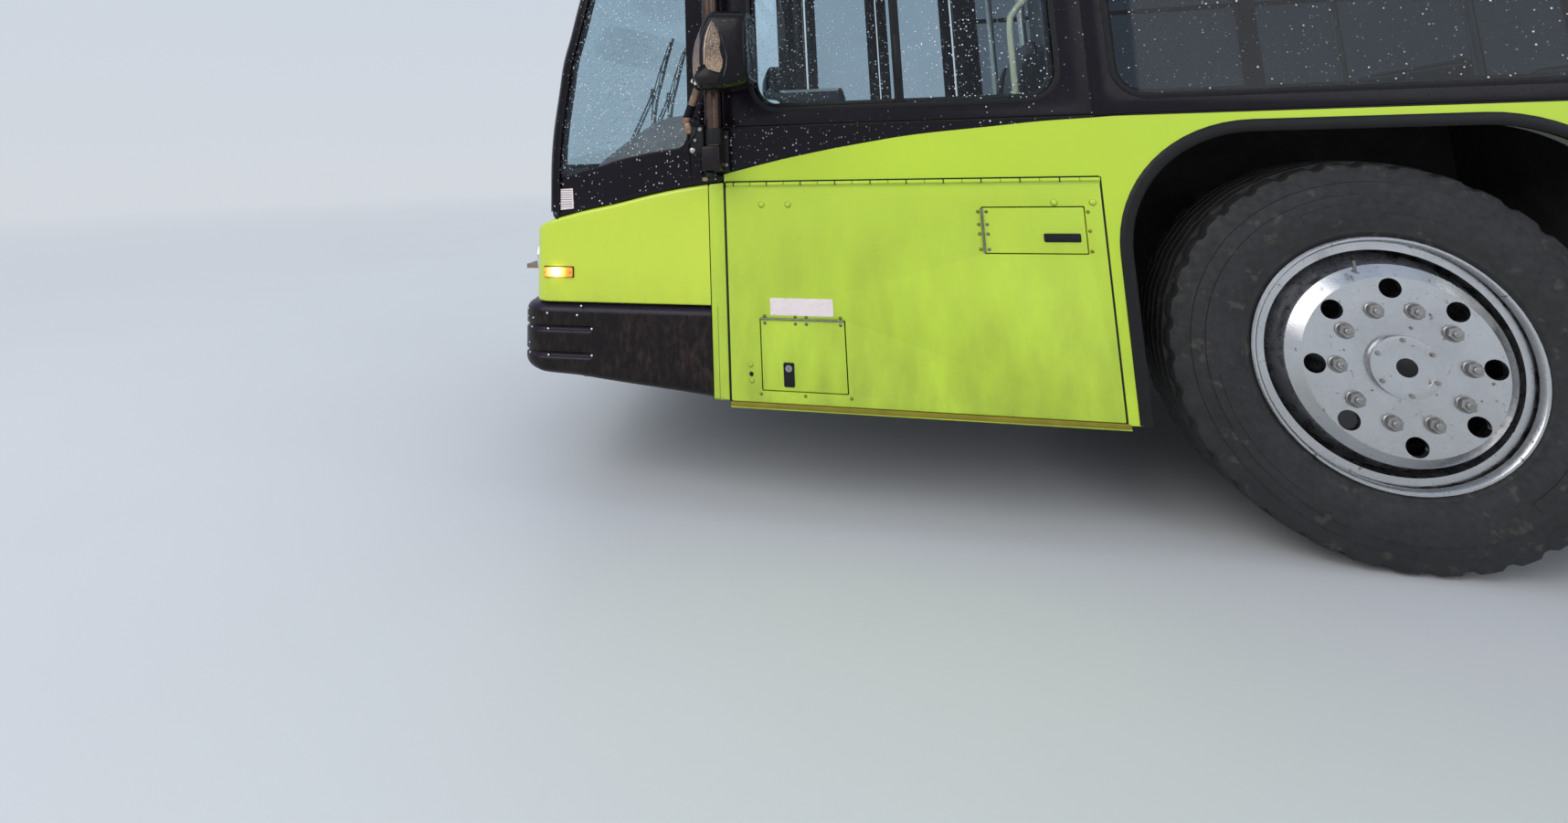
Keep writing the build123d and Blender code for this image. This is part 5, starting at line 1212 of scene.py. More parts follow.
for s in (1, -1):
    big = (1.230 ** 2 + 0.0144) / 0.24
    for yc, wy in ((1.150, 0.052),):
        x = POST_X + 0.640 + 0.120 - big + math.sqrt(big * big - yc * yc)
        rot = Matrix.Translation((x, s * yc, 0.705)) @ Matrix.Rotation(s * math.asin(yc / big), 4, "Z")
        g.box(-0.004, 0.006, -wy, wy, -0.058, 0.058, 0.004, 1, 2, rot)
        g.box(0.003, 0.015, -wy + 0.006, wy - 0.006, -0.051, 0.051, 0.006, 0, 3, rot)
        for k in range(-5, 6):
            g.box(0.0142, 0.0160, -wy + 0.010, wy - 0.010, k * 0.008 - 0.0012, k * 0.008 + 0.0012, 0.0005, 0, 1, rot)
g.make("turn_lamps", [M["amber"], M["rubber"]], slot="lamp")

# rear lamps: rubber grommet, dished lens with rings of small prisms
g = Geo()
for y, z, kind in ((1.150, 1.330, 0), (1.150, 1.200, 1), (1.150, 1.070, 2), (1.010, 1.330, 0)):
    for s in (1, -1):
        c = (-6.1795, s * y, z)
        ax = (-1, 0, 0)
        g.lathe([(0.0, -0.004), (0.0500, -0.004), (0.0500, 0.010), (0.0485, 0.0165), (0.0455, 0.0175), (0.0440, 0.0130), (0.0440, 0.0040), (0.0, 0.004)], c, ax, 36, 3)
        g.lathe([(0.0, 0.002), (0.0435, 0.004), (0.0435, 0.0125), (0.036, 0.0168), (0.020, 0.0182), (0.0, 0.0186)], c, ax, 36, kind)
        for r in (0.011, 0.019, 0.027, 0.034):
            n = int(r * 900)
            for k in range(n):
                a = 2 * math.pi * k / n
                g.box(-0.0006, 0.0012, -0.0014, 0.0014, -0.0024, 0.0024, 0.0004, kind, 1,
                      Matrix.Translation((c[0] - (0.0183 - (r / 0.036) ** 2 * 0.0018), c[1] + r * math.cos(a), c[2] + r * math.sin(a)))
                      @ Matrix.Rotation(a, 4, "X") @ Matrix.Rotation(math.pi, 4, "Z"))
g.make("rear_lamps", [M["red_lens"], M["amber"], M["clear_lens"], M["rubber"]], slot="lamp")

# ------------------------------------------------------------------ mirrors
M["shell_front"] = None


def mirror_front_painted_highlight():
    """Front edge of a mirror head with a painted highlight and reflection: grey-lilac above, warm and wet below."""
    t = Tree("mirror_shell_front_edge")
    p = principled(t, 0.34, coat=0.35, coat_rough=0.15)
    z = t.xyz()[2]
    tone = t.mix(t.span(z, 1.290, 1.400), srgb(142, 116, 98), srgb(80, 72, 80))
    tone = t.mix(t.span(t.noise(70.0, 4.0), 0.35, 0.7, 0.0, 0.5), tone, srgb(72, 62, 70))
    t.link(tone, p.inputs["Base Color"])
    t.link(t.span(t.noise(50.0, 3.0), 0.3, 0.7, 0.26, 0.46), p.inputs["Roughness"])
    n = t.bump([(t.noise(600.0, 3.0), 0.00015), (t.drops(330.0, 0.34, 0.4), 0.0006)])
    t.link(n, p.inputs["Normal"])
    t.link(n, p.inputs["Coat Normal"])
    return t.mat


def leaf_painted_highlight():
    """Speckled inset on a mirror head's side: its tan tone a painted highlight, lighter towards the bottom and darker
    at the top.
    """
    t = Tree("mirror_side_inset_painted_highlight")
    p = principled(t, 0.42, metal=0.15, coat=0.3, coat_rough=0.2)
    fine = t.noise(260.0, 3.0, 0.7)
    z = t.xyz()[2]
    tone = t.mix(t.span(fine, 0.40, 0.62), srgb(76, 58, 46), srgb(138, 112, 92))
    # painted highlight: lighter towards the bottom, darker at the top
    tone = t.mix(t.span(z, 1.340, 1.275, 0.0, 0.6), tone, srgb(190, 160, 130))
    tone = t.mix(t.span(z, 1.370, 1.415, 0.0, 0.7), tone, srgb(70, 54, 48))
    pale_fleck = t.noise(420.0, 2.0, 0.6)
    tone = t.mix(t.span(pale_fleck, 0.60, 0.66), tone, srgb(226, 206, 186))
    tone = t.mix(t.span(t.noise(330.0, 2.0, 0.6), 0.58, 0.66), tone, srgb(44, 32, 30))
    t.link(tone, p.inputs["Base Color"])
    n = t.bump([(fine, 0.0006), (t.drops(420.0, 0.34, 0.5), 0.0006)])
    t.link(n, p.inputs["Normal"])
    t.link(n, p.inputs["Coat Normal"])
    return t.mat


M["shell_front"] = mirror_front_painted_highlight()
M["leaf"] = leaf_painted_highlight()
# tan colour standing in for the lit highlights on the dark mirror arm and clamp parts: painted highlight
M["tan"] = surface("tan_metal_painted_highlight", srgb(132, 106, 86), 0.34, metal=0.55, coat=0.3, coat_rough=0.15, var=0.25, scale=40.0,
                   bumps=[(260.0, 3.0, 0.0003)], speck=(240.0, srgb(232, 208, 180), 0.62))
# lighter copy of the mirror tube's finish for its lit side: painted highlight
M["tube_warm"] = surface("mirror_tube_painted_highlight", srgb(176, 136, 104), 0.34, metal=0.35, coat=0.3, coat_rough=0.2, var=0.2, scale=14.0,
                         bumps=[(200.0, 3.0, 0.0001)])
ZU = [(5.270, 1.4460), (5.276, 1.4485), (5.330, 1.4535), (5.372, 1.4540), (5.390, 1.4370), (5.403, 1.4130), (5.418, 1.3850), (5.429, 1.3560),
      (5.435, 1.3250), (5.4375, 1.2960)]
ZL = [(5.270, 1.2520), (5.274, 1.2440), (5.310, 1.2340), (5.350, 1.2290), (5.403, 1.2310), (5.422, 1.2440), (5.432, 1.2600), (5.436, 1.2720),
      (5.4375, 1.2840)]
WID = [(5.270, 0.0910), (5.276, 0.0950), (5.320, 0.0960), (5.372, 0.0940), (5.395, 0.0870), (5.412, 0.0760), (5.425, 0.0600), (5.433, 0.0380),
       (5.4375, 0.0120)]
mirror_geo = Geo()
for s, dx, dz in ((1, 0.0, 0.0), (-1, 0.225, 0.203)):
    rows = []
    xs = [5.270, 5.2712, 5.274, 5.279, 5.295, 5.315, 5.335, 5.355, 5.372, 5.382, 5.391, 5.400, 5.408, 5.415, 5.421, 5.4265, 5.431, 5.4345, 5.4365, 5.4375]
    for x in xs:
        zu, zl, w = smooth_along(ZU, x), smooth_along(ZL, x), smooth_along(WID, x)
        zc, h = (zu + zl) / 2, max((zu - zl) / 2, 0.004)
        e = 4.6 if x < 5.38 else 4.6 - 2.2 * (x - 5.38) / 0.0575
        ring = []
        for k in range(56):
            a = 2 * math.pi * k / 56
            ca, sa = math.cos(a), math.sin(a)
            yy = math.copysign(abs(ca) ** (2 / e), ca) * w
            zz = math.copysign(abs(sa) ** (2 / e), sa) * h
            ring.append(Vector((x + dx, s * (1.494 + yy), zc + zz + dz)))
        rows.append(ring)
    n0 = len(mirror_geo.f)
    mirror_geo.rings(rows)
    # front edge of the shell in its painted-highlight finish
    for i in range(n0, len(mirror_geo.f)):
        pts = [mirror_geo.v[k] for k in mirror_geo.f[i]]
        cx = sum(p[0] for p in pts) / len(pts) - dx
        cy = abs(sum(p[1] for p in pts) / len(pts))
        cz = sum(p[2] for p in pts) / len(pts) - dz
        if cx > 5.4015 + (1.36 - cz) * 0.03 and cz > 1.262 + (5.437 - cx) * 0.9 and len(pts) < 6:
            mirror_geo.m[i] = 1
    # rim and mirror glass behind
    mirror_geo.bm(flat_plate([rounded([(s * 1.494 - 0.0905, 1.2540 + dz), (s * 1.494 + 0.0905, 1.2540 + dz), (s * 1.494 + 0.0905, 1.4450 + dz),
                                       (s * 1.494 - 0.0905, 1.4450 + dz)], 0.030, 6),
                              rounded([(s * 1.494 - 0.0835, 1.2610 + dz), (s * 1.494 + 0.0835, 1.2610 + dz), (s * 1.494 + 0.0835, 1.4380 + dz),
                                       (s * 1.494 - 0.0835, 1.4380 + dz)], 0.025, 6)], 0.006, 0.002), 0, cross_matrix(5.2690 + dx))
    mirror_geo.bm(flat_plate([rounded([(s * 1.494 - 0.0840, 1.2605 + dz), (s * 1.494 + 0.0840, 1.2605 + dz), (s * 1.494 + 0.0840, 1.4385 + dz),
                                       (s * 1.494 - 0.0840, 1.4385 + dz)], 0.025, 6)], 0.003), 2, cross_matrix(5.2695 + dx))
    # inset on the side, its light rim, a hole in its middle and the ridges before and behind it
    out = [(5.3580, 1.4180), (5.3680, 1.4000), (5.3770, 1.3750), (5.3820, 1.3430), (5.3840, 1.2980), (5.3780, 1.2840), (5.3430, 1.2720), (5.3330, 1.2940),
           (5.3350, 1.3350), (5.3390, 1.3640), (5.3450, 1.3880)]
    leaf = rounded([(x + dx, z + dz) for x, z in out], [0.002, 0.03, 0.03, 0.03, 0.006, 0.01, 0.006, 0.03, 0.03, 0.03, 0.03], 4)
    y0, y1 = s * 1.5865, s * 1.5897
    mirror_geo.prism(leaf, side_place, *sorted((y0, y1)), 0.0016, 3)
    mirror_geo.lathe([(0.0032, 0.0), (0.0032, 0.0008), (0.0, 0.0008)], (5.3600 + dx, s * 1.5894, 1.3480 + dz), (0, s, 0), 12, 4)
    rim = [(x + dx + 0.0028, s * 1.5885, z + dz) for x, z in out[:5]]
    mirror_geo.tube(rim, [0.0006, 0.0018, 0.0021, 0.0021, 0.0012], 8, 5)
    for off in (0.0095, 0.0165):
        line = [(x + dx + off, s * (1.5872 - off * 0.25), z + dz) for x, z in out[:5]]
        mirror_geo.tube(line, [0.0006, 0.0020, 0.0024, 0.0022, 0.0010], 8, 4)
    back = [(5.3480, 1.4000), (5.3350, 1.3710), (5.3270, 1.3440), (5.3220, 1.3160), (5.3250, 1.2880), (5.3330, 1.2620)]
    mirror_geo.tube([(x + dx, s * 1.5885, z + dz) for x, z in back], [0.0005, 0.0013, 0.0015, 0.0015, 0.0013, 0.0005], 8, 6)
    # folded brown flap under the inset
    mirror_geo.prism([(5.3840 + dx, 1.2930 + dz), (5.4200 + dx, 1.2660 + dz), (5.4040 + dx, 1.2420 + dz), (5.3560 + dx, 1.2450 + dz), (5.3400 + dx, 1.2660 + dz)],
                     side_place, *sorted((s * 1.5500, s * 1.5880)), 0.006, 7)
M["shell_brown"] = surface("mirror_shell_lower", srgb(27, 19, 21), 0.34, coat=0.04, spec=0.22, var=0.3, scale=30.0, bumps=[(500.0, 3.0, 0.0002)])
M["shell_dark"] = surface("mirror_shell_ridge", srgb(40, 28, 44), 0.35, coat=0.2, var=0.2, scale=40.0, bumps=[(500.0, 3.0, 0.0001)])
M["cream"] = surface("cream_rim", srgb(216, 192, 168), 0.35, coat=0.3, var=0.12, scale=60.0, bumps=[(400.0, 3.0, 0.0001)])
mirror_geo.make("mirror_heads", [M["shell"], M["shell_front"], M["mirror"], M["leaf"], M["shell_dark"], M["cream"], M["hinge"], M["shell_brown"]],
                replaces="mirrors", slot="black_plastic", smooth=45)

# carrying tubes, brackets, clamps and arms
g = Geo()
for s, dx, dz in ((1, 0.0, 0.0), (-1, 0.0, 0.0)):
    y = s * 1.375
    g.tube([(5.412, y, 1.006), (5.412, y, 1.6), (5.412, y, 2.2), (5.412, y, 2.328)], 0.0245, 28, 0)
    g.lathe([(0.0246, 0.0), (0.0272, 0.0), (0.0275, 0.002), (0.0275, 0.011), (0.0272, 0.013), (0.0246, 0.013)], (5.412, y, 1.5440), (0, 0, 1), 28, 1, True)
    g.lathe([(0.0246, 0.0), (0.0278, 0.0), (0.0285, 0.003), (0.0285, 0.044), (0.0278, 0.047), (0.0246, 0.047)], (5.4105, y, 1.0820), (0, 0, 1), 28, 1, True)
    # lower carrying bracket: folded box with a rear flange and bolts, knob below
    y0, y1 = sorted((s * 1.3150, s * 1.4050))
    g.box(5.3880, 5.4440, y0, y1, 1.0040, 1.0780, 0.006, 2, 3)
    y0, y1 = sorted((s * 1.2962, s * 1.3250))
    g.box(5.3760, 5.4450, y0, y1, 0.9980, 1.1250, 0.004, 1, 2)
    for z in (1.020, 1.104):
        g.hexnut((5.3830, s * 1.3245, z), (0, s, 0), 0.011, 0.005, 3)
    g.lathe([(0.0, 0.0), (0.0115, 0.001), (0.0160, 0.006), (0.0165, 0.020), (0.0140, 0.027), (0.0, 0.028)], (5.4250, y, 1.0050), (0, 0, -1), 24, 1)
    g.lathe([(0.0, 0.0), (0.0090, 0.001), (0.0095, 0.010), (0.0, 0.012)], (5.4350, s * 1.3990, 0.9860), (0, 0, -1), 16, 4)
    # upper bracket
    y0, y1 = sorted((s * 1.2962, s * 1.4050))
    g.box(5.3880, 5.4400, y0, y1, 2.2700, 2.3200, 0.006, 1, 3)
    for z in (2.283, 2.307):
        g.hexnut((5.4405, s * 1.3150, z), (1, 0, 0), 0.012, 0.006, 3)
    # head's own carrier: arm from the tube
    hx, hz = (5.350, 1.342) if s > 0 else (5.575, 1.545)
    g.tube([(5.412, s * 1.388, hz - 0.045), (5.412 + (hx - 5.412) * 0.5, s * 1.395, hz - 0.045), (hx, s * 1.402, hz - 0.045), (hx, s * 1.420, hz - 0.045)], 0.0130, 16, 1)
    g.lathe([(0.0246, 0.0), (0.0305, 0.0), (0.0315, 0.003), (0.0315, 0.033), (0.0305, 0.036), (0.0246, 0.036)], (5.412, y, hz - 0.063), (0, 0, 1), 28, 1, True)
    g.lathe([(0.0, -0.010), (0.0210, -0.010), (0.0225, -0.004), (0.0225, 0.010), (0.0, 0.012)], (hx, s * 1.402, hz - 0.045), (0, s, 0), 24, 1)
g.make("mirror_tubes", [M["tube"], M["rubber"], M["shell_brown"], M["steel"], M["tan"]], slot="black_plastic", smooth=45)

# the driver's side swivel joint: ribbed boot and tube from the clamp up to the head, the tube in tan as a painted
# highlight
g = Geo()
path_pts = [Vector((5.4920, 1.378, 1.1560)), Vector((5.4740, 1.384, 1.2010)), Vector((5.4550, 1.398, 1.2410)), Vector((5.4370, 1.424, 1.2600))]


def between(a, b, t):
    return a + (b - a) * t


boot, radii = [], []
for k in range(19):
    t = k / 18
    boot.append(between(path_pts[0], path_pts[1], t))
    radii.append(0.0125 + (0.0022 if k % 2 else 0.0))
g.tube(boot, radii, 20, 0)
g.tube([path_pts[1], between(path_pts[1], path_pts[2], 0.5), path_pts[2], between(path_pts[2], path_pts[3], 0.6), path_pts[3]], 0.0118, 20, 1)
g.lathe([(0.0, -0.014), (0.0155, -0.012), (0.0175, 0.0), (0.0155, 0.012), (0.0, 0.014)], path_pts[3], (-0.55, 0.75, 0.25), 20, 2)
for c in ((5.4550, 1.4300, 1.2690), (5.4270, 1.4480, 1.2780), (5.4090, 1.4560, 1.2700), (5.4430, 1.4400, 1.2610)):
    g.hexnut(c, (0.25, 0.95, 0.1), 0.0125, 0.0075, 3)
g.box(5.4060, 5.4560, 1.4180, 1.4420, 1.2560, 1.2860, 0.006, 0, 3)
# clamp block below, its rod, ball knob and bolts, and the wire loop
g.box(5.4740, 5.4955, 1.3580, 1.4000, 1.1140, 1.1490, 0.005, 4, 3)
g.lathe([(0.0, -0.012), (0.0150, -0.010), (0.0190, 0.0), (0.0150, 0.010), (0.0, 0.012)], (5.4900, 1.3790, 1.1560), (0.2, 0.2, 1), 20, 4)
g.tube([(5.4870, 1.3790, 1.1160), (5.4875, 1.3790, 1.0500), (5.4865, 1.3790, 0.9850)], 0.0048, 12, 2)
g.dome((5.4640, 1.3980, 1.1500), (0.3, 0.9, 0.3), 0.0150, 0.0150, 20, 2)
g.lathe([(0.0, -0.02), (0.0135, -0.018), (0.0150, 0.0), (0.0, 0.004)], (5.4640, 1.3980, 1.1500), (0.3, 0.9, 0.3), 20, 2)
g.box(5.4360, 5.4800, 1.3750, 1.3980, 1.0560, 1.1420, 0.006, 0, 3)
g.hexnut((5.4460, 1.3975, 1.1270), (0, 1, 0), 0.0125, 0.0075, 3)
g.hexnut((5.4620, 1.3975, 1.0950), (0, 1, 0), 0.0095, 0.0060, 3)
g.dome((5.4710, 1.3975, 1.0660), (0, 1, 0), 0.0105, 0.0085, 16, 3)
loop = []
for k in range(15):
    a = math.radians(100 - 200 * k / 14)
    loop.append((5.4620 - 0.0235 * math.cos(a - math.pi / 2) * 1.0 + 0.010, 1.4020 + 0.004 * math.sin(k), 1.1000 + 0.0400 * math.sin(math.pi / 2 - math.pi * k / 14)))
g.tube(loop, 0.0022, 10, 0)
g.tube([(5.4400, 1.3600, 1.1200), (5.4200, 1.3600, 1.1120), (5.4120, 1.3620, 1.1050)], 0.0110, 14, 0)
g.make("mirror_swivel", [M["rubber"], M["tan"], M["shell"], M["steel"], M["tan"]], slot="black_plastic", smooth=45)

# ------------------------------------------------------------------ wipers
def glass_x(y, z):
    return POST_X + smooth_along(CORNER_LINE, z) + 0.120 * (1 - (y / 1.233) ** 2)


g = Geo()
for yp, (jy, jz), (fy, fz), (hy, hz) in ((0.200, (-0.285, 1.400), (-0.292, 1.190), (-0.290, 1.700)), (-0.100, (-0.550, 1.400), (-0.558, 1.190), (-0.540, 1.680))):
    base = Vector((glass_x(yp, 0.900) + 0.022, yp, 0.900))
    joint = Vector((glass_x(jy, jz) + 0.044, jy, jz))
    # two parallel arms from two pivots, round bars that taper towards the blade
    for k, off in enumerate((0.0, -0.062)):
        p0 = base + Vector((0.014, off, 0.004 * k))
        p1 = joint + Vector((0.0, off * 0.35, -0.012 if k else 0.012))
        pts = [p0 + (p1 - p0) * (i / 8) for i in range(9)]
        for i, q in enumerate(pts):
            q.x = max(q.x, glass_x(q.y, q.z) + 0.036)
        g.tube(pts, [0.0095, 0.0095, 0.0085, 0.0070, 0.0060, 0.0055, 0.0050, 0.0048, 0.0045], 10, 0)
        g.lathe([(0.0, -0.026), (0.0150, -0.026), (0.0165, -0.010), (0.0150, 0.012), (0.0100, 0.0165), (0.0, 0.0175)], p0, (1, 0, 0.15), 20, 0)
        g.hexnut(p0 + Vector((0.0160, 0, 0.002)), (1, 0, 0.15), 0.0120, 0.0060, 1)
    # blade: rubber on the glass, a stiff rail on it, a bridge of stepped bows above and clips
    n = 26
    line = [(fy + (hy - fy) * i / n, fz + (hz - fz) * i / n) for i in range(n + 1)]
    for h0, h1, w, mt in ((0.0035, 0.0150, 0.0016, 2), (0.0140, 0.0175, 0.0046, 0)):
        rows = []
        for y, z in line:
            gx = glass_x(y, z)
            rows.append([Vector((gx + h0, y - w, z)), Vector((gx + h1, y - w, z)), Vector((gx + h1, y + w, z)), Vector((gx + h0, y + w, z))])
        g.rings(rows, True, True, mt)
    for lo_t, hi_t, top in ((0.05, 0.52, 0.030), (0.48, 0.95, 0.030), (0.20, 0.80, 0.041)):
        rows = []
        for i in range(17):
            t = lo_t + (hi_t - lo_t) * i / 16
            y, z = fy + (hy - fy) * t, fz + (hz - fz) * t
            up_ = math.sin(math.pi * i / 16) ** 0.5 * (top - 0.0175) + 0.0175
            gx = glass_x(y, z)
            rows.append([Vector((gx + up_, y - 0.0042, z)), Vector((gx + up_ + 0.0042, y - 0.0042, z)), Vector((gx + up_ + 0.0042, y + 0.0042, z)), Vector((gx + up_, y + 0.0042, z))])
        g.rings(rows, True, True, 0)
    for t in (0.05, 0.20, 0.36, 0.50, 0.64, 0.80, 0.95):
        y, z = fy + (hy - fy) * t, fz + (hz - fz) * t
        gx = glass_x(y, z)
        g.box(gx + 0.012, gx + 0.024, y - 0.0062, y + 0.0062, z - 0.007, z + 0.007, 0.002, 0)
    g.box(joint.x - 0.014, joint.x + 0.010, jy - 0.011, jy + 0.011, jz - 0.026, jz + 0.026, 0.004, 0)
    g.hexnut(joint + Vector((0.008, 0, 0)), (1, 0, 0), 0.0105, 0.006, 1)
g.make("wiper_set", [M["rubber"], M["hinge"], M["plastic"]], replaces="wipers", slot="black_plastic", smooth=45)

# beads of water at the ends of the bumper's grooves and under its top edge
g = Geo()
for s in (1, -1):
    for lead, z in ((GROOVE_END + 0.004, 0.522), (GROOVE_END + 0.004, 0.443), (0.582, 0.519), (0.580, 0.440), (0.586, 0.566), (0.484, 0.562), (0.470, 0.590)):
        g.dome((POST_X + lead, s * 1.2950, z), (0, s, 0.25), 0.0040, 0.0024, 12)
    for deg, z, r in ((62, 0.548, 0.0034), (40, 0.572, 0.0036), (40, 0.548, 0.0030), (58, 0.5195, 0.0034), (36, 0.5195, 0.0030), (52, 0.4405, 0.0036), (34, 0.4405, 0.0030), (50, 0.470, 0.0028)):
        q = math.radians(deg)
        g.dome((POST_X + 0.595 + 0.0948 * math.cos(q), s * (1.200 + 0.0948 * math.sin(q)), z), (math.cos(q), s * math.sin(q), 0.2), r, 0.0022, 12)
g.make("bumper_water_beads", [M["mirror"]], slot="bumper")


# ------------------------------------------------------------------ tyres
TYRE_PROFILE = [
    # half section from the tread's middle out: axial distance from the middle, radius
    (0.000, 0.4975), (0.0125, 0.4975), (0.0145, 0.4840), (0.0205, 0.4840), (0.0225, 0.4973), (0.0470, 0.4968), (0.0490, 0.4838), (0.0560, 0.4836), (0.0580, 0.4964),
    (0.0820, 0.4952), (0.0840, 0.4830), (0.0895, 0.4828), (0.0915, 0.4946), (0.1090, 0.4928), (0.1180, 0.4880), (0.1225, 0.4800),
    (0.1262, 0.4640), (0.1315, 0.4480), (0.1322, 0.4452), (0.1350, 0.4440), (0.1395, 0.4290), (0.1430, 0.4150), (0.1462, 0.4145), (0.1470, 0.4115),
    (0.1478, 0.4000), (0.1485, 0.3820), (0.1478, 0.3640), (0.1455, 0.3480), (0.1415, 0.3330), (0.1370, 0.3205), (0.1372, 0.3185), (0.1330, 0.3120),
    (0.1300, 0.3060), (0.1262, 0.3005), (0.1150, 0.2955), (0.1050, 0.2935),
]
ZIG = {2, 3, 6, 7, 10, 11}


def tyre_rings(geo, cx, cy, steps=216, mat=0):
    half = TYRE_PROFILE
    full = [(-a, r, i) for i, (a, r) in reversed(list(enumerate(half)))][:-1] + [(a, r, i) for i, (a, r) in enumerate(half)]
    rings = []
    for k in range(steps):
        ang = 2 * math.pi * k / steps
        c, s = math.cos(ang), math.sin(ang)
        zig = abs((k % 8) - 4) / 2.0 - 1.0
        ring = []
        for a, r, i in full:
            if 1 <= i <= 12:
                base = 0.0026 * zig
                a2 = a + (base if i in (1, 2, 3, 4, 5, 6, 7, 8, 9, 10, 11, 12) else 0.0)
            else:
                a2 = a
            slot = k % 6 in (0, 1)
            if slot and 12 <= i <= 16:
                r2 = r - (0.0085 if i < 16 else 0.003)
            elif (k % 12) in (3, 4) and 4 < i < 9:
                r2 = r - (0.0025 if i in (5, 8) else 0.0)
            else:
                r2 = r
            ring.append(Vector((cx + r2 * s, cy + a2, TYRE_R + r2 * c)))
        rings.append(ring)
    geo.rings(rings, False, False, mat, True)
    # inner skin from bead to bead closes the shell
    inner = []
    for k in range(steps):
        ang = 2 * math.pi * k / steps
        c, s = math.cos(ang), math.sin(ang)
        prof = [(-0.105, 0.2935), (-0.098, 0.305), (-0.112, 0.345), (-0.118, 0.400), (-0.085, 0.455), (0.0, 0.470), (0.085, 0.455), (0.118, 0.400), (0.112, 0.345),
                (0.098, 0.305), (0.105, 0.2935)]
        inner.append([Vector((cx + r * s, cy + a, TYRE_R + r * c)) for a, r in prof])
    geo.rings(inner, False, False, mat, True)


for name, x, ys, body in (("front_left", AXLE_F, (1.110,), "front_left_wheel"), ("front_right", AXLE_F, (-1.110,), "front_right_wheel"),
                          ("rear_left", AXLE_R, (1.110, 0.775), "rear_left_wheels"), ("rear_right", AXLE_R, (-1.110, -0.775), "rear_right_wheels")):
    g = Geo()
    for y in ys:
        tyre_rings(g, x, y)
    # raised blank panels on the outer wall
    s = 1 if ys[0] > 0 else -1
    for a0 in (0.0, math.pi * 2 / 3, math.pi * 4 / 3):
        rows = []
        for k in range(15):
            a = a0 + math.radians(-24 + 48 * k / 14)
            q = []
            for rr, hh in ((0.3690, 0.1478), (0.3690, 0.1494), (0.3925, 0.1498), (0.3925, 0.1480)):
                q.append(Vector((x + rr * math.sin(a), ys[0] + s * hh, TYRE_R + rr * math.cos(a))))
            rows.append(q)
        g.rings(rows)
    g.make(name + "_tyre_tread", [M["tyre"]], body, name + "_tyre", "tyre", smooth=30)

# ------------------------------------------------------------------ wheel nuts, caps, valves and rolled edges
M["nut"] = surface("wheel_nut_steel", srgb(150, 148, 146), 0.38, metal=1.0, var=0.18, scale=60.0, rough_var=0.12, bumps=[(300.0, 3.0, 0.0002)],
                   speck=(120.0, srgb(110, 78, 52), 0.64))
M["oil_cap"] = surface("hub_cap_red_cover", srgb(60, 58, 58), 0.4, var=0.2, scale=30.0, bumps=[(200.0, 3.0, 0.0002)])
for name, x, y_mid, s, front, body in (("front_left", AXLE_F, 1.110, 1, True, "front_left_wheel"), ("front_right", AXLE_F, -1.110, -1, True, "front_right_wheel"),
                                       ("rear_left", AXLE_R, 1.110, 1, False, "rear_left_wheels"), ("rear_right", AXLE_R, -1.110, -1, False, "rear_right_wheels")):
    g = Geo()
    face = s * (1.2772 if front else 0.9572)
    for k in range(10):
        a = 2 * math.pi * (k + 0.5) / 10
        c = (x + 0.1375 * math.sin(a), face, TYRE_R + 0.1375 * math.cos(a))
        g.lathe([(0.0205, 0.0), (0.0205, 0.0020), (0.0185, 0.0034), (0.0, 0.0034)], c, (0, s, 0), 20, 0)
        g.hexnut((c[0], c[1] + s * 0.0034, c[2]), (0, s, 0), 0.0300, 0.0115 if front else 0.0240, 0)
    # rolled edge and safety hump of the rim on the outer side
    edge = s * (abs(y_mid) + 0.1315)
    g.lathe([(0.2975, -0.006), (0.3030, -0.004), (0.3075, 0.001), (0.3080, 0.005), (0.3050, 0.0085), (0.3000, 0.0085), (0.2960, 0.0050), (0.2925, -0.006)],
            (x, edge, TYRE_R), (0, s, 0), 72, 1, True)
    if front:
        g.lathe([(0.0760, -0.020), (0.0760, -0.002), (0.0745, 0.0005), (0.0700, 0.0012), (0.0560, 0.0012), (0.0540, -0.0010), (0.0300, -0.0020), (0.0, -0.0024)],
                (x, s * 1.2892, TYRE_R), (0, s, 0), 48, 1)
        for k in range(6):
            a = 2 * math.pi * k / 6
            g.hexnut((x + 0.0645 * math.sin(a), s * 1.2900, TYRE_R + 0.0645 * math.cos(a)), (0, s, 0), 0.0100, 0.0040, 0)
        g.lathe([(0.0, 0.0), (0.0230, 0.0), (0.0240, 0.0020), (0.0200, 0.0045), (0.0, 0.0048)], (x, s * 1.2870, TYRE_R), (0, s, 0), 30, 2)
    else:
        for k in range(8):
            a = 2 * math.pi * (k + 0.25) / 8
            g.hexnut((x + 0.0950 * math.sin(a), s * 1.1402, TYRE_R + 0.0950 * math.cos(a)), (0, s, 0), 0.0190, 0.0100, 0)
        g.lathe([(0.0, 0.0), (0.0550, 0.0), (0.0600, 0.0030), (0.0560, 0.0090), (0.0, 0.0100)], (x, s * 1.1400, TYRE_R), (0, s, 0), 40, 1)
    # valve stem through the outer rim
    a = math.radians(18)
    vx, vz = x + 0.2350 * math.sin(a), TYRE_R + 0.2350 * math.cos(a)
    base_y = s * (1.2760 if front else 0.9560)
    g.tube([(vx, base_y, vz), (vx, base_y + s * 0.010, vz), (vx + 0.006, base_y + s * 0.022, vz + 0.018), (vx + 0.007, base_y + s * 0.024, vz + 0.032)], 0.0038, 10, 0)
    g.lathe([(0.0, 0.0), (0.0048, 0.0), (0.0048, 0.0100), (0.0040, 0.0120), (0.0, 0.0120)], (vx + 0.007, base_y + s * 0.024, vz + 0.030), (0, 0, 1), 10, 2)
    g.make(name + "_wheel_fittings", [M["nut"], M["alloy"], M["rubber"]], body, slot="rim", smooth=32)

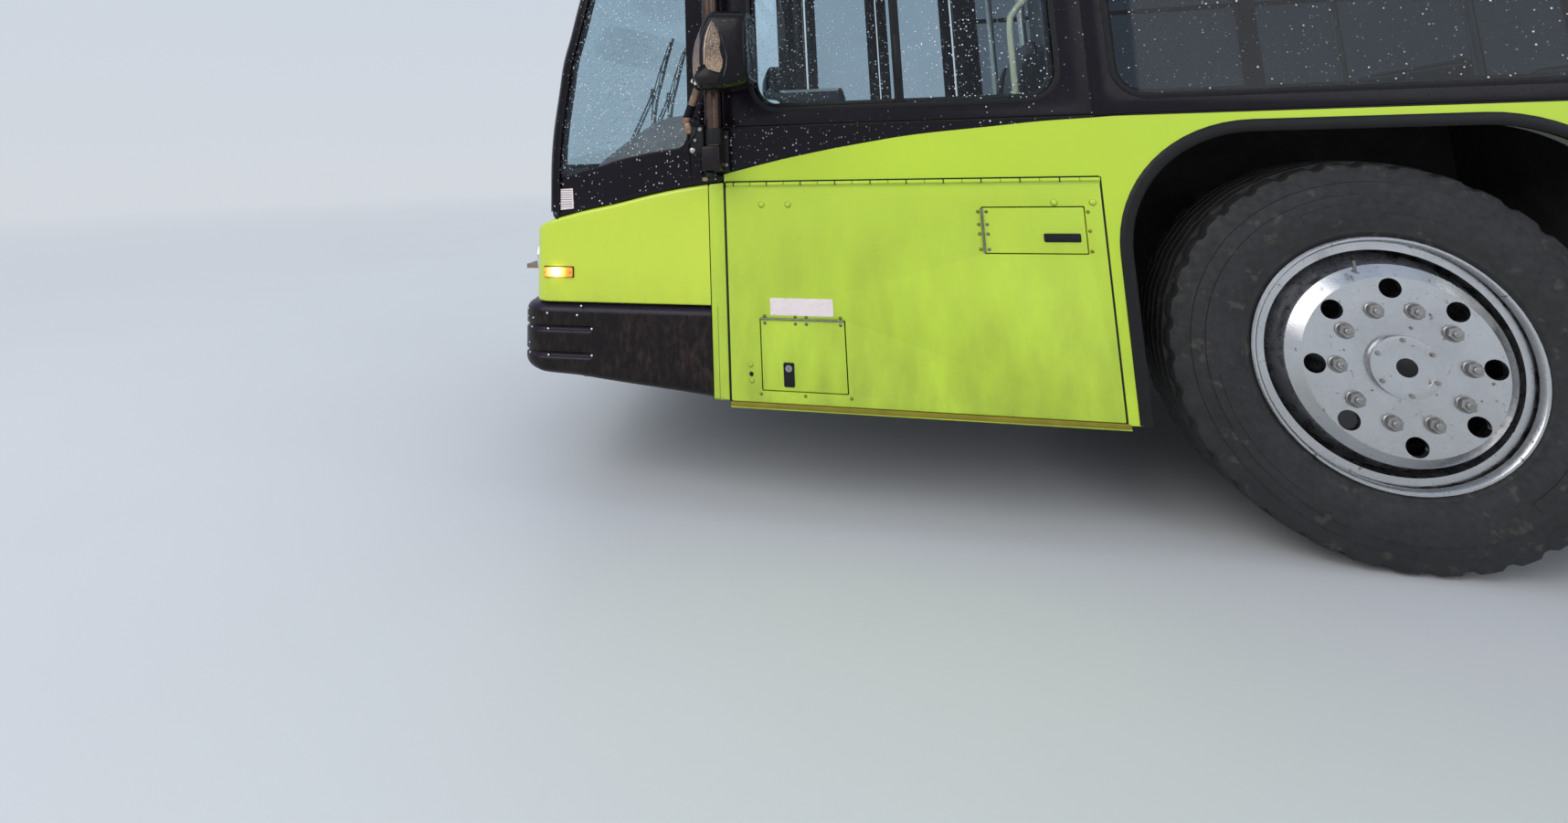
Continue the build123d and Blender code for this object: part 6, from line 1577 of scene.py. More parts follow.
# ------------------------------------------------------------------ wheel-arch trims
g = Geo()
for cx in (AXLE_F, AXLE_R):
    for s in (1, -1):
        def arch(inset):
            h, top, low = 0.575 - inset, 1.085 - inset, 0.3320
            return rounded([(cx - h, low), (cx - h, top), (cx + h, top), (cx + h, low)], [0.0, 0.325 - inset, 0.325 - inset, 0.0], 16)
        outer, inner = arch(-0.0260), arch(0.0040)
        loop = outer + list(reversed(inner))
        for d0, d1, o, i in ((1.2930, 1.3015, -0.0260, 0.0060),):
            a, b = arch(o), arch(i)
            mid = arch((o + i) / 2)
            rows = []
            n = len(a)
            prof = [(0.0, 0.0), (0.0, 0.35), (0.12, 0.75), (0.34, 1.0), (0.66, 1.0), (0.88, 0.80), (1.0, 0.35), (1.0, -1.2), (0.86, -1.2), (0.86, 0.0)]
            for j in range(n):
                row = []
                for u, w in prof:
                    px = a[j][0] + (b[j][0] - a[j][0]) * u
                    pz = a[j][1] + (b[j][1] - a[j][1]) * u
                    row.append(Vector((px, s * (d0 + (d1 - d0) * w), pz)))
                rows.append(row)
            g.rings(rows)
g.make("wheel_arch_trims", [M["rubber"]], slot="black_plastic", smooth=40)
# mud flaps behind the wheels
g = Geo()
for s in (1, -1):
    for x, y0, y1 in ((3.098, 0.945, 1.265), (-4.006, 0.600, 1.265)):
        y0, y1 = sorted((s * y0, s * y1))
        g.box(x, x + 0.010, y0, y1, 0.190, 0.560, 0.0035, 0, 2)
        g.box(x - 0.004, x + 0.014, y0, y1, 0.545, 0.580, 0.002, 1, 1)
        for k in range(4):
            yy = y0 + (y1 - y0) * (k + 0.5) / 4
            g.dome((x - 0.004, yy, 0.5625), (-1, 0, 0), 0.007, 0.004, 10, 1)
        for k in range(int((y1 - y0) / 0.026)):
            g.box(x - 0.0022, x + 0.001, y0 + 0.014 + k * 0.026, y0 + 0.020 + k * 0.026, 0.205, 0.520, 0.0008, 0, 1)
g.make("mud_flaps", [M["rubber"], M["hinge"]], slot="black_plastic")


# ------------------------------------------------------------------ cushions
def pad(geo, size, crown, matrix, n=9, p=5.0, mat=0, dip=None, face="z", channels=()):
    """Stuffed pad: rounded box whose upholstered face swells, with sewn channels and a soft unevenness."""
    hx, hy, hz = (v / 2 for v in size)
    b = bmesh.new()
    bmesh.ops.create_cube(b, size=2.0)
    bmesh.ops.subdivide_edges(b, edges=b.edges[:], cuts=n, use_grid_fill=True)
    for v in b.verts:
        x, y, z = v.co
        m = max(abs(x), abs(y), abs(z))
        if m > 1e-6:
            k = m / (abs(x) ** p + abs(y) ** p + abs(z) ** p) ** (1 / p)
            x, y, z = x * k, y * k, z * k
        top = max(0.0, z)
        swell = crown * top * (1 - x ** 2) * (1 - y ** 2)
        if dip:
            swell -= dip * top * math.exp(-((x - 0.0) ** 2 + (y * 0.9) ** 2) / 0.28)
        for at, deep in channels:
            swell -= deep * top * math.exp(-((x - at) / 0.045) ** 2)
        wob = 0.0014 * math.sin(9.0 * x + 2.1 * y + geo_seed[0]) * math.cos(7.0 * y - 1.3 * x + geo_seed[0] * 0.7) * top
        v.co = Vector((x * hx, y * hy, z * hz + swell + wob))
    geo_seed[0] += 1.37
    return geo.bm(b, mat, matrix)


def piping(geo, size, matrix, level, r=0.0035, p=5.0, mat=0, n=56):
    """Welt sewn round a pad's edge at one level."""
    hx, hy, hz = (v / 2 for v in size)
    pts = []
    w = level
    for k in range(n):
        a = 2 * math.pi * k / n
        ca, sa = math.cos(a), math.sin(a)
        m = max(abs(ca), abs(sa))
        x, y = ca / m, sa / m
        kk = 1.0 / (abs(x) ** p + abs(y) ** p + abs(w) ** p) ** (1 / p)
        pts.append(matrix @ Vector((x * kk * hx, y * kk * hy, w * kk * hz)))
    return geo.tube(pts, r, 6, mat, True, True)


geo_seed = [0.3]


def place(x, y, z, tilt=0.0, turn=0.0):
    return Matrix.Translation((x, y, z)) @ Matrix.Rotation(turn, 4, "Z") @ Matrix.Rotation(tilt, 4, "Y")


# driver's seat: cushion, back with side wings, on a suspension base
SX, SY = 4.640, 0.720
g, w = Geo(), Geo()
m = place(SX + 0.010, SY, 0.872, math.radians(-3))
pad(g, (0.490, 0.490, 0.112), 0.018, m, 11, 5.0, 0, 0.016, channels=((0.55, 0.006), (-0.62, 0.005)))
piping(w, (0.490, 0.490, 0.112), m, 0.62)
for s in (1, -1):
    m = place(SX + 0.005, SY + s * 0.212, 0.905, math.radians(-3))
    pad(g, (0.440, 0.060, 0.070), 0.008, m, 6, 4.0)
# back leans rearward; its local z axis is the sitter's side
bx, bz = SX - 0.222, 1.166
lean = math.radians(90 + 10.5)
m = Matrix.Translation((bx, SY, bz)) @ Matrix.Rotation(math.radians(-10.5), 4, "Y") @ Matrix.Rotation(math.radians(90), 4, "Y")
pad(g, (0.500, 0.470, 0.098), 0.020, m, 11, 4.6, 0, 0.014, channels=((-0.35, 0.006), (0.42, 0.006)))
piping(w, (0.500, 0.470, 0.098), m, 0.55)
for s in (1, -1):
    mm = m @ Matrix.Translation((0.02, s * 0.205, 0.034))
    pad(g, (0.430, 0.062, 0.060), 0.008, mm, 6, 4.0)
drv = g.make("driver_seat_pads", [M["driver_cloth"]], replaces="driver_seat", slot="seat_fabric", smooth=60)
w.make("driver_seat_piping", [M["rubber"]], slot="seat_fabric", smooth=60)
g = Geo()
m2 = m @ Matrix.Translation((0.0, 0.0, -0.058))
b = bmesh.new()
g.box(-0.235, 0.235, -0.215, 0.215, -0.014, 0.020, 0.012, 0, 3, m2)                           # back shell
g.box(SX - 0.235, SX + 0.225, SY - 0.235, SY + 0.235, 0.790, 0.816, 0.008, 0, 3)
rows = []
for i in range(13):                                                                        # bellows
    rr = 0.195 + (0.022 if i % 2 else 0.0)
    rows.append([(SX - 0.010 + math.copysign(min(abs(rr * 1.25 * math.cos(a)), rr), math.cos(a)), SY + math.copysign(min(abs(rr * 1.25 * math.sin(a)), rr), math.sin(a)), 0.694 + i * 0.0075)
                 for a in (2 * math.pi * (k + 0.5) / 48 for k in range(48))])
g.rings([[Vector(p) for p in r] for r in rows], True, True, 1)
g.box(SX - 0.240, SX + 0.210, SY - 0.215, SY + 0.215, 0.6805, 0.6980, 0.004, 1, 2)
for s in (1, -1):
    g.box(SX - 0.060, SX + 0.110, SY + s * 0.245 - 0.012, SY + s * 0.245 + 0.012, 0.812, 0.836, 0.008, 1, 3)
    g.lathe([(0.0, 0.0), (0.020, 0.0), (0.024, 0.006), (0.020, 0.018), (0.0, 0.020)], (SX + 0.120, SY + s * 0.236, 0.806), (0, s, 0), 20, 1)
g.tube([(SX - 0.235, SY - 0.225, 0.83), (SX - 0.200, SY - 0.262, 0.90), (SX - 0.215, SY - 0.255, 0.98)], 0.010, 10, 1)
g.box(SX - 0.225, SX - 0.195, SY - 0.275, SY - 0.240, 0.960, 1.030, 0.005, 2, 2)
g.make("driver_seat_frame", [M["dash_dark"], M["rubber"], M["red_lens"]], slot="dash_plastic")

# passenger seats: moulded shell on a cantilever frame, padded insert in seat and back
SEAT_ROWS = [
    # front edge x, floor z
    (2.850, 0.380), (2.100, 0.380), (1.350, 0.380), (0.600, 0.380), (-0.150, 0.380), (-2.560, 1.120), (-3.400, 1.120), (-4.150, 0.760),
]
pads, shells, frames_ = Geo(), Geo(), Geo()


def shell_surface(geo, cx, cy, top, wide, back_h, mat):
    """Thin moulded seat and back in one piece, seen from the side a lazy S."""
    line = [(0.225, -0.030), (0.222, -0.006), (0.200, 0.006), (0.120, 0.000), (0.020, -0.008), (-0.090, -0.012), (-0.150, 0.000), (-0.185, 0.035),
            (-0.200, 0.100), (-0.216, 0.220), (-0.236, 0.360), (-0.250, 0.470), (-0.254, back_h - 0.020), (-0.262, back_h)]
    rows = []
    n = 12
    for x, z in line:
        up_, dn = [], []
        for k in range(n + 1):
            v = -1 + 2 * k / n
            lift = 0.020 * abs(v) ** 4
            shrink = 1.0 - (0.06 if z > back_h - 0.03 else 0.0)
            up_.append(Vector((cx + x + lift * (0.6 if z > 0.03 else 0.0), cy + v * wide * shrink, top + z + (lift if z < 0.05 else 0.0))))
            dn.append(Vector((cx + x - (0.011 if z > 0.03 else 0.0) + lift * (0.6 if z > 0.03 else 0.0), cy + v * wide * shrink, top + z - (0.011 if z <= 0.05 else 0.004) + (lift if z < 0.05 else 0.0))))
        rows.append(up_ + list(reversed(dn)))
    geo.rings(rows, True, True, mat)


for x1, base in SEAT_ROWS:
    top = max(base + 0.330, base + 0.100) if base < 1.0 else 1.450
    top = {0.380: 0.835, 1.120: 1.495, 0.760: 1.205}[base]
    for s in (1, -1):
        if s < 0 and -2.2 < x1 < -1.1:
            continue
        for cy in (s * 0.612, s * 1.018):
            cx = x1 - 0.232
            shell_surface(shells, cx, cy, top, 0.196, 0.545, 0)
            pad(pads, (0.370, 0.345, 0.042), 0.010, place(cx + 0.015, cy, top + 0.016), 7, 5.0, 0, 0.006)
            mb = Matrix.Translation((cx - 0.203, cy, top + 0.285)) @ Matrix.Rotation(math.radians(-6.0), 4, "Y") @ Matrix.Rotation(math.radians(90), 4, "Y")
            pad(pads, (0.400, 0.335, 0.040), 0.010, mb, 7, 4.6, 0, 0.005)
        # cantilever beam to the wall, pedestal leg, grab bar over the backs
        y0, y1 = sorted((s * 0.430, s * 1.215))
        cx = x1 - 0.232
        for dx in (-0.12, 0.12):
            frames_.box(cx + dx - 0.018, cx + dx + 0.018, y0, y1, top - 0.075, top - 0.035, 0.006, 0, 2)
        frames_.box(cx - 0.150, cx + 0.150, s * 0.560 - 0.020, s * 0.560 + 0.020, top - 0.085, top - 0.060, 0.005, 0, 2)
        frames_.tube([(cx, s * 0.560, top - 0.080), (cx, s * 0.560, base + 0.012)], 0.024, 16, 0)
        frames_.box(cx - 0.070, cx + 0.070, s * 0.560 - 0.045, s * 0.560 + 0.045, base + 0.001, base + 0.013, 0.003, 0, 2)
        bar = [(cx - 0.262, s * 0.430, top + 0.300), (cx - 0.268, s * 0.418, top + 0.480), (cx - 0.268, s * 0.430, top + 0.548), (cx - 0.268, s * 0.480, top + 0.566),
               (cx - 0.268, s * 0.800, top + 0.566), (cx - 0.268, s * 1.150, top + 0.566), (cx - 0.268, s * 1.200, top + 0.552), (cx - 0.262, s * 1.212, top + 0.480), (cx - 0.262, s * 1.212, top + 0.300)]
        frames_.tube(bar, 0.0140, 12, 1)
# rear bench: five places in one row against the engine wall
top = 1.255
for k in range(5):
    cy = -0.86 + 0.43 * k
    pad(pads, (0.300, 0.415, 0.085), 0.014, place(-4.935, cy, top - 0.045), 8, 5.0, 0, 0.010)
    mb = Matrix.Translation((-5.025, cy, top + 0.262)) @ Matrix.Rotation(math.radians(-3.0), 4, "Y") @ Matrix.Rotation(math.radians(90), 4, "Y")
    pad(pads, (0.480, 0.415, 0.065), 0.014, mb, 8, 4.6, 0, 0.008)
ps = pads.make("passenger_seat_pads", [M["seat_cloth"]], replaces="passenger_seats", slot="seat_fabric", smooth=60)
shells.box(-5.060, -4.800, -1.080, 1.080, top - 0.150, top - 0.090, 0.012, 0, 3)
M["seat_shell"] = surface("moulded_seat_shell", srgb(66, 72, 84), 0.42, var=0.1, scale=6.0, bumps=[(300.0, 3.0, 0.0002)])
shells.make("seat_shells", [M["seat_shell"]], slot="seat_fabric", smooth=50)
frames_.make("seat_frames", [M["hinge"], M["rail"]], slot="stainless", smooth=40)

# ------------------------------------------------------------------ dashboard, instrument hood, column and wheel
M["hood"] = surface("instrument_hood", srgb(142, 134, 130), 0.5, var=0.10, scale=16.0, rough_var=0.1, bumps=[(380.0, 3.0, 0.0003), (9.0, 2.0, 0.002)])
HOOD_LINE = [(5.302, 0.982), (5.300, 1.040), (5.303, 1.080), (5.318, 1.112), (5.345, 1.142), (5.400, 1.171), (5.460, 1.188), (5.520, 1.196), (5.580, 1.197),
             (5.640, 1.190), (5.685, 1.175), (5.730, 1.150), (5.780, 1.117), (5.840, 1.075), (5.880, 1.046), (5.900, 1.022), (5.906, 0.982)]
rows = []
for k in range(33):
    v = -1 + 2 * k / 32
    y = 0.740 + v * 0.380
    edge = (1 - abs(v)) * 0.380
    rr = 0.070
    round_ = 1.0 if edge > rr else math.sqrt(max(0.0, 1 - ((rr - edge) / rr) ** 2))
    row = []
    for x, z in HOOD_LINE:
        zz = 0.982 + (z - 0.982) * (0.62 + 0.38 * round_) if z > 0.99 else z
        zz -= 0.012 * (y - 0.740) if y > 0.740 else 0.0
        row.append(Vector((x + (0.020 * (1 - round_) if x < 5.5 else -0.030 * (1 - round_)), y, max(0.982, zz))))
    rows.append(row)
g = Geo()
g.rings(rows)
# instrument face with blank dials, switches and vents
g.box(5.292, 5.312, 0.430, 1.050, 1.000, 1.118, 0.006, 1, 2)
for y, r in ((0.600, 0.052), (0.740, 0.052), (0.860, 0.034), (0.940, 0.034)):
    g.lathe([(r, 0.0), (r + 0.004, 0.003), (r + 0.003, 0.007), (r - 0.001, 0.007), (r - 0.003, 0.002), (0.0, 0.002)], (5.2925, y, 1.062), (-1, 0, 0.1), 30, 2)
for k in range(9):
    g.box(5.286, 5.300, 0.455 + k * 0.036, 0.481 + k * 0.036, 1.006, 1.022, 0.002, 2, 1)
for k in range(4):
    g.box(5.430 + k * 0.028, 5.442 + k * 0.028, 0.500, 0.980, 1.1935, 1.1985, 0.0015, 2, 1)
hood = g.make("instrument_hood", [M["hood"], M["dash_dark"], M["rubber"]], replaces="dashboard", slot="dash_plastic", smooth=50)
g = Geo()
# top shelf that follows the windshield, with defroster slots
outline = []
for k in range(25):
    y = 1.150 - 2.300 * k / 24
    outline.append((POST_X + 0.510 + 0.085 * (1 - (y / 1.233) ** 2), y))
outline += [(5.470, -1.150), (5.470, 0.300), (5.440, 0.360), (5.440, 1.150)]
g.prism(outline, top_place, 0.9605, 0.9795, 0.006)
for k in range(24):
    y = 1.05 - 0.088 * k
    g.box(POST_X + 0.470 + 0.085 * (1 - (y / 1.233) ** 2), POST_X + 0.492 + 0.085 * (1 - (y / 1.233) ** 2), y - 0.034, y + 0.034, 0.9785, 0.9815, 0.001, 1, 1)
# driver's foot panel, curb-side lining, drawer fronts
g.prism([(5.3945, 0.684), (5.4220, 0.684), (5.5600, 0.958), (5.9000, 0.958), (5.9000, 0.942), (5.6400, 0.942), (5.4300, 0.642), (5.3945, 0.642)], side_place, 0.392, 1.148, 0.003)
g.prism([(5.4700, 0.960), (5.4500, 0.960), (5.4300, 0.420), (5.4500, 0.420)], side_place, -1.140, 0.380, 0.004)
for y0, y1 in ((-1.05, -0.60), (-0.55, -0.10), (-0.05, 0.33)):
    g.box(5.4200, 5.4500, y0, y1, 0.700, 0.900, 0.006, 1, 2)
    g.box(5.4120, 5.4260, (y0 + y1) / 2 - 0.050, (y0 + y1) / 2 + 0.050, 0.865, 0.885, 0.004, 2, 2)
g.make("dash_shelf", [M["dash"], M["dash_dark"], M["rubber"]], slot="dash_plastic")
# column, cowl, stalks, pedals, horn-ring wheel
g = Geo()
ax = Vector((-0.4226183, 0.0, 0.9063078))
wc = Vector((5.110, 0.720, 1.185))
g.lathe([(0.0, -0.552), (0.034, -0.552), (0.034, -0.300), (0.030, -0.290), (0.030, -0.120), (0.058, -0.105), (0.066, -0.050), (0.055, -0.026), (0.0, -0.026)], wc, ax, 32, 0)
g.box(5.2800, 5.3870, 0.660, 0.780, 0.6820, 0.7000, 0.005, 0, 2)
side = Vector((0, 1, 0))
for s, ln in ((1, 0.165), (-1, 0.150)):
    p0 = wc - ax * 0.070 + side * s * 0.050
    g.tube([p0, p0 + side * s * 0.06 + ax * 0.006, p0 + side * s * ln + ax * 0.018], [0.0085, 0.0065, 0.0095], 12, 0)
for y, wdt, zt in ((0.560, 0.090, 0.760), (0.860, 0.120, 0.770)):
    m = Matrix.Translation((5.3300, y, zt)) @ Matrix.Rotation(math.radians(-55), 4, "Y")
    g.box(-0.085, 0.085, -wdt / 2, wdt / 2, -0.007, 0.007, 0.005, 0, 2, m)
    for k in range(7):
        g.box(-0.070 + k * 0.022, -0.062 + k * 0.022, -wdt / 2 + 0.008, wdt / 2 - 0.008, 0.006, 0.0095, 0.001, 1, 1, m)
    g.tube([(5.3600, y, zt - 0.01), (5.3900, y, zt - 0.045)], 0.010, 10, 0)
g.make("column_and_pedals", [M["dash_dark"], M["rubber"]], slot="dash_plastic")
g = Geo()
s1 = ax.orthogonal().normalized()
s2 = ax.cross(s1)
rim = [wc + (s1 * math.cos(a) + s2 * math.sin(a)) * 0.235 for a in (2 * math.pi * k / 72 for k in range(72))]
g.tube(rim, [0.0132 + 0.0008 * math.cos(k * math.pi * 2 / 3) for k in range(72)], 14, 0, False, True)
g.lathe([(0.0, -0.020), (0.050, -0.020), (0.056, -0.008), (0.056, 0.006), (0.048, 0.016), (0.024, 0.021), (0.0, 0.022)], wc, ax, 36, 0)
fwd = Vector((0.9063078, 0, 0.4226183))
for k in range(3):
    a = math.radians(90 + 120 * k)
    d = fwd * math.cos(a) + Vector((0, 1, 0)) * math.sin(a)
    e = ax.cross(d)
    rows = []
    for t, wd, th, dz in ((0.045, 0.020, 0.008, 0.004), (0.075, 0.017, 0.006, -0.002), (0.120, 0.014, 0.005, -0.006), (0.180, 0.013, 0.005, -0.005), (0.228, 0.017, 0.007, 0.0)):
        c = wc + d * t + ax * dz
        rows.append([c + e * wd * math.cos(q) + ax * th * math.sin(q) for q in (2 * math.pi * j / 12 for j in range(12))])
    g.rings(rows, True, True, 0)
g.make("steering_wheel_rim", [M["dash_dark"]], "steering_wheel", "steering_wheel", "dash_plastic", smooth=60)

# ------------------------------------------------------------------ fare box, barrier, curved hand rail behind the driver, linings
g = Geo()
g.box(5.0640, 5.3260, 0.064, 0.326, 0.3810, 1.2400, 0.018, 0, 4)
g.box(5.0560, 5.3340, 0.056, 0.334, 1.2350, 1.3270, 0.020, 1, 4)
g.box(5.0600, 5.0680, 0.090, 0.300, 0.7600, 1.1800, 0.004, 1, 2)
g.box(5.0520, 5.0600, 0.130, 0.260, 1.2550, 1.3050, 0.004, 2, 2)
for z in (0.50, 0.62):
    g.box(5.0600, 5.0660, 0.100, 0.290, z, z + 0.012, 0.002, 2, 1)
g.make("farebox_details", [M["rail"], M["dash_dark"], M["screen"]], slot="stainless")
g = Geo()
g.tube([(4.3400, 1.110, 1.6400), (4.3900, 1.110, 1.5720), (4.4460, 1.110, 1.5200), (4.4830, 1.110, 1.4860), (4.5040, 1.110, 1.4560), (4.5080, 1.110, 1.4200),
        (4.5085, 1.110, 1.3830), (4.5085, 1.110, 1.3000), (4.5090, 1.110, 1.1500), (4.5120, 1.110, 0.9000), (4.5180, 1.110, 0.6820)],
       0.0105, 16, 0)
g.lathe([(0.0, 0.0), (0.034, 0.0), (0.034, 0.004), (0.018, 0.010), (0.0, 0.012)], (4.5180, 1.110, 0.6815), (0, 0, 1), 24, 0)
g.tube([(4.3400, 1.110, 1.6400), (4.3400, 1.110, 1.9000), (4.3350, 1.112, 2.3000), (4.3350, 1.105, 2.6600)], 0.0105, 16, 0)
M["cream_rail"] = surface("cream_coated_rail", srgb(240, 226, 188), 0.30, coat=0.3, var=0.06, scale=30.0, bumps=[(300.0, 2.0, 0.0001)])
g.make("driver_hand_rail", [M["cream_rail"]], slot="stainless", smooth=50)
# barrier behind the driver, modesty panels at the doors
g = Geo()
g.box(4.2900, 4.3080, 0.400, 1.215, 0.690, 1.900, 0.006, 0, 2)
for x, y0, y1, zb in ((-1.075, -1.120, -0.400, 0.430), (-2.245, -1.120, -0.560, 0.640)):
    g.box(x - 0.006, x + 0.006, y0, y1, zb, zb + 0.780, 0.004, 0, 2)
g.make("barriers", [M["seat_shell"]], slot="dash_plastic")
# ceiling lining with two light strips and coves, wall lining at the sills
g = Geo()
sec = [(-1.215, 2.235), (-1.185, 2.420), (-1.120, 2.560), (-1.000, 2.655), (-0.860, 2.700), (-0.600, 2.735), (0.0, 2.760), (0.600, 2.735), (0.860, 2.700), (1.000, 2.655),
       (1.120, 2.560), (1.185, 2.420), (1.215, 2.235)]
rows = []
for x in [5.350, 5.0, 4.0, 3.0, 2.44]:
    rows.append([Vector((x, y, z)) for y, z in sec] + [Vector((x, y * 0.995, z + 0.012)) for y, z in reversed(sec)])
g.rings(rows, True, True, 0)
for a, b in ((1.74, -2.56), (-3.26, -4.98)):
    rows = []
    for t in range(5):
        x = a + (b - a) * t / 4
        rows.append([Vector((x, y, z)) for y, z in sec] + [Vector((x, y * 0.995, z + 0.012)) for y, z in reversed(sec)])
    g.rings(rows, True, True, 0)
for s in (1, -1):
    for x0, x1 in ((5.25, 2.50), (1.70, -2.50), (-3.30, -4.95)):
        n = int(abs(x1 - x0) / 0.62)
        for k in range(n):
            a, b = x0 + (x1 - x0) * (k + 0.08) / n, x0 + (x1 - x0) * (k + 0.92) / n
            y0, y1 = sorted((s * 0.640, s * 0.780))
            g.box(min(a, b), max(a, b), y0, y1, 2.700, 2.722, 0.006, 1, 2)
ceil = g.make("ceiling_lining", [M["lining"], M["strip_light"] if "strip_light" in M else M["white_plastic"]], slot="dash_plastic", smooth=40)
g = Geo()
for s in (1, -1):
    spans = [(-4.75, 4.30)] if s > 0 else [(-4.75, -2.17), (-1.10, 4.34)]
    for a, b in spans:
        y0, y1 = sorted((s * 1.2200, s * 1.2330))
        g.box(a, b, y0, y1, 1.140, 1.178, 0.004, 0, 2)
        g.box(a, b, y0, y1, 2.135, 2.205, 0.004, 0, 2)
g.make("inner_sills", [M["lining"]], slot="dash_plastic")
# clamps and sockets of the rails
g = Geo()
for x, y in ((2.860, 0.380), (2.860, -0.380), (1.360, 0.380), (1.360, -0.380), (-0.140, 0.380), (-0.140, -0.380), (-3.410, 0.380), (-3.410, -0.380), (4.330, -0.380), (4.330, 0.380)):
    base = 0.760 if x < -3 else 0.380
    g.lathe([(0.0162, 0.0), (0.040, 0.0), (0.040, 0.004), (0.0240, 0.008), (0.0220, 0.026), (0.0162, 0.028)], (x, y, base + 0.0005), (0, 0, 1), 24, 0, True)
    g.lathe([(0.0162, 0.0), (0.0220, 0.0), (0.0220, 0.045), (0.0162, 0.045)], (x, y, 2.0950), (0, 0, 1), 20, 0, True)
    g.box(x - 0.030, x + 0.030, y - 0.022, y + 0.022, 2.127, 2.173, 0.008, 0, 3)
for y in (-0.380, 0.380):
    for x in (-3.4, -1.4, 0.6, 2.6, 4.3):
        g.box(x - 0.022, x + 0.022, y - 0.020, y + 0.020, 2.128, 2.176, 0.008, 0, 3)
    for k in range(22):
        x = -3.2 + k * 0.36
        if min(abs(x - q) for q in (-3.4, -1.4, 0.6, 2.6, 4.3, 2.86, 1.36, -0.14, -3.41, 4.33)) < 0.06:
            continue
        g.lathe([(0.0164, -0.012), (0.0195, -0.012), (0.0195, 0.012), (0.0164, 0.012)], (x, y, 2.150), (1, 0, 0), 16, 0, True)
        g.box(x - 0.010, x + 0.010, y - 0.0025, y + 0.0025, 2.010, 2.136, 0.002, 1, 1)
        ring = [(x, y + 0.0 + 0.062 * math.sin(a), 1.950 + 0.062 * math.cos(a)) for a in (2 * math.pi * j / 20 for j in range(20))]
        g.tube(ring, 0.0065, 8, 1, False, True)
g.make("rail_fittings", [M["hinge"], M["rubber"]], slot="stainless", smooth=45)
# ramp plate set in the floor at the front door
g = Geo()
g.box(4.480, 5.270, -1.180, -0.420, 0.3805, 0.3865, 0.003, 0, 2)
g.box(4.470, 5.280, -1.190, -1.182, 0.3805, 0.3890, 0.002, 1, 1)
for k in range(13):
    g.box(4.500 + k * 0.060, 4.512 + k * 0.060, -1.160, -0.440, 0.3860, 0.3880, 0.001, 0, 1)
g.make("ramp_plate", [M["hinge"], M["rubber"]], slot="stainless")


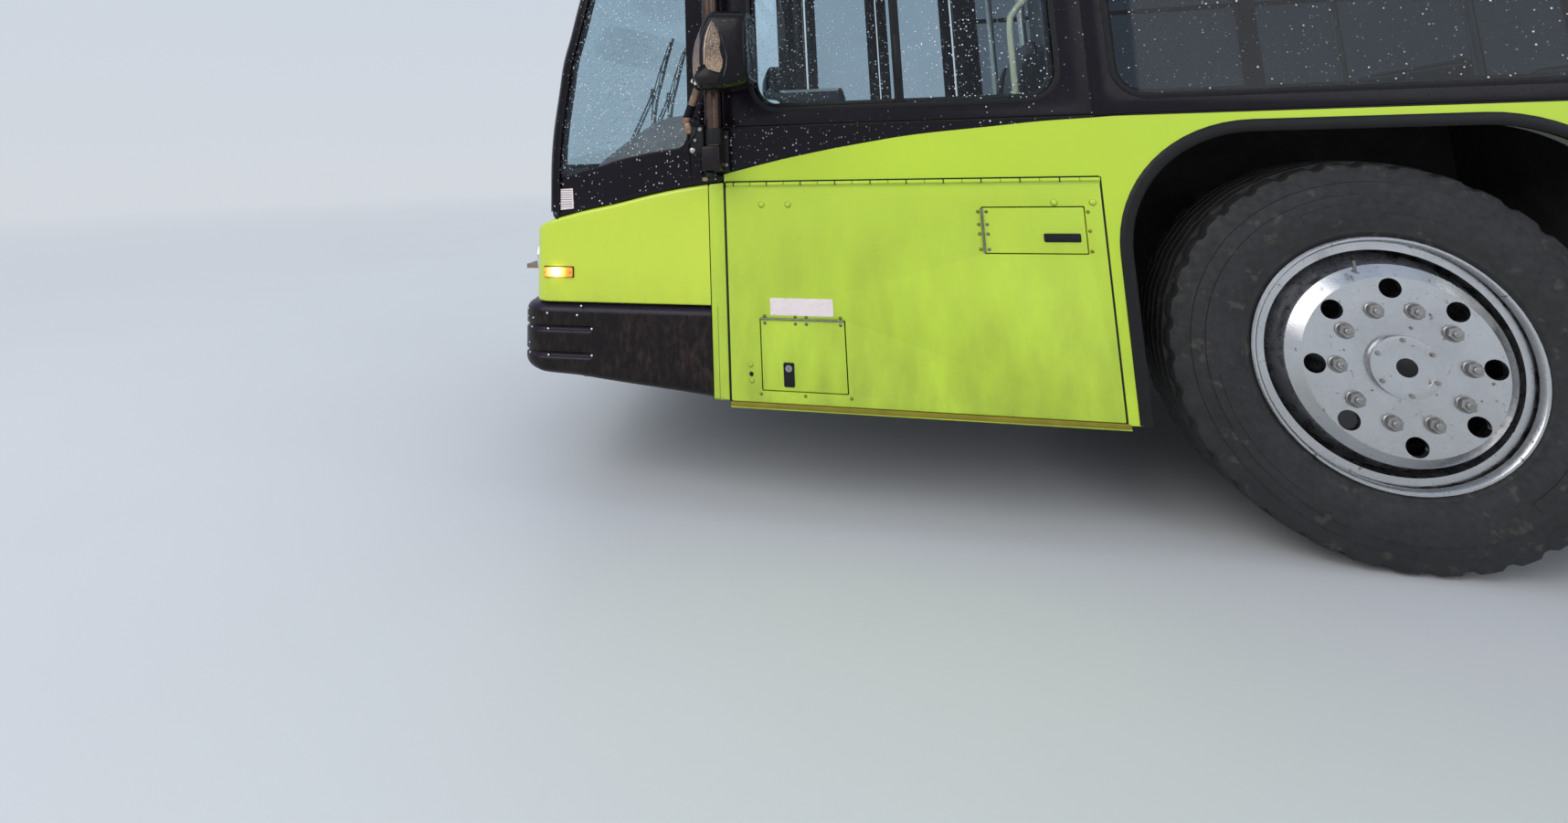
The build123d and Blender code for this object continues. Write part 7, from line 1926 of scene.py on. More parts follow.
# ------------------------------------------------------------------ livery: lime with green fields and slanted white stripes towards the rear
def livery(name):
    t = Tree(name)
    p = principled(t, 0.32, 0.0, 0.30, 0.14, 1.5, 0.42)
    x, y, z = t.xyz()

    def lean(x0, z0, x1, z1):
        """How far in front of a slanted line a point is."""
        k = (x1 - x0) / (z1 - z0)
        at = t.math("ADD", t.math("MULTIPLY", t.math("SUBTRACT", z, z0), k), x0)
        return t.math("SUBTRACT", x, at)

    def both(*masks):
        m = masks[0]
        for q in masks[1:]:
            m = t.math("MULTIPLY", m, q)
        return m

    def front_of(line):
        return t.math("GREATER_THAN", line, 0.0)

    def behind(line):
        return t.math("LESS_THAN", line, 0.0)

    side = t.math("GREATER_THAN", t.math("ABSOLUTE", y), 0.965)
    low = t.math("LESS_THAN", z, 1.1345)
    s1f, s1r = lean(-3.00, 1.134, -2.30, 0.33), lean(-3.85, 1.134, -2.85, 0.33)
    s2f, s2r = lean(-4.07, 1.134, -3.80, 0.33), lean(-4.62, 1.134, -4.14, 0.33)
    stripe1 = both(side, low, behind(s1f), front_of(s1r))
    stripe2 = both(side, low, behind(s2f), front_of(s2r))
    # dark green runs forward from the stripes and thins out along a curve
    drop = t.math("POWER", t.span(x, -2.90, -0.20), 1.6)
    edge = t.math("ADD", t.math("MULTIPLY", drop, 0.66), 0.47)
    dark = both(side, low, front_of(s1f), t.math("LESS_THAN", x, -0.20), t.math("GREATER_THAN", z, edge))
    between = both(side, low, behind(s1r), front_of(s2f))
    green = both(side, low, behind(s2r), front_of(lean(-4.62, 1.134, -4.560, 0.33)))
    corner = both(side, t.math("GREATER_THAN", z, 1.134), t.math("LESS_THAN", z, 1.640), t.math("LESS_THAN", x, -4.79))
    head = both(side, t.math("GREATER_THAN", z, 2.2195), t.math("LESS_THAN", z, 2.520), front_of(lean(-4.05, 2.22, -3.70, 2.52)), t.math("LESS_THAN", x, 0.60),
                t.math("LESS_THAN", z, t.math("ADD", t.math("MULTIPLY", t.span(x, 0.60, -1.20), 0.30), 2.2195)))
    up_ = both(t.math("GREATER_THAN", z, 2.2195), t.math("GREATER_THAN", t.math("ABSOLUTE", y), 0.950))
    r1 = both(side, up_, behind(lean(-4.22, 2.22, -4.72, 2.86)), front_of(lean(-4.62, 2.22, -5.05, 2.86)))
    r2 = both(side, up_, behind(lean(-4.80, 2.22, -5.14, 2.86)), front_of(lean(-5.22, 2.22, -5.50, 2.86)))
    patch = t.noise(1.4, 5.0)
    tone = t.span(patch, 0.3, 0.7, 0.95, 1.05)
    colour = t.mix(both(dark), M_LIME, srgb(38, 112, 60))
    colour = t.mix(between, colour, srgb(52, 138, 62))
    colour = t.mix(green, colour, srgb(96, 176, 66))
    colour = t.mix(t.math("MULTIPLY", corner, t.span(z, 1.66, 1.45)), colour, srgb(122, 190, 68))
    colour = t.mix(head, colour, srgb(70, 152, 82))
    for m in (stripe1, stripe2, r1, r2):
        colour = t.mix(m, colour, srgb(222, 226, 224))
    within = both(t.math("LESS_THAN", t.math("ABSOLUTE", y), 1.262), t.math("LESS_THAN", z, 2.2150))
    colour = t.mix(within, colour, srgb(150, 152, 150))
    shade = t.node("ShaderNodeHueSaturation")
    t.link(colour, shade.inputs["Color"])
    t.link(tone, shade.inputs["Value"])
    colour = shade.outputs[0]
    # colour darker and more olive in cloudy patches towards the bottom
    cloud = t.noise(7.0, 6.0, 0.65, t.stretch(1, 1, 0.35))
    low_dark = t.math("MULTIPLY", t.span(z, 0.95, 0.30), t.span(cloud, 0.35, 0.75), clamp=True)
    colour = t.mix(t.math("MULTIPLY", low_dark, 0.55), colour, srgb(104, 114, 40))
    t.link(colour, p.inputs["Base Color"])
    drop_h = t.drops(150.0, 0.34, 0.20)
    t.link(t.math("MULTIPLY", t.span(t.noise(4.5, 4.0), 0.3, 0.7, 0.26, 0.40), t.span(drop_h, 0.0, 0.2, 1.0, 0.4)), p.inputs["Roughness"])
    n = t.bump([(t.noise(2.2, 2.0), 0.0030), (t.noise(900.0, 2.0), 0.00004), (drop_h, 0.0005)])
    t.link(n, p.inputs["Normal"])
    t.link(n, p.inputs["Coat Normal"])
    return t.mat


M_LIME = LIME
M["livery"] = livery("lime_livery")
for name in ("left_side", "right_side", "roof"):
    use(name, M["livery"])

# ------------------------------------------------------------------ skirt seams, latches, reflectors and side markers
g = Geo()
for s in (1, -1):
    xs = [2.45, 1.75, 1.05, 0.35, -0.35, -1.05, -1.75, -2.45, -4.54, -5.56] if s > 0 else [2.45, 1.75, 1.05, 0.35, -0.35, -1.00, -2.26, -4.54, -5.16, -5.78]
    y0, y1 = sorted((s * 1.2940, s * 1.2957))
    for x in xs:
        g.box(x - 0.0016, x + 0.0016, y0, y1, 0.336, 0.900 if abs(x) < 2.6 else 1.128)
    spans = [(3.140, -2.790)] if s > 0 else [(3.140, -1.100), (-2.165, -2.790)]
    for a, b in spans:
        g.box(b, a, y0, y1, 0.8985, 0.9015)
    spans = [(-3.950, -6.090)]
    for a, b in spans:
        g.box(b, a, y0, y1, 0.4300, 0.4325) if s > 0 else g.box(b, a, y0, y1, 0.8985, 0.9015)
g.make("skirt_seams", [M["rubber"]], slot="black_plastic")
g = Geo()
for s in (1, -1):
    xs = [2.45, 1.75, 1.05, 0.35, -0.35, -1.05, -1.75, -2.45] if s > 0 else [2.45, 1.75, 1.05, 0.35, -0.35, -1.00]
    for a, b in zip(xs, xs[1:]):
        for x in (a - 0.075, b + 0.075):
            g.lathe([(0.0150, 0.0), (0.0150, 0.0022), (0.0130, 0.0036), (0.0045, 0.0036), (0.0045, 0.0016), (0.0, 0.0016)], (x, s * 1.2950, 0.390), (0, s, 0), 20, 0)
g.make("skirt_latches", [M["hinge"]], slot="stainless")
g = Geo()
for s in (1, -1):
    for x, z, kind in ((2.950, 0.690, 0), (0.000, 0.820, 0), (-2.600, 0.820, 0), (-5.980, 0.760, 1), (4.320, 2.330, 0), (0.000, 2.300, 0), (-5.980, 2.300, 1)):
        if s < 0 and x == 2.950:
            x = 3.05
        y0, y1 = sorted((s * 1.2945, s * 1.2975))
        g.box(x - 0.034, x + 0.034, y0, y1, z - 0.0170, z + 0.0170, 0.0020, 2)
        y0, y1 = sorted((s * 1.2970, s * 1.3050))
        g.box(x - 0.031, x + 0.031, y0, y1, z - 0.0140, z + 0.0140, 0.0035, kind, 3)
    for x, z, kind in ((3.02, 0.470, 0), (-0.70, 0.470, 0), (-4.30, 0.470, 0), (-6.02, 0.660, 1)):
        g.lathe([(0.0, 0.0), (0.0380, 0.0), (0.0385, 0.0035), (0.0350, 0.0060), (0.0, 0.0066)], (x, s * 1.2948, z), (0, s, 0), 30, kind)
g.make("markers_and_reflectors", [M["amber"], M["red_lens"], M["rubber"]], slot="lamp")
# fuel filler door and air intake on the curb side, tall narrow louvre behind the last window on the driver's side
g = Geo()
g.box(2.520, 2.760, -1.2972, -1.2945, 0.600, 0.840, 0.0012, 0, 2)
g.box(2.512, 2.768, -1.2960, -1.2938, 0.592, 0.848, 0.0008, 1, 1)
g.lathe([(0.0120, 0.0), (0.0120, 0.0020), (0.0, 0.0024)], (2.735, -1.2972, 0.720), (0, -1, 0), 16, 2)
for k in range(8):
    g.lathe([(0.0, 0.001), (0.0042, 0.001), (0.0042, 0.028), (0.0, 0.028)], (2.516, -1.2985, 0.602 + k * 0.0295), (0, 0, 1), 10, 0)
g.make("fuel_door_skin", [M["livery"], M["rubber"], M["hinge"]], slot="lime_paint")
# lime louvre blades darkened to olive: painted shade
M["olive_louvre"] = surface("lime_louvre_painted_shade", srgb(128, 142, 46), 0.42, coat=0.1, var=0.12, scale=16.0, bumps=[(300.0, 3.0, 0.0001)],
                            low_darkening=(0.30, 1.2, srgb(84, 84, 48), 0.5))
M["mesh_green"] = surface("shaded_mesh", srgb(78, 94, 38), 0.6, var=0.25, scale=60.0, bumps=[(240.0, 3.0, 0.0006)])


def louvre(geo, x0, x1, y, s, z0, z1, pitch, frame, blade, dark):
    """Framed vertical field of sloping blades on a side wall."""
    geo.bm(flat_plate([rect(x0, x1, z0, z1, 0.006, 3), rect(x0 + 0.020, x1 - 0.020, z0 + 0.020, z1 - 0.020, 0.003, 2)], 0.0060, 0.0015), frame, side_matrix(y + s * 0.0020))
    ya, yb = sorted((y - s * 0.001, y + s * 0.0006))
    geo.box(x0 + 0.018, x1 - 0.018, ya, yb, z0 + 0.018, z1 - 0.018, 0, dark)
    zz = z0 + 0.024
    while zz < z1 - 0.030:
        rows = []
        for xx in (x0 + 0.019, x1 - 0.019):
            rows.append([Vector((xx, y + s * 0.0008, zz + pitch * 0.66)), Vector((xx, y + s * 0.0046, zz + 0.0022)), Vector((xx, y + s * 0.0050, zz)), Vector((xx, y + s * 0.0042, zz - 0.0006)),
                         Vector((xx, y + s * 0.0004, zz + pitch * 0.58))])
        geo.rings(rows, True, True, blade)
        zz += pitch


g = Geo()
louvre(g, -5.330, -5.060, 1.2955, 1, 1.330, 2.080, 0.0165, 0, 1, 2)
louvre(g, -5.330, -5.060, -1.2955, -1, 1.330, 2.080, 0.0165, 0, 1, 2)
louvre(g, -5.560, -4.700, -1.2955, -1, 0.480, 0.880, 0.0200, 0, 1, 2)
g.make("side_louvres", [M["livery"], M["olive_louvre"], M["mesh_green"]], slot="grille", smooth=25)

# rain rail over the windows and doors, joint lines of the upper rear panels
g = Geo()
for s in (1, -1):
    y0, y1 = sorted((s * 1.2935, s * 1.2990))
    g.box(-4.800, 5.395, y0, y1, 2.2205, 2.2290, 0.0020, 0, 2)
    y0, y1 = sorted((s * 1.2940, s * 1.2956))
    g.box(-4.8035, -4.8005, y0, y1, BELT_Z, HEAD_Z, 0, 1)
    g.box(-6.100, -4.803, y0, y1, BELT_Z - 0.002, BELT_Z + 0.001, 0, 1)
    g.box(-6.100, -4.803, y0, y1, 2.2205, 2.2232, 0, 1)
    g.box(-6.1012, -6.0985, *sorted((s * 1.2940, s * 1.2957)), 0.640, 2.400, 0, 1)
g.make("rain_rails", [M["band"], M["rubber"]], slot="black_plastic")

# ------------------------------------------------------------------ radiator door: frame with a clipped corner, blades and mesh
RX0, RX1, RZ0, RZ1 = -5.500, -4.600, 0.470, 1.080
g = Geo()
outer = [(RX0 + 0.0005, RZ0 + 0.0005), (RX1 - 0.0005, RZ0 + 0.0005), (RX1 - 0.0005, RZ1 - 0.110), (RX1 - 0.075, RZ1 - 0.0005), (RX0 + 0.0005, RZ1 - 0.0005)]
inner = [(RX0 + 0.042, RZ0 + 0.042), (RX1 - 0.042, RZ0 + 0.042), (RX1 - 0.042, RZ1 - 0.128), (RX1 - 0.095, RZ1 - 0.042), (RX0 + 0.042, RZ1 - 0.042)]
g.bm(flat_plate([rounded(outer, 0.008, 3), rounded(inner, 0.010, 4)], 0.034, 0.002), 0, side_matrix(1.2725))
g.box(RX0 + 0.036, RX1 - 0.036, 1.2610, 1.2630, RZ0 + 0.036, RZ1 - 0.036, 0, 2)
zz = RZ0 + 0.052
while zz < RZ1 - 0.050:
    xr = RX1 - 0.040 if zz < RZ1 - 0.140 else RX1 - 0.040 - (zz - (RZ1 - 0.140)) * 0.62
    rows = []
    for xx in (RX0 + 0.040, xr):
        rows.append([Vector((xx, 1.2640, zz + 0.0125)), Vector((xx, 1.2835, zz + 0.0020)), Vector((xx, 1.2850, zz)), Vector((xx, 1.2835, zz - 0.0012)), Vector((xx, 1.2640, zz + 0.0100))])
    g.rings(rows, True, True, 1)
    zz += 0.0185
for k in (1, 2, 3):
    x = RX0 + k * 0.225
    g.box(x - 0.0040, x + 0.0040, 1.2640, 1.2862, RZ0 + 0.040, RZ1 - 0.040, 0.001, 1, 1)
for z in (0.560, 0.775, 0.990):
    g.lathe([(0.0, 0.0), (0.0085, 0.0), (0.0085, 0.0560), (0.0, 0.0560)], (RX1 - 0.0085, 1.2810, z - 0.028), (0, 0, 1), 14, 3)
for z in (0.540, 0.775, 1.010):
    g.box(RX0 + 0.012, RX0 + 0.034, 1.2885, 1.2935, z - 0.020, z + 0.020, 0.002, 3, 2)
g.make("radiator_door_grille", [M["livery"], M["olive_louvre"], M["mesh_green"], M["hinge"]], "radiator_door", "radiator_door", "grille", smooth=25)
g = Geo()
for a, b, c, d in ((RX0 - 0.0050, RX1 + 0.0050, RZ1 + 0.0015, RZ1 + 0.0050), (RX0 - 0.0050, RX1 + 0.0050, RZ0 - 0.0050, RZ0 - 0.0015)):
    g.box(a, b, 1.2400, 1.2952, c, d)
g.box(RX0 - 0.0050, RX0 - 0.0015, 1.2400, 1.2952, RZ0 - 0.005, RZ1 + 0.005)
g.make("radiator_joint", [M["rubber"]], slot="black_plastic")
g = Geo()
g.bm(flat_plate([[(RX1 - 0.0700, RZ1 - 0.0002), (RX1 - 0.0002, RZ1 - 0.0002), (RX1 - 0.0002, RZ1 - 0.0560), (RX1 - 0.0335, RZ1 - 0.0560)]], 0.030, 0.001), 0, side_matrix(1.2790))
g.make("radiator_corner_fillet", [M["livery"]], slot="lime_paint")

# ------------------------------------------------------------------ passenger doors
LEAVES = [
    # name, x0, x1, hinge side (+1 front, -1 rear), body
    ("front_door_front_leaf", 4.878, 5.326, 1, "front_door_front"), ("front_door_rear_leaf", 4.424, 4.872, -1, "front_door_rear"),
    ("rear_door_front_leaf", -1.632, -1.184, 1, "rear_door_front"), ("rear_door_rear_leaf", -2.086, -1.638, -1, "rear_door_rear"),
]
LZ0, LZ1 = 0.372, 2.200
for name, x0, x1, hinge, body in LEAVES:
    g = Geo()
    hole = rect(x0 + 0.056, x1 - 0.056, 0.522, 2.108, 0.060, 8)
    g.bm(flat_plate([rect(x0 + 0.001, x1 - 0.001, LZ0 + 0.001, LZ1 - 0.001, 0.010, 3), hole], 0.0330, 0.0045, 3), 0, side_matrix(-1.2725))
    # glazing gasket on both faces, a bulb seal on the closing edge, brush below
    for y in (-1.2895, -1.2560):
        g.bm(flat_plate([rect(x0 + 0.0480, x1 - 0.0480, 0.514, 2.116, 0.066, 8), rect(x0 + 0.0620, x1 - 0.0620, 0.528, 2.102, 0.054, 8)], 0.0050, 0.0018), 1, side_matrix(y))
    xc = x0 + 0.0006 if hinge > 0 else x1 - 0.0006
    g.tube([(xc + hinge * 0.0060, -1.2800, LZ0 + 0.006), (xc + hinge * 0.0060, -1.2800, LZ1 - 0.006)], 0.0062, 10, 1)
    g.tube([(xc + hinge * 0.0060, -1.2640, LZ0 + 0.006), (xc + hinge * 0.0060, -1.2640, LZ1 - 0.006)], 0.0062, 10, 1)
    g.box(x0 + 0.010, x1 - 0.010, -1.2765, -1.2685, LZ0 - 0.0040, LZ0 + 0.012, 0.001, 1, 1)
    # kick seam, and the inside push bar leaning down to the closing edge
    g.box(x0 + 0.012, x1 - 0.012, -1.2905, -1.2885, 0.4420, 0.4445, 0, 1)
    a = (x0 + 0.030, x1 - 0.030)
    g.tube([(a[0], -1.2550, 1.000), (a[0], -1.2460, 1.008), (a[0] + 0.02, -1.2440, 1.020), ((a[0] + a[1]) / 2, -1.2440, 1.090), (a[1] - 0.02, -1.2440, 1.160), (a[1], -1.2460, 1.172), (a[1], -1.2550, 1.180)]
           if hinge > 0 else
           [(a[1], -1.2550, 1.000), (a[1], -1.2460, 1.008), (a[1] - 0.02, -1.2440, 1.020), ((a[0] + a[1]) / 2, -1.2440, 1.090), (a[0] + 0.02, -1.2440, 1.160), (a[0], -1.2460, 1.172), (a[0], -1.2550, 1.180)],
           0.0095, 12, 2)
    for z in (0.400, 2.170):
        hx = (x1 - 0.024) if hinge > 0 else (x0 + 0.024)
        g.lathe([(0.0, -0.010), (0.0110, -0.010), (0.0110, 0.010), (0.0, 0.010)], (hx, -1.2590, z), (0, 0, 1), 16, 3)
    g.make(name + "_frame", [M["band"], M["rubber"], M["rail"], M["hinge"]], body, name, "door_frame", smooth=35)
g = Geo()
for a, b in DOORWAYS:
    for x in (a + 0.002, b - 0.008):
        g.box(x, x + 0.006, -1.2930, -1.2500, 0.384, 2.204, 0.001)
    g.box(a + 0.002, b - 0.002, -1.2930, -1.2380, 0.3400, 0.3640, 0.003, 1, 2)
    for k in range(22):
        xx = a + 0.02 + k * (b - a - 0.04) / 21
        g.box(xx - 0.012, xx + 0.012, -1.2935, -1.2400, 0.3635, 0.3655, 0.0005, 1, 1)
    g.box(a + 0.03, b - 0.03, -1.2300, -1.0400, 2.2080, 2.3300, 0.010, 2, 3)                  # door motor cover
g.make("doorway_trims", [M["rubber"], M["hinge"], M["lining"]], slot="door_frame")

# ------------------------------------------------------------------ roof
g = Geo()
for name, xf, body in (("front_hatch", 2.400, "front_hatch"), ("rear_hatch", -2.600, "rear_hatch")):
    h = Geo()
    x0, x1 = xf - 0.6190, xf - 0.001
    rows = []
    for inset, z in ((0.0, 2.9402), (0.0, 2.9465), (0.006, 2.9510), (0.022, 2.9530), (0.040, 2.9560), (0.055, 2.9640), (0.080, 2.9700), (0.140, 2.9730), (0.220, 2.9742)):
        rows.append([Vector((px, py, z)) for px, py in rounded([(x0 + inset, -0.309 + inset), (x1 - inset, -0.309 + inset), (x1 - inset, 0.309 - inset), (x0 + inset, 0.309 - inset)],
                                                               max(0.02, 0.050 - inset * 0.1), 6)])
    h.rings(rows, True, True, 0)
    for y in (-0.20, 0.20):
        h.box(x1 - 0.060, x1 - 0.006, y - 0.022, y + 0.022, 2.9480, 2.9560, 0.003, 1, 2)
    for k in range(7):
        h.box(x0 + 0.20 + k * 0.038, x0 + 0.222 + k * 0.038, -0.12, 0.12, 2.9735, 2.9749, 0.0004, 1, 1)
    h.box(x0 + 0.030, x0 + 0.060, -0.060, 0.060, 2.9400, 2.9500, 0.002, 1, 2)
    h.make(name + "_cover", [M["white_plastic"], M["hinge"]], body, name, "hatch", smooth=40)
    # collar, its flange with screws
    loops = [rounded([(x0 - 0.020, -0.330), (x1 + 0.020, -0.330), (x1 + 0.020, 0.330), (x0 - 0.020, 0.330)], 0.05, 6),
             rounded([(x0 + 0.028, -0.283), (x1 - 0.028, -0.283), (x1 - 0.028, 0.283), (x0 + 0.028, 0.283)], 0.03, 6)]
    g.bm(flat_plate(loops, 0.0050, 0.0015), 0, top_matrix(2.9345))
    for k in range(9):
        for y in (-0.321, 0.321):
            g.dome((x0 + 0.02 + k * (x1 - x0 - 0.04) / 8, y, 2.9368), (0, 0, 1), 0.0050, 0.0022, 8, 1)
    for k in range(7):
        for x in (x0 - 0.011, x1 + 0.011):
            g.dome((x, -0.27 + k * 0.09, 2.9368), (0, 0, 1), 0.0050, 0.0022, 8, 1)
g.make("hatch_collars", [M["livery"], M["hinge"]], slot="hatch", smooth=40)


def roof_z(y):
    """Height of the roof's crown over a y inside the shoulders."""
    rr = (1.110 ** 2 + 0.135 ** 2) / (2 * 0.135)
    return 2.930 - rr + math.sqrt(rr * rr - y * y)


g = Geo()
for x in (4.60, 3.38, 1.20, 0.0, -1.22, -3.80):
    rows = []
    for k in range(41):
        y = -1.10 + 2.20 * k / 40
        z = roof_z(y)
        rows.append([Vector((x - 0.030, y, z - 0.002)), Vector((x - 0.027, y, z + 0.0018)), Vector((x + 0.027, y, z + 0.0018)), Vector((x + 0.030, y, z - 0.002))])
    g.rings(rows, True, True, 0)
    for k in range(23):
        y = -1.06 + 2.12 * k / 22
        for dx in (-0.019, 0.019):
            g.dome((x + dx, y, roof_z(y) + 0.0014), (0, 0, 1), 0.0042, 0.0018, 6, 0)
for s in (1, -1):
    for a, b in ((5.330, -4.230),):
        y = s * 0.985
        z = roof_z(y)
        g.box(b, a, y - 0.012, y + 0.012, z - 0.010, z + 0.0120, 0.004, 0, 2)
g.make("roof_seams", [M["livery"]], slot="lime_paint", smooth=40)
# roof unit: louvres, lid seams and fan grilles
g = Geo()
for s in (1, -1):
    y0, y1 = sorted((s * 0.9990, s * 1.0012))
    for k in range(3):
        x0 = -5.86 + k * 0.44
        for j in range(9):
            z = 2.905 + j * 0.0135
            g.box(x0, x0 + 0.380, *sorted((s * 0.9985, s * 1.0035)), z, z + 0.0060, 0.001, 1, 1)
    for x in (-5.960, -5.500, -5.050, -4.600):
        g.box(x - 0.0015, x + 0.0015, -0.998, 0.998, 3.0496, 3.0508, 0, 2)
for cx, cy in ((-5.700, 0.48), (-5.700, -0.48), (-5.150, 0.48), (-5.150, -0.48)):
    g.lathe([(0.200, 0.0), (0.212, 0.0), (0.212, 0.0090), (0.200, 0.0110), (0.196, 0.0050)], (cx, cy, 3.0495), (0, 0, 1), 40, 0, True)
    for r in (0.030, 0.064, 0.098, 0.132, 0.166):
        ring = [(cx + r * math.cos(a), cy + r * math.sin(a), 3.0555) for a in (2 * math.pi * j / 28 for j in range(28))]
        g.tube(ring, 0.0026, 6, 2, False, True)
    for j in range(6):
        a = math.pi * j / 6
        g.tube([(cx + 0.203 * math.cos(a), cy + 0.203 * math.sin(a), 3.0540), (cx - 0.203 * math.cos(a), cy - 0.203 * math.sin(a), 3.0540)], 0.0026, 6, 2)
    g.lathe([(0.0, 0.0), (0.198, 0.0), (0.198, 0.0012), (0.0, 0.0012)], (cx, cy, 3.0500), (0, 0, 1), 40, 3)
g.make("roof_unit_fittings", [M["livery"], M["olive_louvre"], M["rubber"], M["dark_grille"]], slot="lime_paint", smooth=35)

# clearance lamps, front and rear
g = Geo()
for y in (-1.02, -0.30, 0.0, 0.30, 1.02):
    yy = min(abs(y), 1.1)
    z = roof_z(y) - 0.022
    g.box(-6.2000, -6.1790, y - 0.036, y + 0.036, z - 0.080, z - 0.052, 0.004, 1, 2)
    g.lathe([(0.0, 0.0), (0.0150, 0.0), (0.0150, 0.0050), (0.0100, 0.0095), (0.0, 0.0105)], (-6.1920, y, z - 0.066), (-1, 0, 0), 20, 1)
for y in (-0.98, -0.28, 0.0, 0.28, 0.98):
    z = 2.745
    hit = nodes["sign_hood"].ray_cast(Vector((6.5, y, z)), Vector((-1, 0, 0)))
    xx, tilt = hit[1].x, math.atan2(hit[2].z, hit[2].x)
    m = Matrix.Translation((xx, y, z)) @ Matrix.Rotation(-tilt, 4, "Y")
    g.box(-0.004, 0.006, -0.048, 0.048, -0.020, 0.020, 0.002, 2, 2, m)
    g.box(0.002, 0.022, -0.040, 0.040, -0.014, 0.014, 0.006, 0, 3, m)
g.make("clearance_lamps", [M["amber"], M["red_lens"], M["rubber"]], slot="lamp")

# ------------------------------------------------------------------ route sign glass at the front
g = Geo()
d = Vector((5.590 - 5.677, 0, 2.640 - 2.250))
ln = d.length
d = d / ln
nrm = Vector((d.z, 0, -d.x))
base = Vector((5.677, 0, 2.250)) + d * 0.115
m = Matrix(((0, d.x, nrm.x, base.x), (1, 0, 0, 0), (0, d.z, nrm.z, base.z), (0, 0, 0, 1)))
g.bm(flat_plate([rounded([(-0.86, 0.0), (0.86, 0.0), (0.86, 0.255), (-0.86, 0.255)], 0.03, 6)], 0.006, 0.0015), 0, m @ Matrix.Translation((0, 0, 0.0020)))
g.bm(flat_plate([rounded([(-0.885, -0.024), (0.885, -0.024), (0.885, 0.279), (-0.885, 0.279)], 0.045, 6), rounded([(-0.855, 0.005), (0.855, 0.005), (0.855, 0.250), (-0.855, 0.250)], 0.028, 6)], 0.009, 0.003), 1,
     m @ Matrix.Translation((0, 0, 0.0030)))
g.make("front_sign_glass", [M["sign"], M["rubber"]], slot="glass")
g = Geo()
for s in (1, -1):
    y0, y1 = sorted((s * 1.10, s * 1.2900))
    g.box(5.4010, 5.4040, y0, y1, 2.336, 2.420)
g.box(5.3985, 5.4012, -1.2958, -1.2940, 2.336, 2.400)
g.box(5.3985, 5.4012, 1.2940, 1.2958, 2.336, 2.400)
g.make("hood_joint", [M["rubber"]], slot="black_plastic")

# ------------------------------------------------------------------ rear wall
RX = -6.180
g = Geo()
g.box(RX + 0.0235, RX + 0.0290, -0.897, 0.897, 2.283, 2.617, 0, 2)
for y0, y1 in ((-0.897, -0.004), (0.004, 0.897)):
    g.bm(flat_plate([[(y0, 2.283), (y1, 2.283), (y1, 2.617), (y0, 2.617)], rect(y0 + 0.022, y1 - 0.022, 2.305, 2.595, 0.006, 3)], 0.018, 0.002), 0, cross_matrix(RX + 0.0140))
    z = 2.310
    while z < 2.586:
        rows = []
        for y in (y0 + 0.020, y1 - 0.020):
            rows.append([Vector((RX + 0.0205, y, z + 0.0135)), Vector((RX + 0.0060, y, z + 0.0020)), Vector((RX + 0.0048, y, z)), Vector((RX + 0.0060, y, z - 0.0014)), Vector((RX + 0.0205, y, z + 0.0105))])
        g.rings(rows, True, True, 1)
        z += 0.0215
g.make("rear_louvres", [M["lime"], M["olive_louvre"], M["mesh_green"]], replaces="rear_grille", slot="grille", smooth=25)
g = Geo()
g.bm(flat_plate([rect(-0.898, -0.252, 1.902, 2.148, 0.040, 6), rect(-0.862, -0.288, 1.938, 2.112, 0.020, 5)], 0.022, 0.005, 3), 0, cross_matrix(RX + 0.0085))
g.bm(flat_plate([rect(-0.870, -0.280, 1.930, 2.120, 0.020, 5)], 0.006, 0.001), 1, cross_matrix(RX + 0.0120))
# slots beside it, lid seam, engine-door gap, hinges and latches
for z, y0, y1 in ((2.000, -0.180, 0.180), (1.945, -0.180, 0.230)):
    g.box(RX - 0.0022, RX + 0.004, y0, y1, z, z + 0.012, 0.002, 2, 2)
g.box(RX - 0.0012, RX + 0.001, -1.285, 1.285, 1.7980, 1.8010, 0, 0)
for y0, y1, z0, z1 in ((-0.9065, 0.9065, 1.4015, 1.4100), (-0.9065, 0.9065, 0.6580, 0.6635), (-0.9075, -0.9015, 0.658, 1.410), (0.9015, 0.9075, 0.658, 1.410)):
    g.box(RX + 0.012, RX + 0.030, y0, y1, z0, z1, 0, 0)
for y in (-0.62, 0.0, 0.62):
    g.lathe([(0.0, 0.0), (0.0078, 0.0), (0.0078, 0.1190), (0.0, 0.1190)], (-6.176, y - 0.0595, 1.4080), (0, 1, 0), 16, 3)
g.make("rear_fittings", [M["rubber"], M["sign"], M["mesh_green"], M["lime"]], slot="black_plastic")
g = Geo()
for y in (-0.62, 0.0, 0.62):
    g.box(RX - 0.0050, RX + 0.0005, y - 0.060, y + 0.060, 1.3400, 1.3970, 0.002, 0, 2)
    for dy in (-0.042, 0.0, 0.042):
        g.dome((RX - 0.0050, y + dy, 1.3600), (-1, 0, 0), 0.0060, 0.0030, 12, 2)
for y in (-0.70, 0.70):
    g.bm(flat_plate([rounded([(y - 0.060, 0.715), (y + 0.060, 0.715), (y + 0.060, 0.765), (y - 0.060, 0.765)], 0.010, 4)], 0.006, 0.0015), 1, cross_matrix(RX - 0.0025))
    g.box(RX - 0.0110, RX - 0.0040, y - 0.040, y + 0.040, 0.728, 0.752, 0.004, 2, 3)
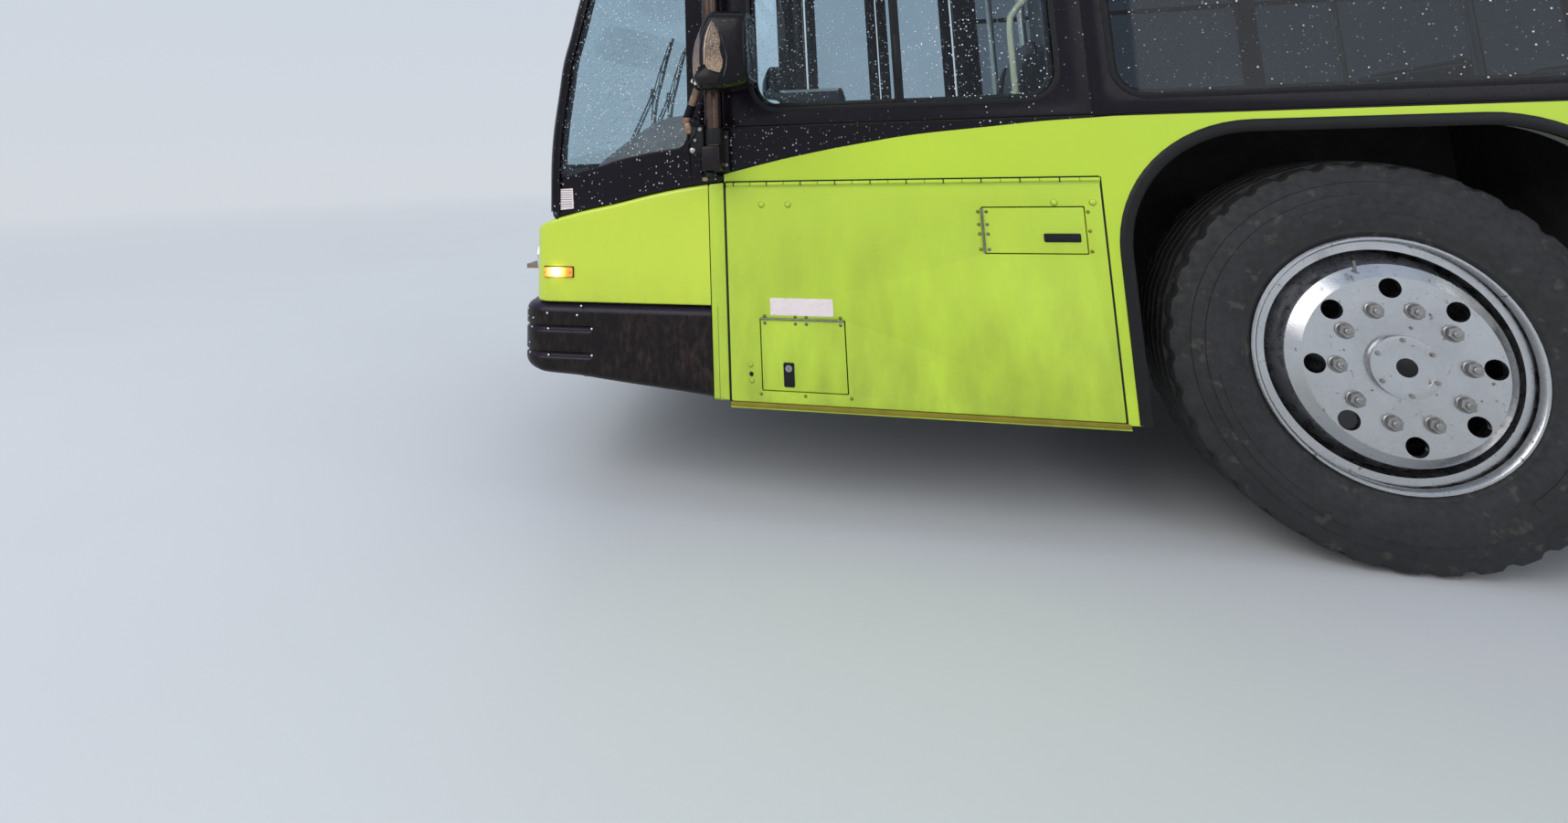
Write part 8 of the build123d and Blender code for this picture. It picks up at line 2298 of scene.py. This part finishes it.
g.bm(flat_plate([rounded([(-0.560, 0.860), (0.560, 0.860), (0.560, 1.260), (-0.560, 1.260)], 0.012, 4), rounded([(-0.545, 0.875), (0.545, 0.875), (0.545, 1.245), (-0.545, 1.245)], 0.008, 4)], 0.0050, 0.0015), 3,
     cross_matrix(RX - 0.0022))
g.make("engine_door_fittings", [M["lime"], M["rubber"], M["hinge"], M["lime"]], "engine_door", slot="lime_paint")
g = Geo()
# bumper: rubber steps, bolts, tow eyes
for z in (0.6270,):
    g.box(-6.2500, -6.1840, -1.1600, 1.1600, z - 0.0005, z + 0.0045, 0.002, 0, 2)
    for k in range(46):
        y = -1.13 + k * 0.0502
        g.box(-6.2440, -6.1900, y - 0.006, y + 0.006, z + 0.0040, z + 0.0062, 0.001, 0, 1)
for y in (-1.05, -0.70, -0.35, 0.35, 0.70, 1.05):
    g.dome((-6.2598, y, 0.590), (-1, 0, 0), 0.013, 0.0050, 14, 1)
for s in (1, -1):
    g.box(-6.2150, -6.1520, s * 0.62 - 0.012, s * 0.62 + 0.012, 0.440, 0.520, 0.005, 1, 2)
# plate seat with a blank plate
g.bm(flat_plate([rounded([(1.090 - 0.105, 0.745), (1.090 + 0.105, 0.745), (1.090 + 0.105, 0.895), (1.090 - 0.105, 0.895)], 0.008, 4)] +
                [[(1.090 + dy + 0.0042 * math.cos(a), 0.820 + dz + 0.0042 * math.sin(a)) for a in (2 * math.pi * k / 12 for k in range(12))] for dy in (-0.0889, 0.0889) for dz in (-0.0603, 0.0603)],
                0.0030, 0.0008), 2, cross_matrix(RX - 0.0018))
g.box(RX - 0.026, RX - 0.001, 1.050, 1.130, 0.905, 0.925, 0.004, 0, 2)
g.make("bumper_and_plate_fittings", [M["rubber"], M["hinge"], M["label"]], slot="bumper")

# ------------------------------------------------------------------ under the floor: tanks, shaft, dampers, brakes, pipes
M["tank"] = surface("air_tank_coat", srgb(40, 40, 42), 0.45, metal=0.2, var=0.25, scale=12.0, bumps=[(160.0, 4.0, 0.0003)], speck=(60.0, srgb(86, 72, 56), 0.62))
M["cast"] = surface("cast_iron_dirty", srgb(74, 68, 62), 0.7, metal=0.4, var=0.3, scale=24.0, bumps=[(140.0, 5.0, 0.0006)], speck=(50.0, srgb(110, 80, 54), 0.60))
g = Geo()
for x, y, ln in ((1.90, 0.78, 0.80), (0.80, 0.78, 0.80), (1.35, -0.80, 0.90)):
    r = 0.105
    prof = [(0.0, 0.0), (r * 0.45, 0.006), (r * 0.80, 0.022), (r * 0.96, 0.046), (r, 0.075), (r, ln - 0.075), (r * 0.96, ln - 0.046), (r * 0.80, ln - 0.022), (r * 0.45, ln - 0.006), (0.0, ln)]
    g.lathe(prof, (x - ln / 2, y, 0.300), (1, 0, 0), 28, 0)
    for dx in (-ln * 0.3, ln * 0.3):
        g.lathe([(r + 0.0005, -0.016), (r + 0.0045, -0.016), (r + 0.0045, 0.016), (r + 0.0005, 0.016)], (x + dx, y, 0.300), (1, 0, 0), 28, 1, True)
        g.box(x + dx - 0.016, x + dx + 0.016, y - 0.045, y + 0.045, 0.385, 0.410, 0.004, 1, 2)
g.make("air_tanks", [M["tank"], M["hinge"]], slot="chassis")
g = Geo()
# wound drum over each brake and lever beside it, dampers beside the air springs, pipes along the frame
for s in (1, -1):
    x, y = AXLE_R + 0.26, s * 0.50
    g.lathe([(0.0, 0.0), (0.060, 0.0), (0.082, 0.012), (0.082, 0.055), (0.092, 0.058), (0.092, 0.070), (0.082, 0.073), (0.082, 0.140), (0.070, 0.160), (0.0, 0.163)], (x, y, 0.420), (0.35, 0, 0.94), 24, 0)
    g.tube([(AXLE_R + 0.36, s * 0.40, 0.330), (AXLE_R + 0.30, s * 0.42, 0.640)], [0.030, 0.030], 16, 0)
    g.tube([(AXLE_R + 0.365, s * 0.398, 0.300), (AXLE_R + 0.36, s * 0.40, 0.332)], 0.014, 12, 1)
    g.tube([(2.60, s * 0.46, 0.330), (1.0, s * 0.47, 0.325), (-1.0, s * 0.47, 0.325), (-2.55, s * 0.46, 0.340)], 0.011, 10, 1)
    g.tube([(2.60, s * 0.43, 0.326), (1.0, s * 0.44, 0.322), (-1.0, s * 0.44, 0.322), (-2.55, s * 0.43, 0.335)], 0.008, 10, 2)
g.make("brake_chambers_and_pipes", [M["tank"], M["hinge"], M["rubber"]], slot="chassis")
g = Geo()
# drive shaft between engine and rear axle with its joints, pan and filters below the engine
g.tube([(-4.880, 0.0, 0.560), (-3.640, 0.0, 0.515)], 0.048, 20, 0)
for x, z in ((-4.880, 0.560), (-3.640, 0.515)):
    g.lathe([(0.0, -0.030), (0.078, -0.030), (0.082, -0.024), (0.082, -0.010), (0.060, -0.006), (0.056, 0.040), (0.0, 0.040)] if x < -4 else
            [(0.0, 0.030), (0.078, 0.030), (0.082, 0.024), (0.082, 0.010), (0.060, 0.006), (0.056, -0.040), (0.0, -0.040)], (x, 0, z), (1, 0, -0.036), 24, 0)
g.box(-5.900, -5.000, -0.300, 0.300, 0.360, 0.440, 0.030, 0, 3)
for k in range(9):
    g.box(-5.860 + k * 0.100, -5.845 + k * 0.100, -0.296, 0.296, 0.352, 0.364, 0.004, 0, 1)
for y in (-0.36, 0.36):
    g.lathe([(0.0, 0.0), (0.050, 0.0), (0.054, 0.010), (0.054, 0.150), (0.046, 0.165), (0.0, 0.166)], (-5.30, y, 0.380), (0, 0, 1), 24, 1)
g.make("shaft_and_sump", [M["cast"], M["tank"]], slot="chassis", smooth=40)


# ------------------------------------------------------------------ floor, sky and lamps of the studio
HORIZON = (0.77, 0.815, 0.875)
SKY = 0.84


def floor_material():
    t = Tree("studio_floor")
    p = principled(t, 0.55, spec=0.3)
    t.link(t.mix(t.span(t.noise(0.6, 4.0), 0.3, 0.7), (0.67, 0.672, 0.676), (0.70, 0.702, 0.706)), p.inputs["Base Color"])
    t.link(t.bump([(t.noise(60.0, 3.0), 0.0003)]), p.inputs["Normal"])
    # far from the object the floor fades into the sky, so that no edge shows behind it
    far = t.node("ShaderNodeEmission")
    far.inputs[0].default_value = (*HORIZON, 1)
    far.inputs[1].default_value = SKY
    away = t.node("ShaderNodeVectorMath", operation="LENGTH")
    t.link(t.co, away.inputs[0])
    mixer = t.node("ShaderNodeMixShader")
    t.link(t.math("POWER", t.span(away.outputs["Value"], 6.0, 27.0), 0.55), mixer.inputs[0])
    t.link(p.outputs[0], mixer.inputs[1])
    t.link(far.outputs[0], mixer.inputs[2])
    t.link(mixer.outputs[0], t.out.inputs[0])
    return t.mat


me = bpy.data.meshes.new("studio_floor")
me.from_pydata([(-60, -60, -0.0005), (60, -60, -0.0005), (60, 60, -0.0005), (-60, 60, -0.0005)], [], [(0, 1, 2, 3)])
me.materials.append(floor_material())
ground = bpy.data.objects.new("studio_floor", me)
sc.collection.objects.link(ground)

world = bpy.data.worlds.new("soft_sky")
sc.world = world
world.use_nodes = True
wn = world.node_tree
wn.nodes.clear()
bg = wn.nodes.new("ShaderNodeBackground")
wo = wn.nodes.new("ShaderNodeOutputWorld")
grad = wn.nodes.new("ShaderNodeTexCoord")
sep = wn.nodes.new("ShaderNodeSeparateXYZ")
ramp = wn.nodes.new("ShaderNodeValToRGB")
wn.links.new(grad.outputs["Generated"], sep.inputs[0])
wn.links.new(sep.outputs[2], ramp.inputs[0])
ramp.color_ramp.elements[0].position = 0.0
ramp.color_ramp.elements[0].color = (*HORIZON, 1)
ramp.color_ramp.elements[1].position = 0.7
ramp.color_ramp.elements[1].color = (0.64, 0.75, 0.92, 1)
wn.links.new(ramp.outputs[0], bg.inputs[0])
bg.inputs[1].default_value = SKY
wn.links.new(bg.outputs[0], wo.inputs[0])


def area(name, where, target, size, power, colour=(1, 1, 1), size_y=None):
    data = bpy.data.lights.new(name, "AREA")
    data.shape = "RECTANGLE"
    data.size, data.size_y = size, size_y or size
    data.energy = power
    data.color = colour
    ob = bpy.data.objects.new(name, data)
    sc.collection.objects.link(ob)
    ob.location = where
    ob.rotation_mode = "QUATERNION"
    ob.rotation_quaternion = (Vector(target) - Vector(where)).to_track_quat("-Z", "Y")
    return ob


area("key", (9.5, 9.0, 7.0), (4.5, 0.5, 1.0), 7.0, 490.0, (1.0, 0.97, 0.92))
area("side", (-4.0, 12.0, 6.0), (-1.0, 0.5, 1.2), 9.0, 325.0, (0.95, 0.97, 1.0))
area("far_side", (0.0, -12.0, 7.0), (0.0, -1.0, 1.2), 12.0, 400.0, (0.95, 0.97, 1.0), 8.0)
area("rear", (-13.0, 2.0, 6.0), (-6.0, 0.0, 1.5), 7.0, 220.0)
area("over", (0.0, 0.0, 11.0), (0.0, 0.0, 0.0), 16.0, 150.0, (1, 1, 1), 8.0)

sc.view_settings.view_transform = "Standard"
sc.view_settings.look = "None"
sc.view_settings.exposure = 0.0
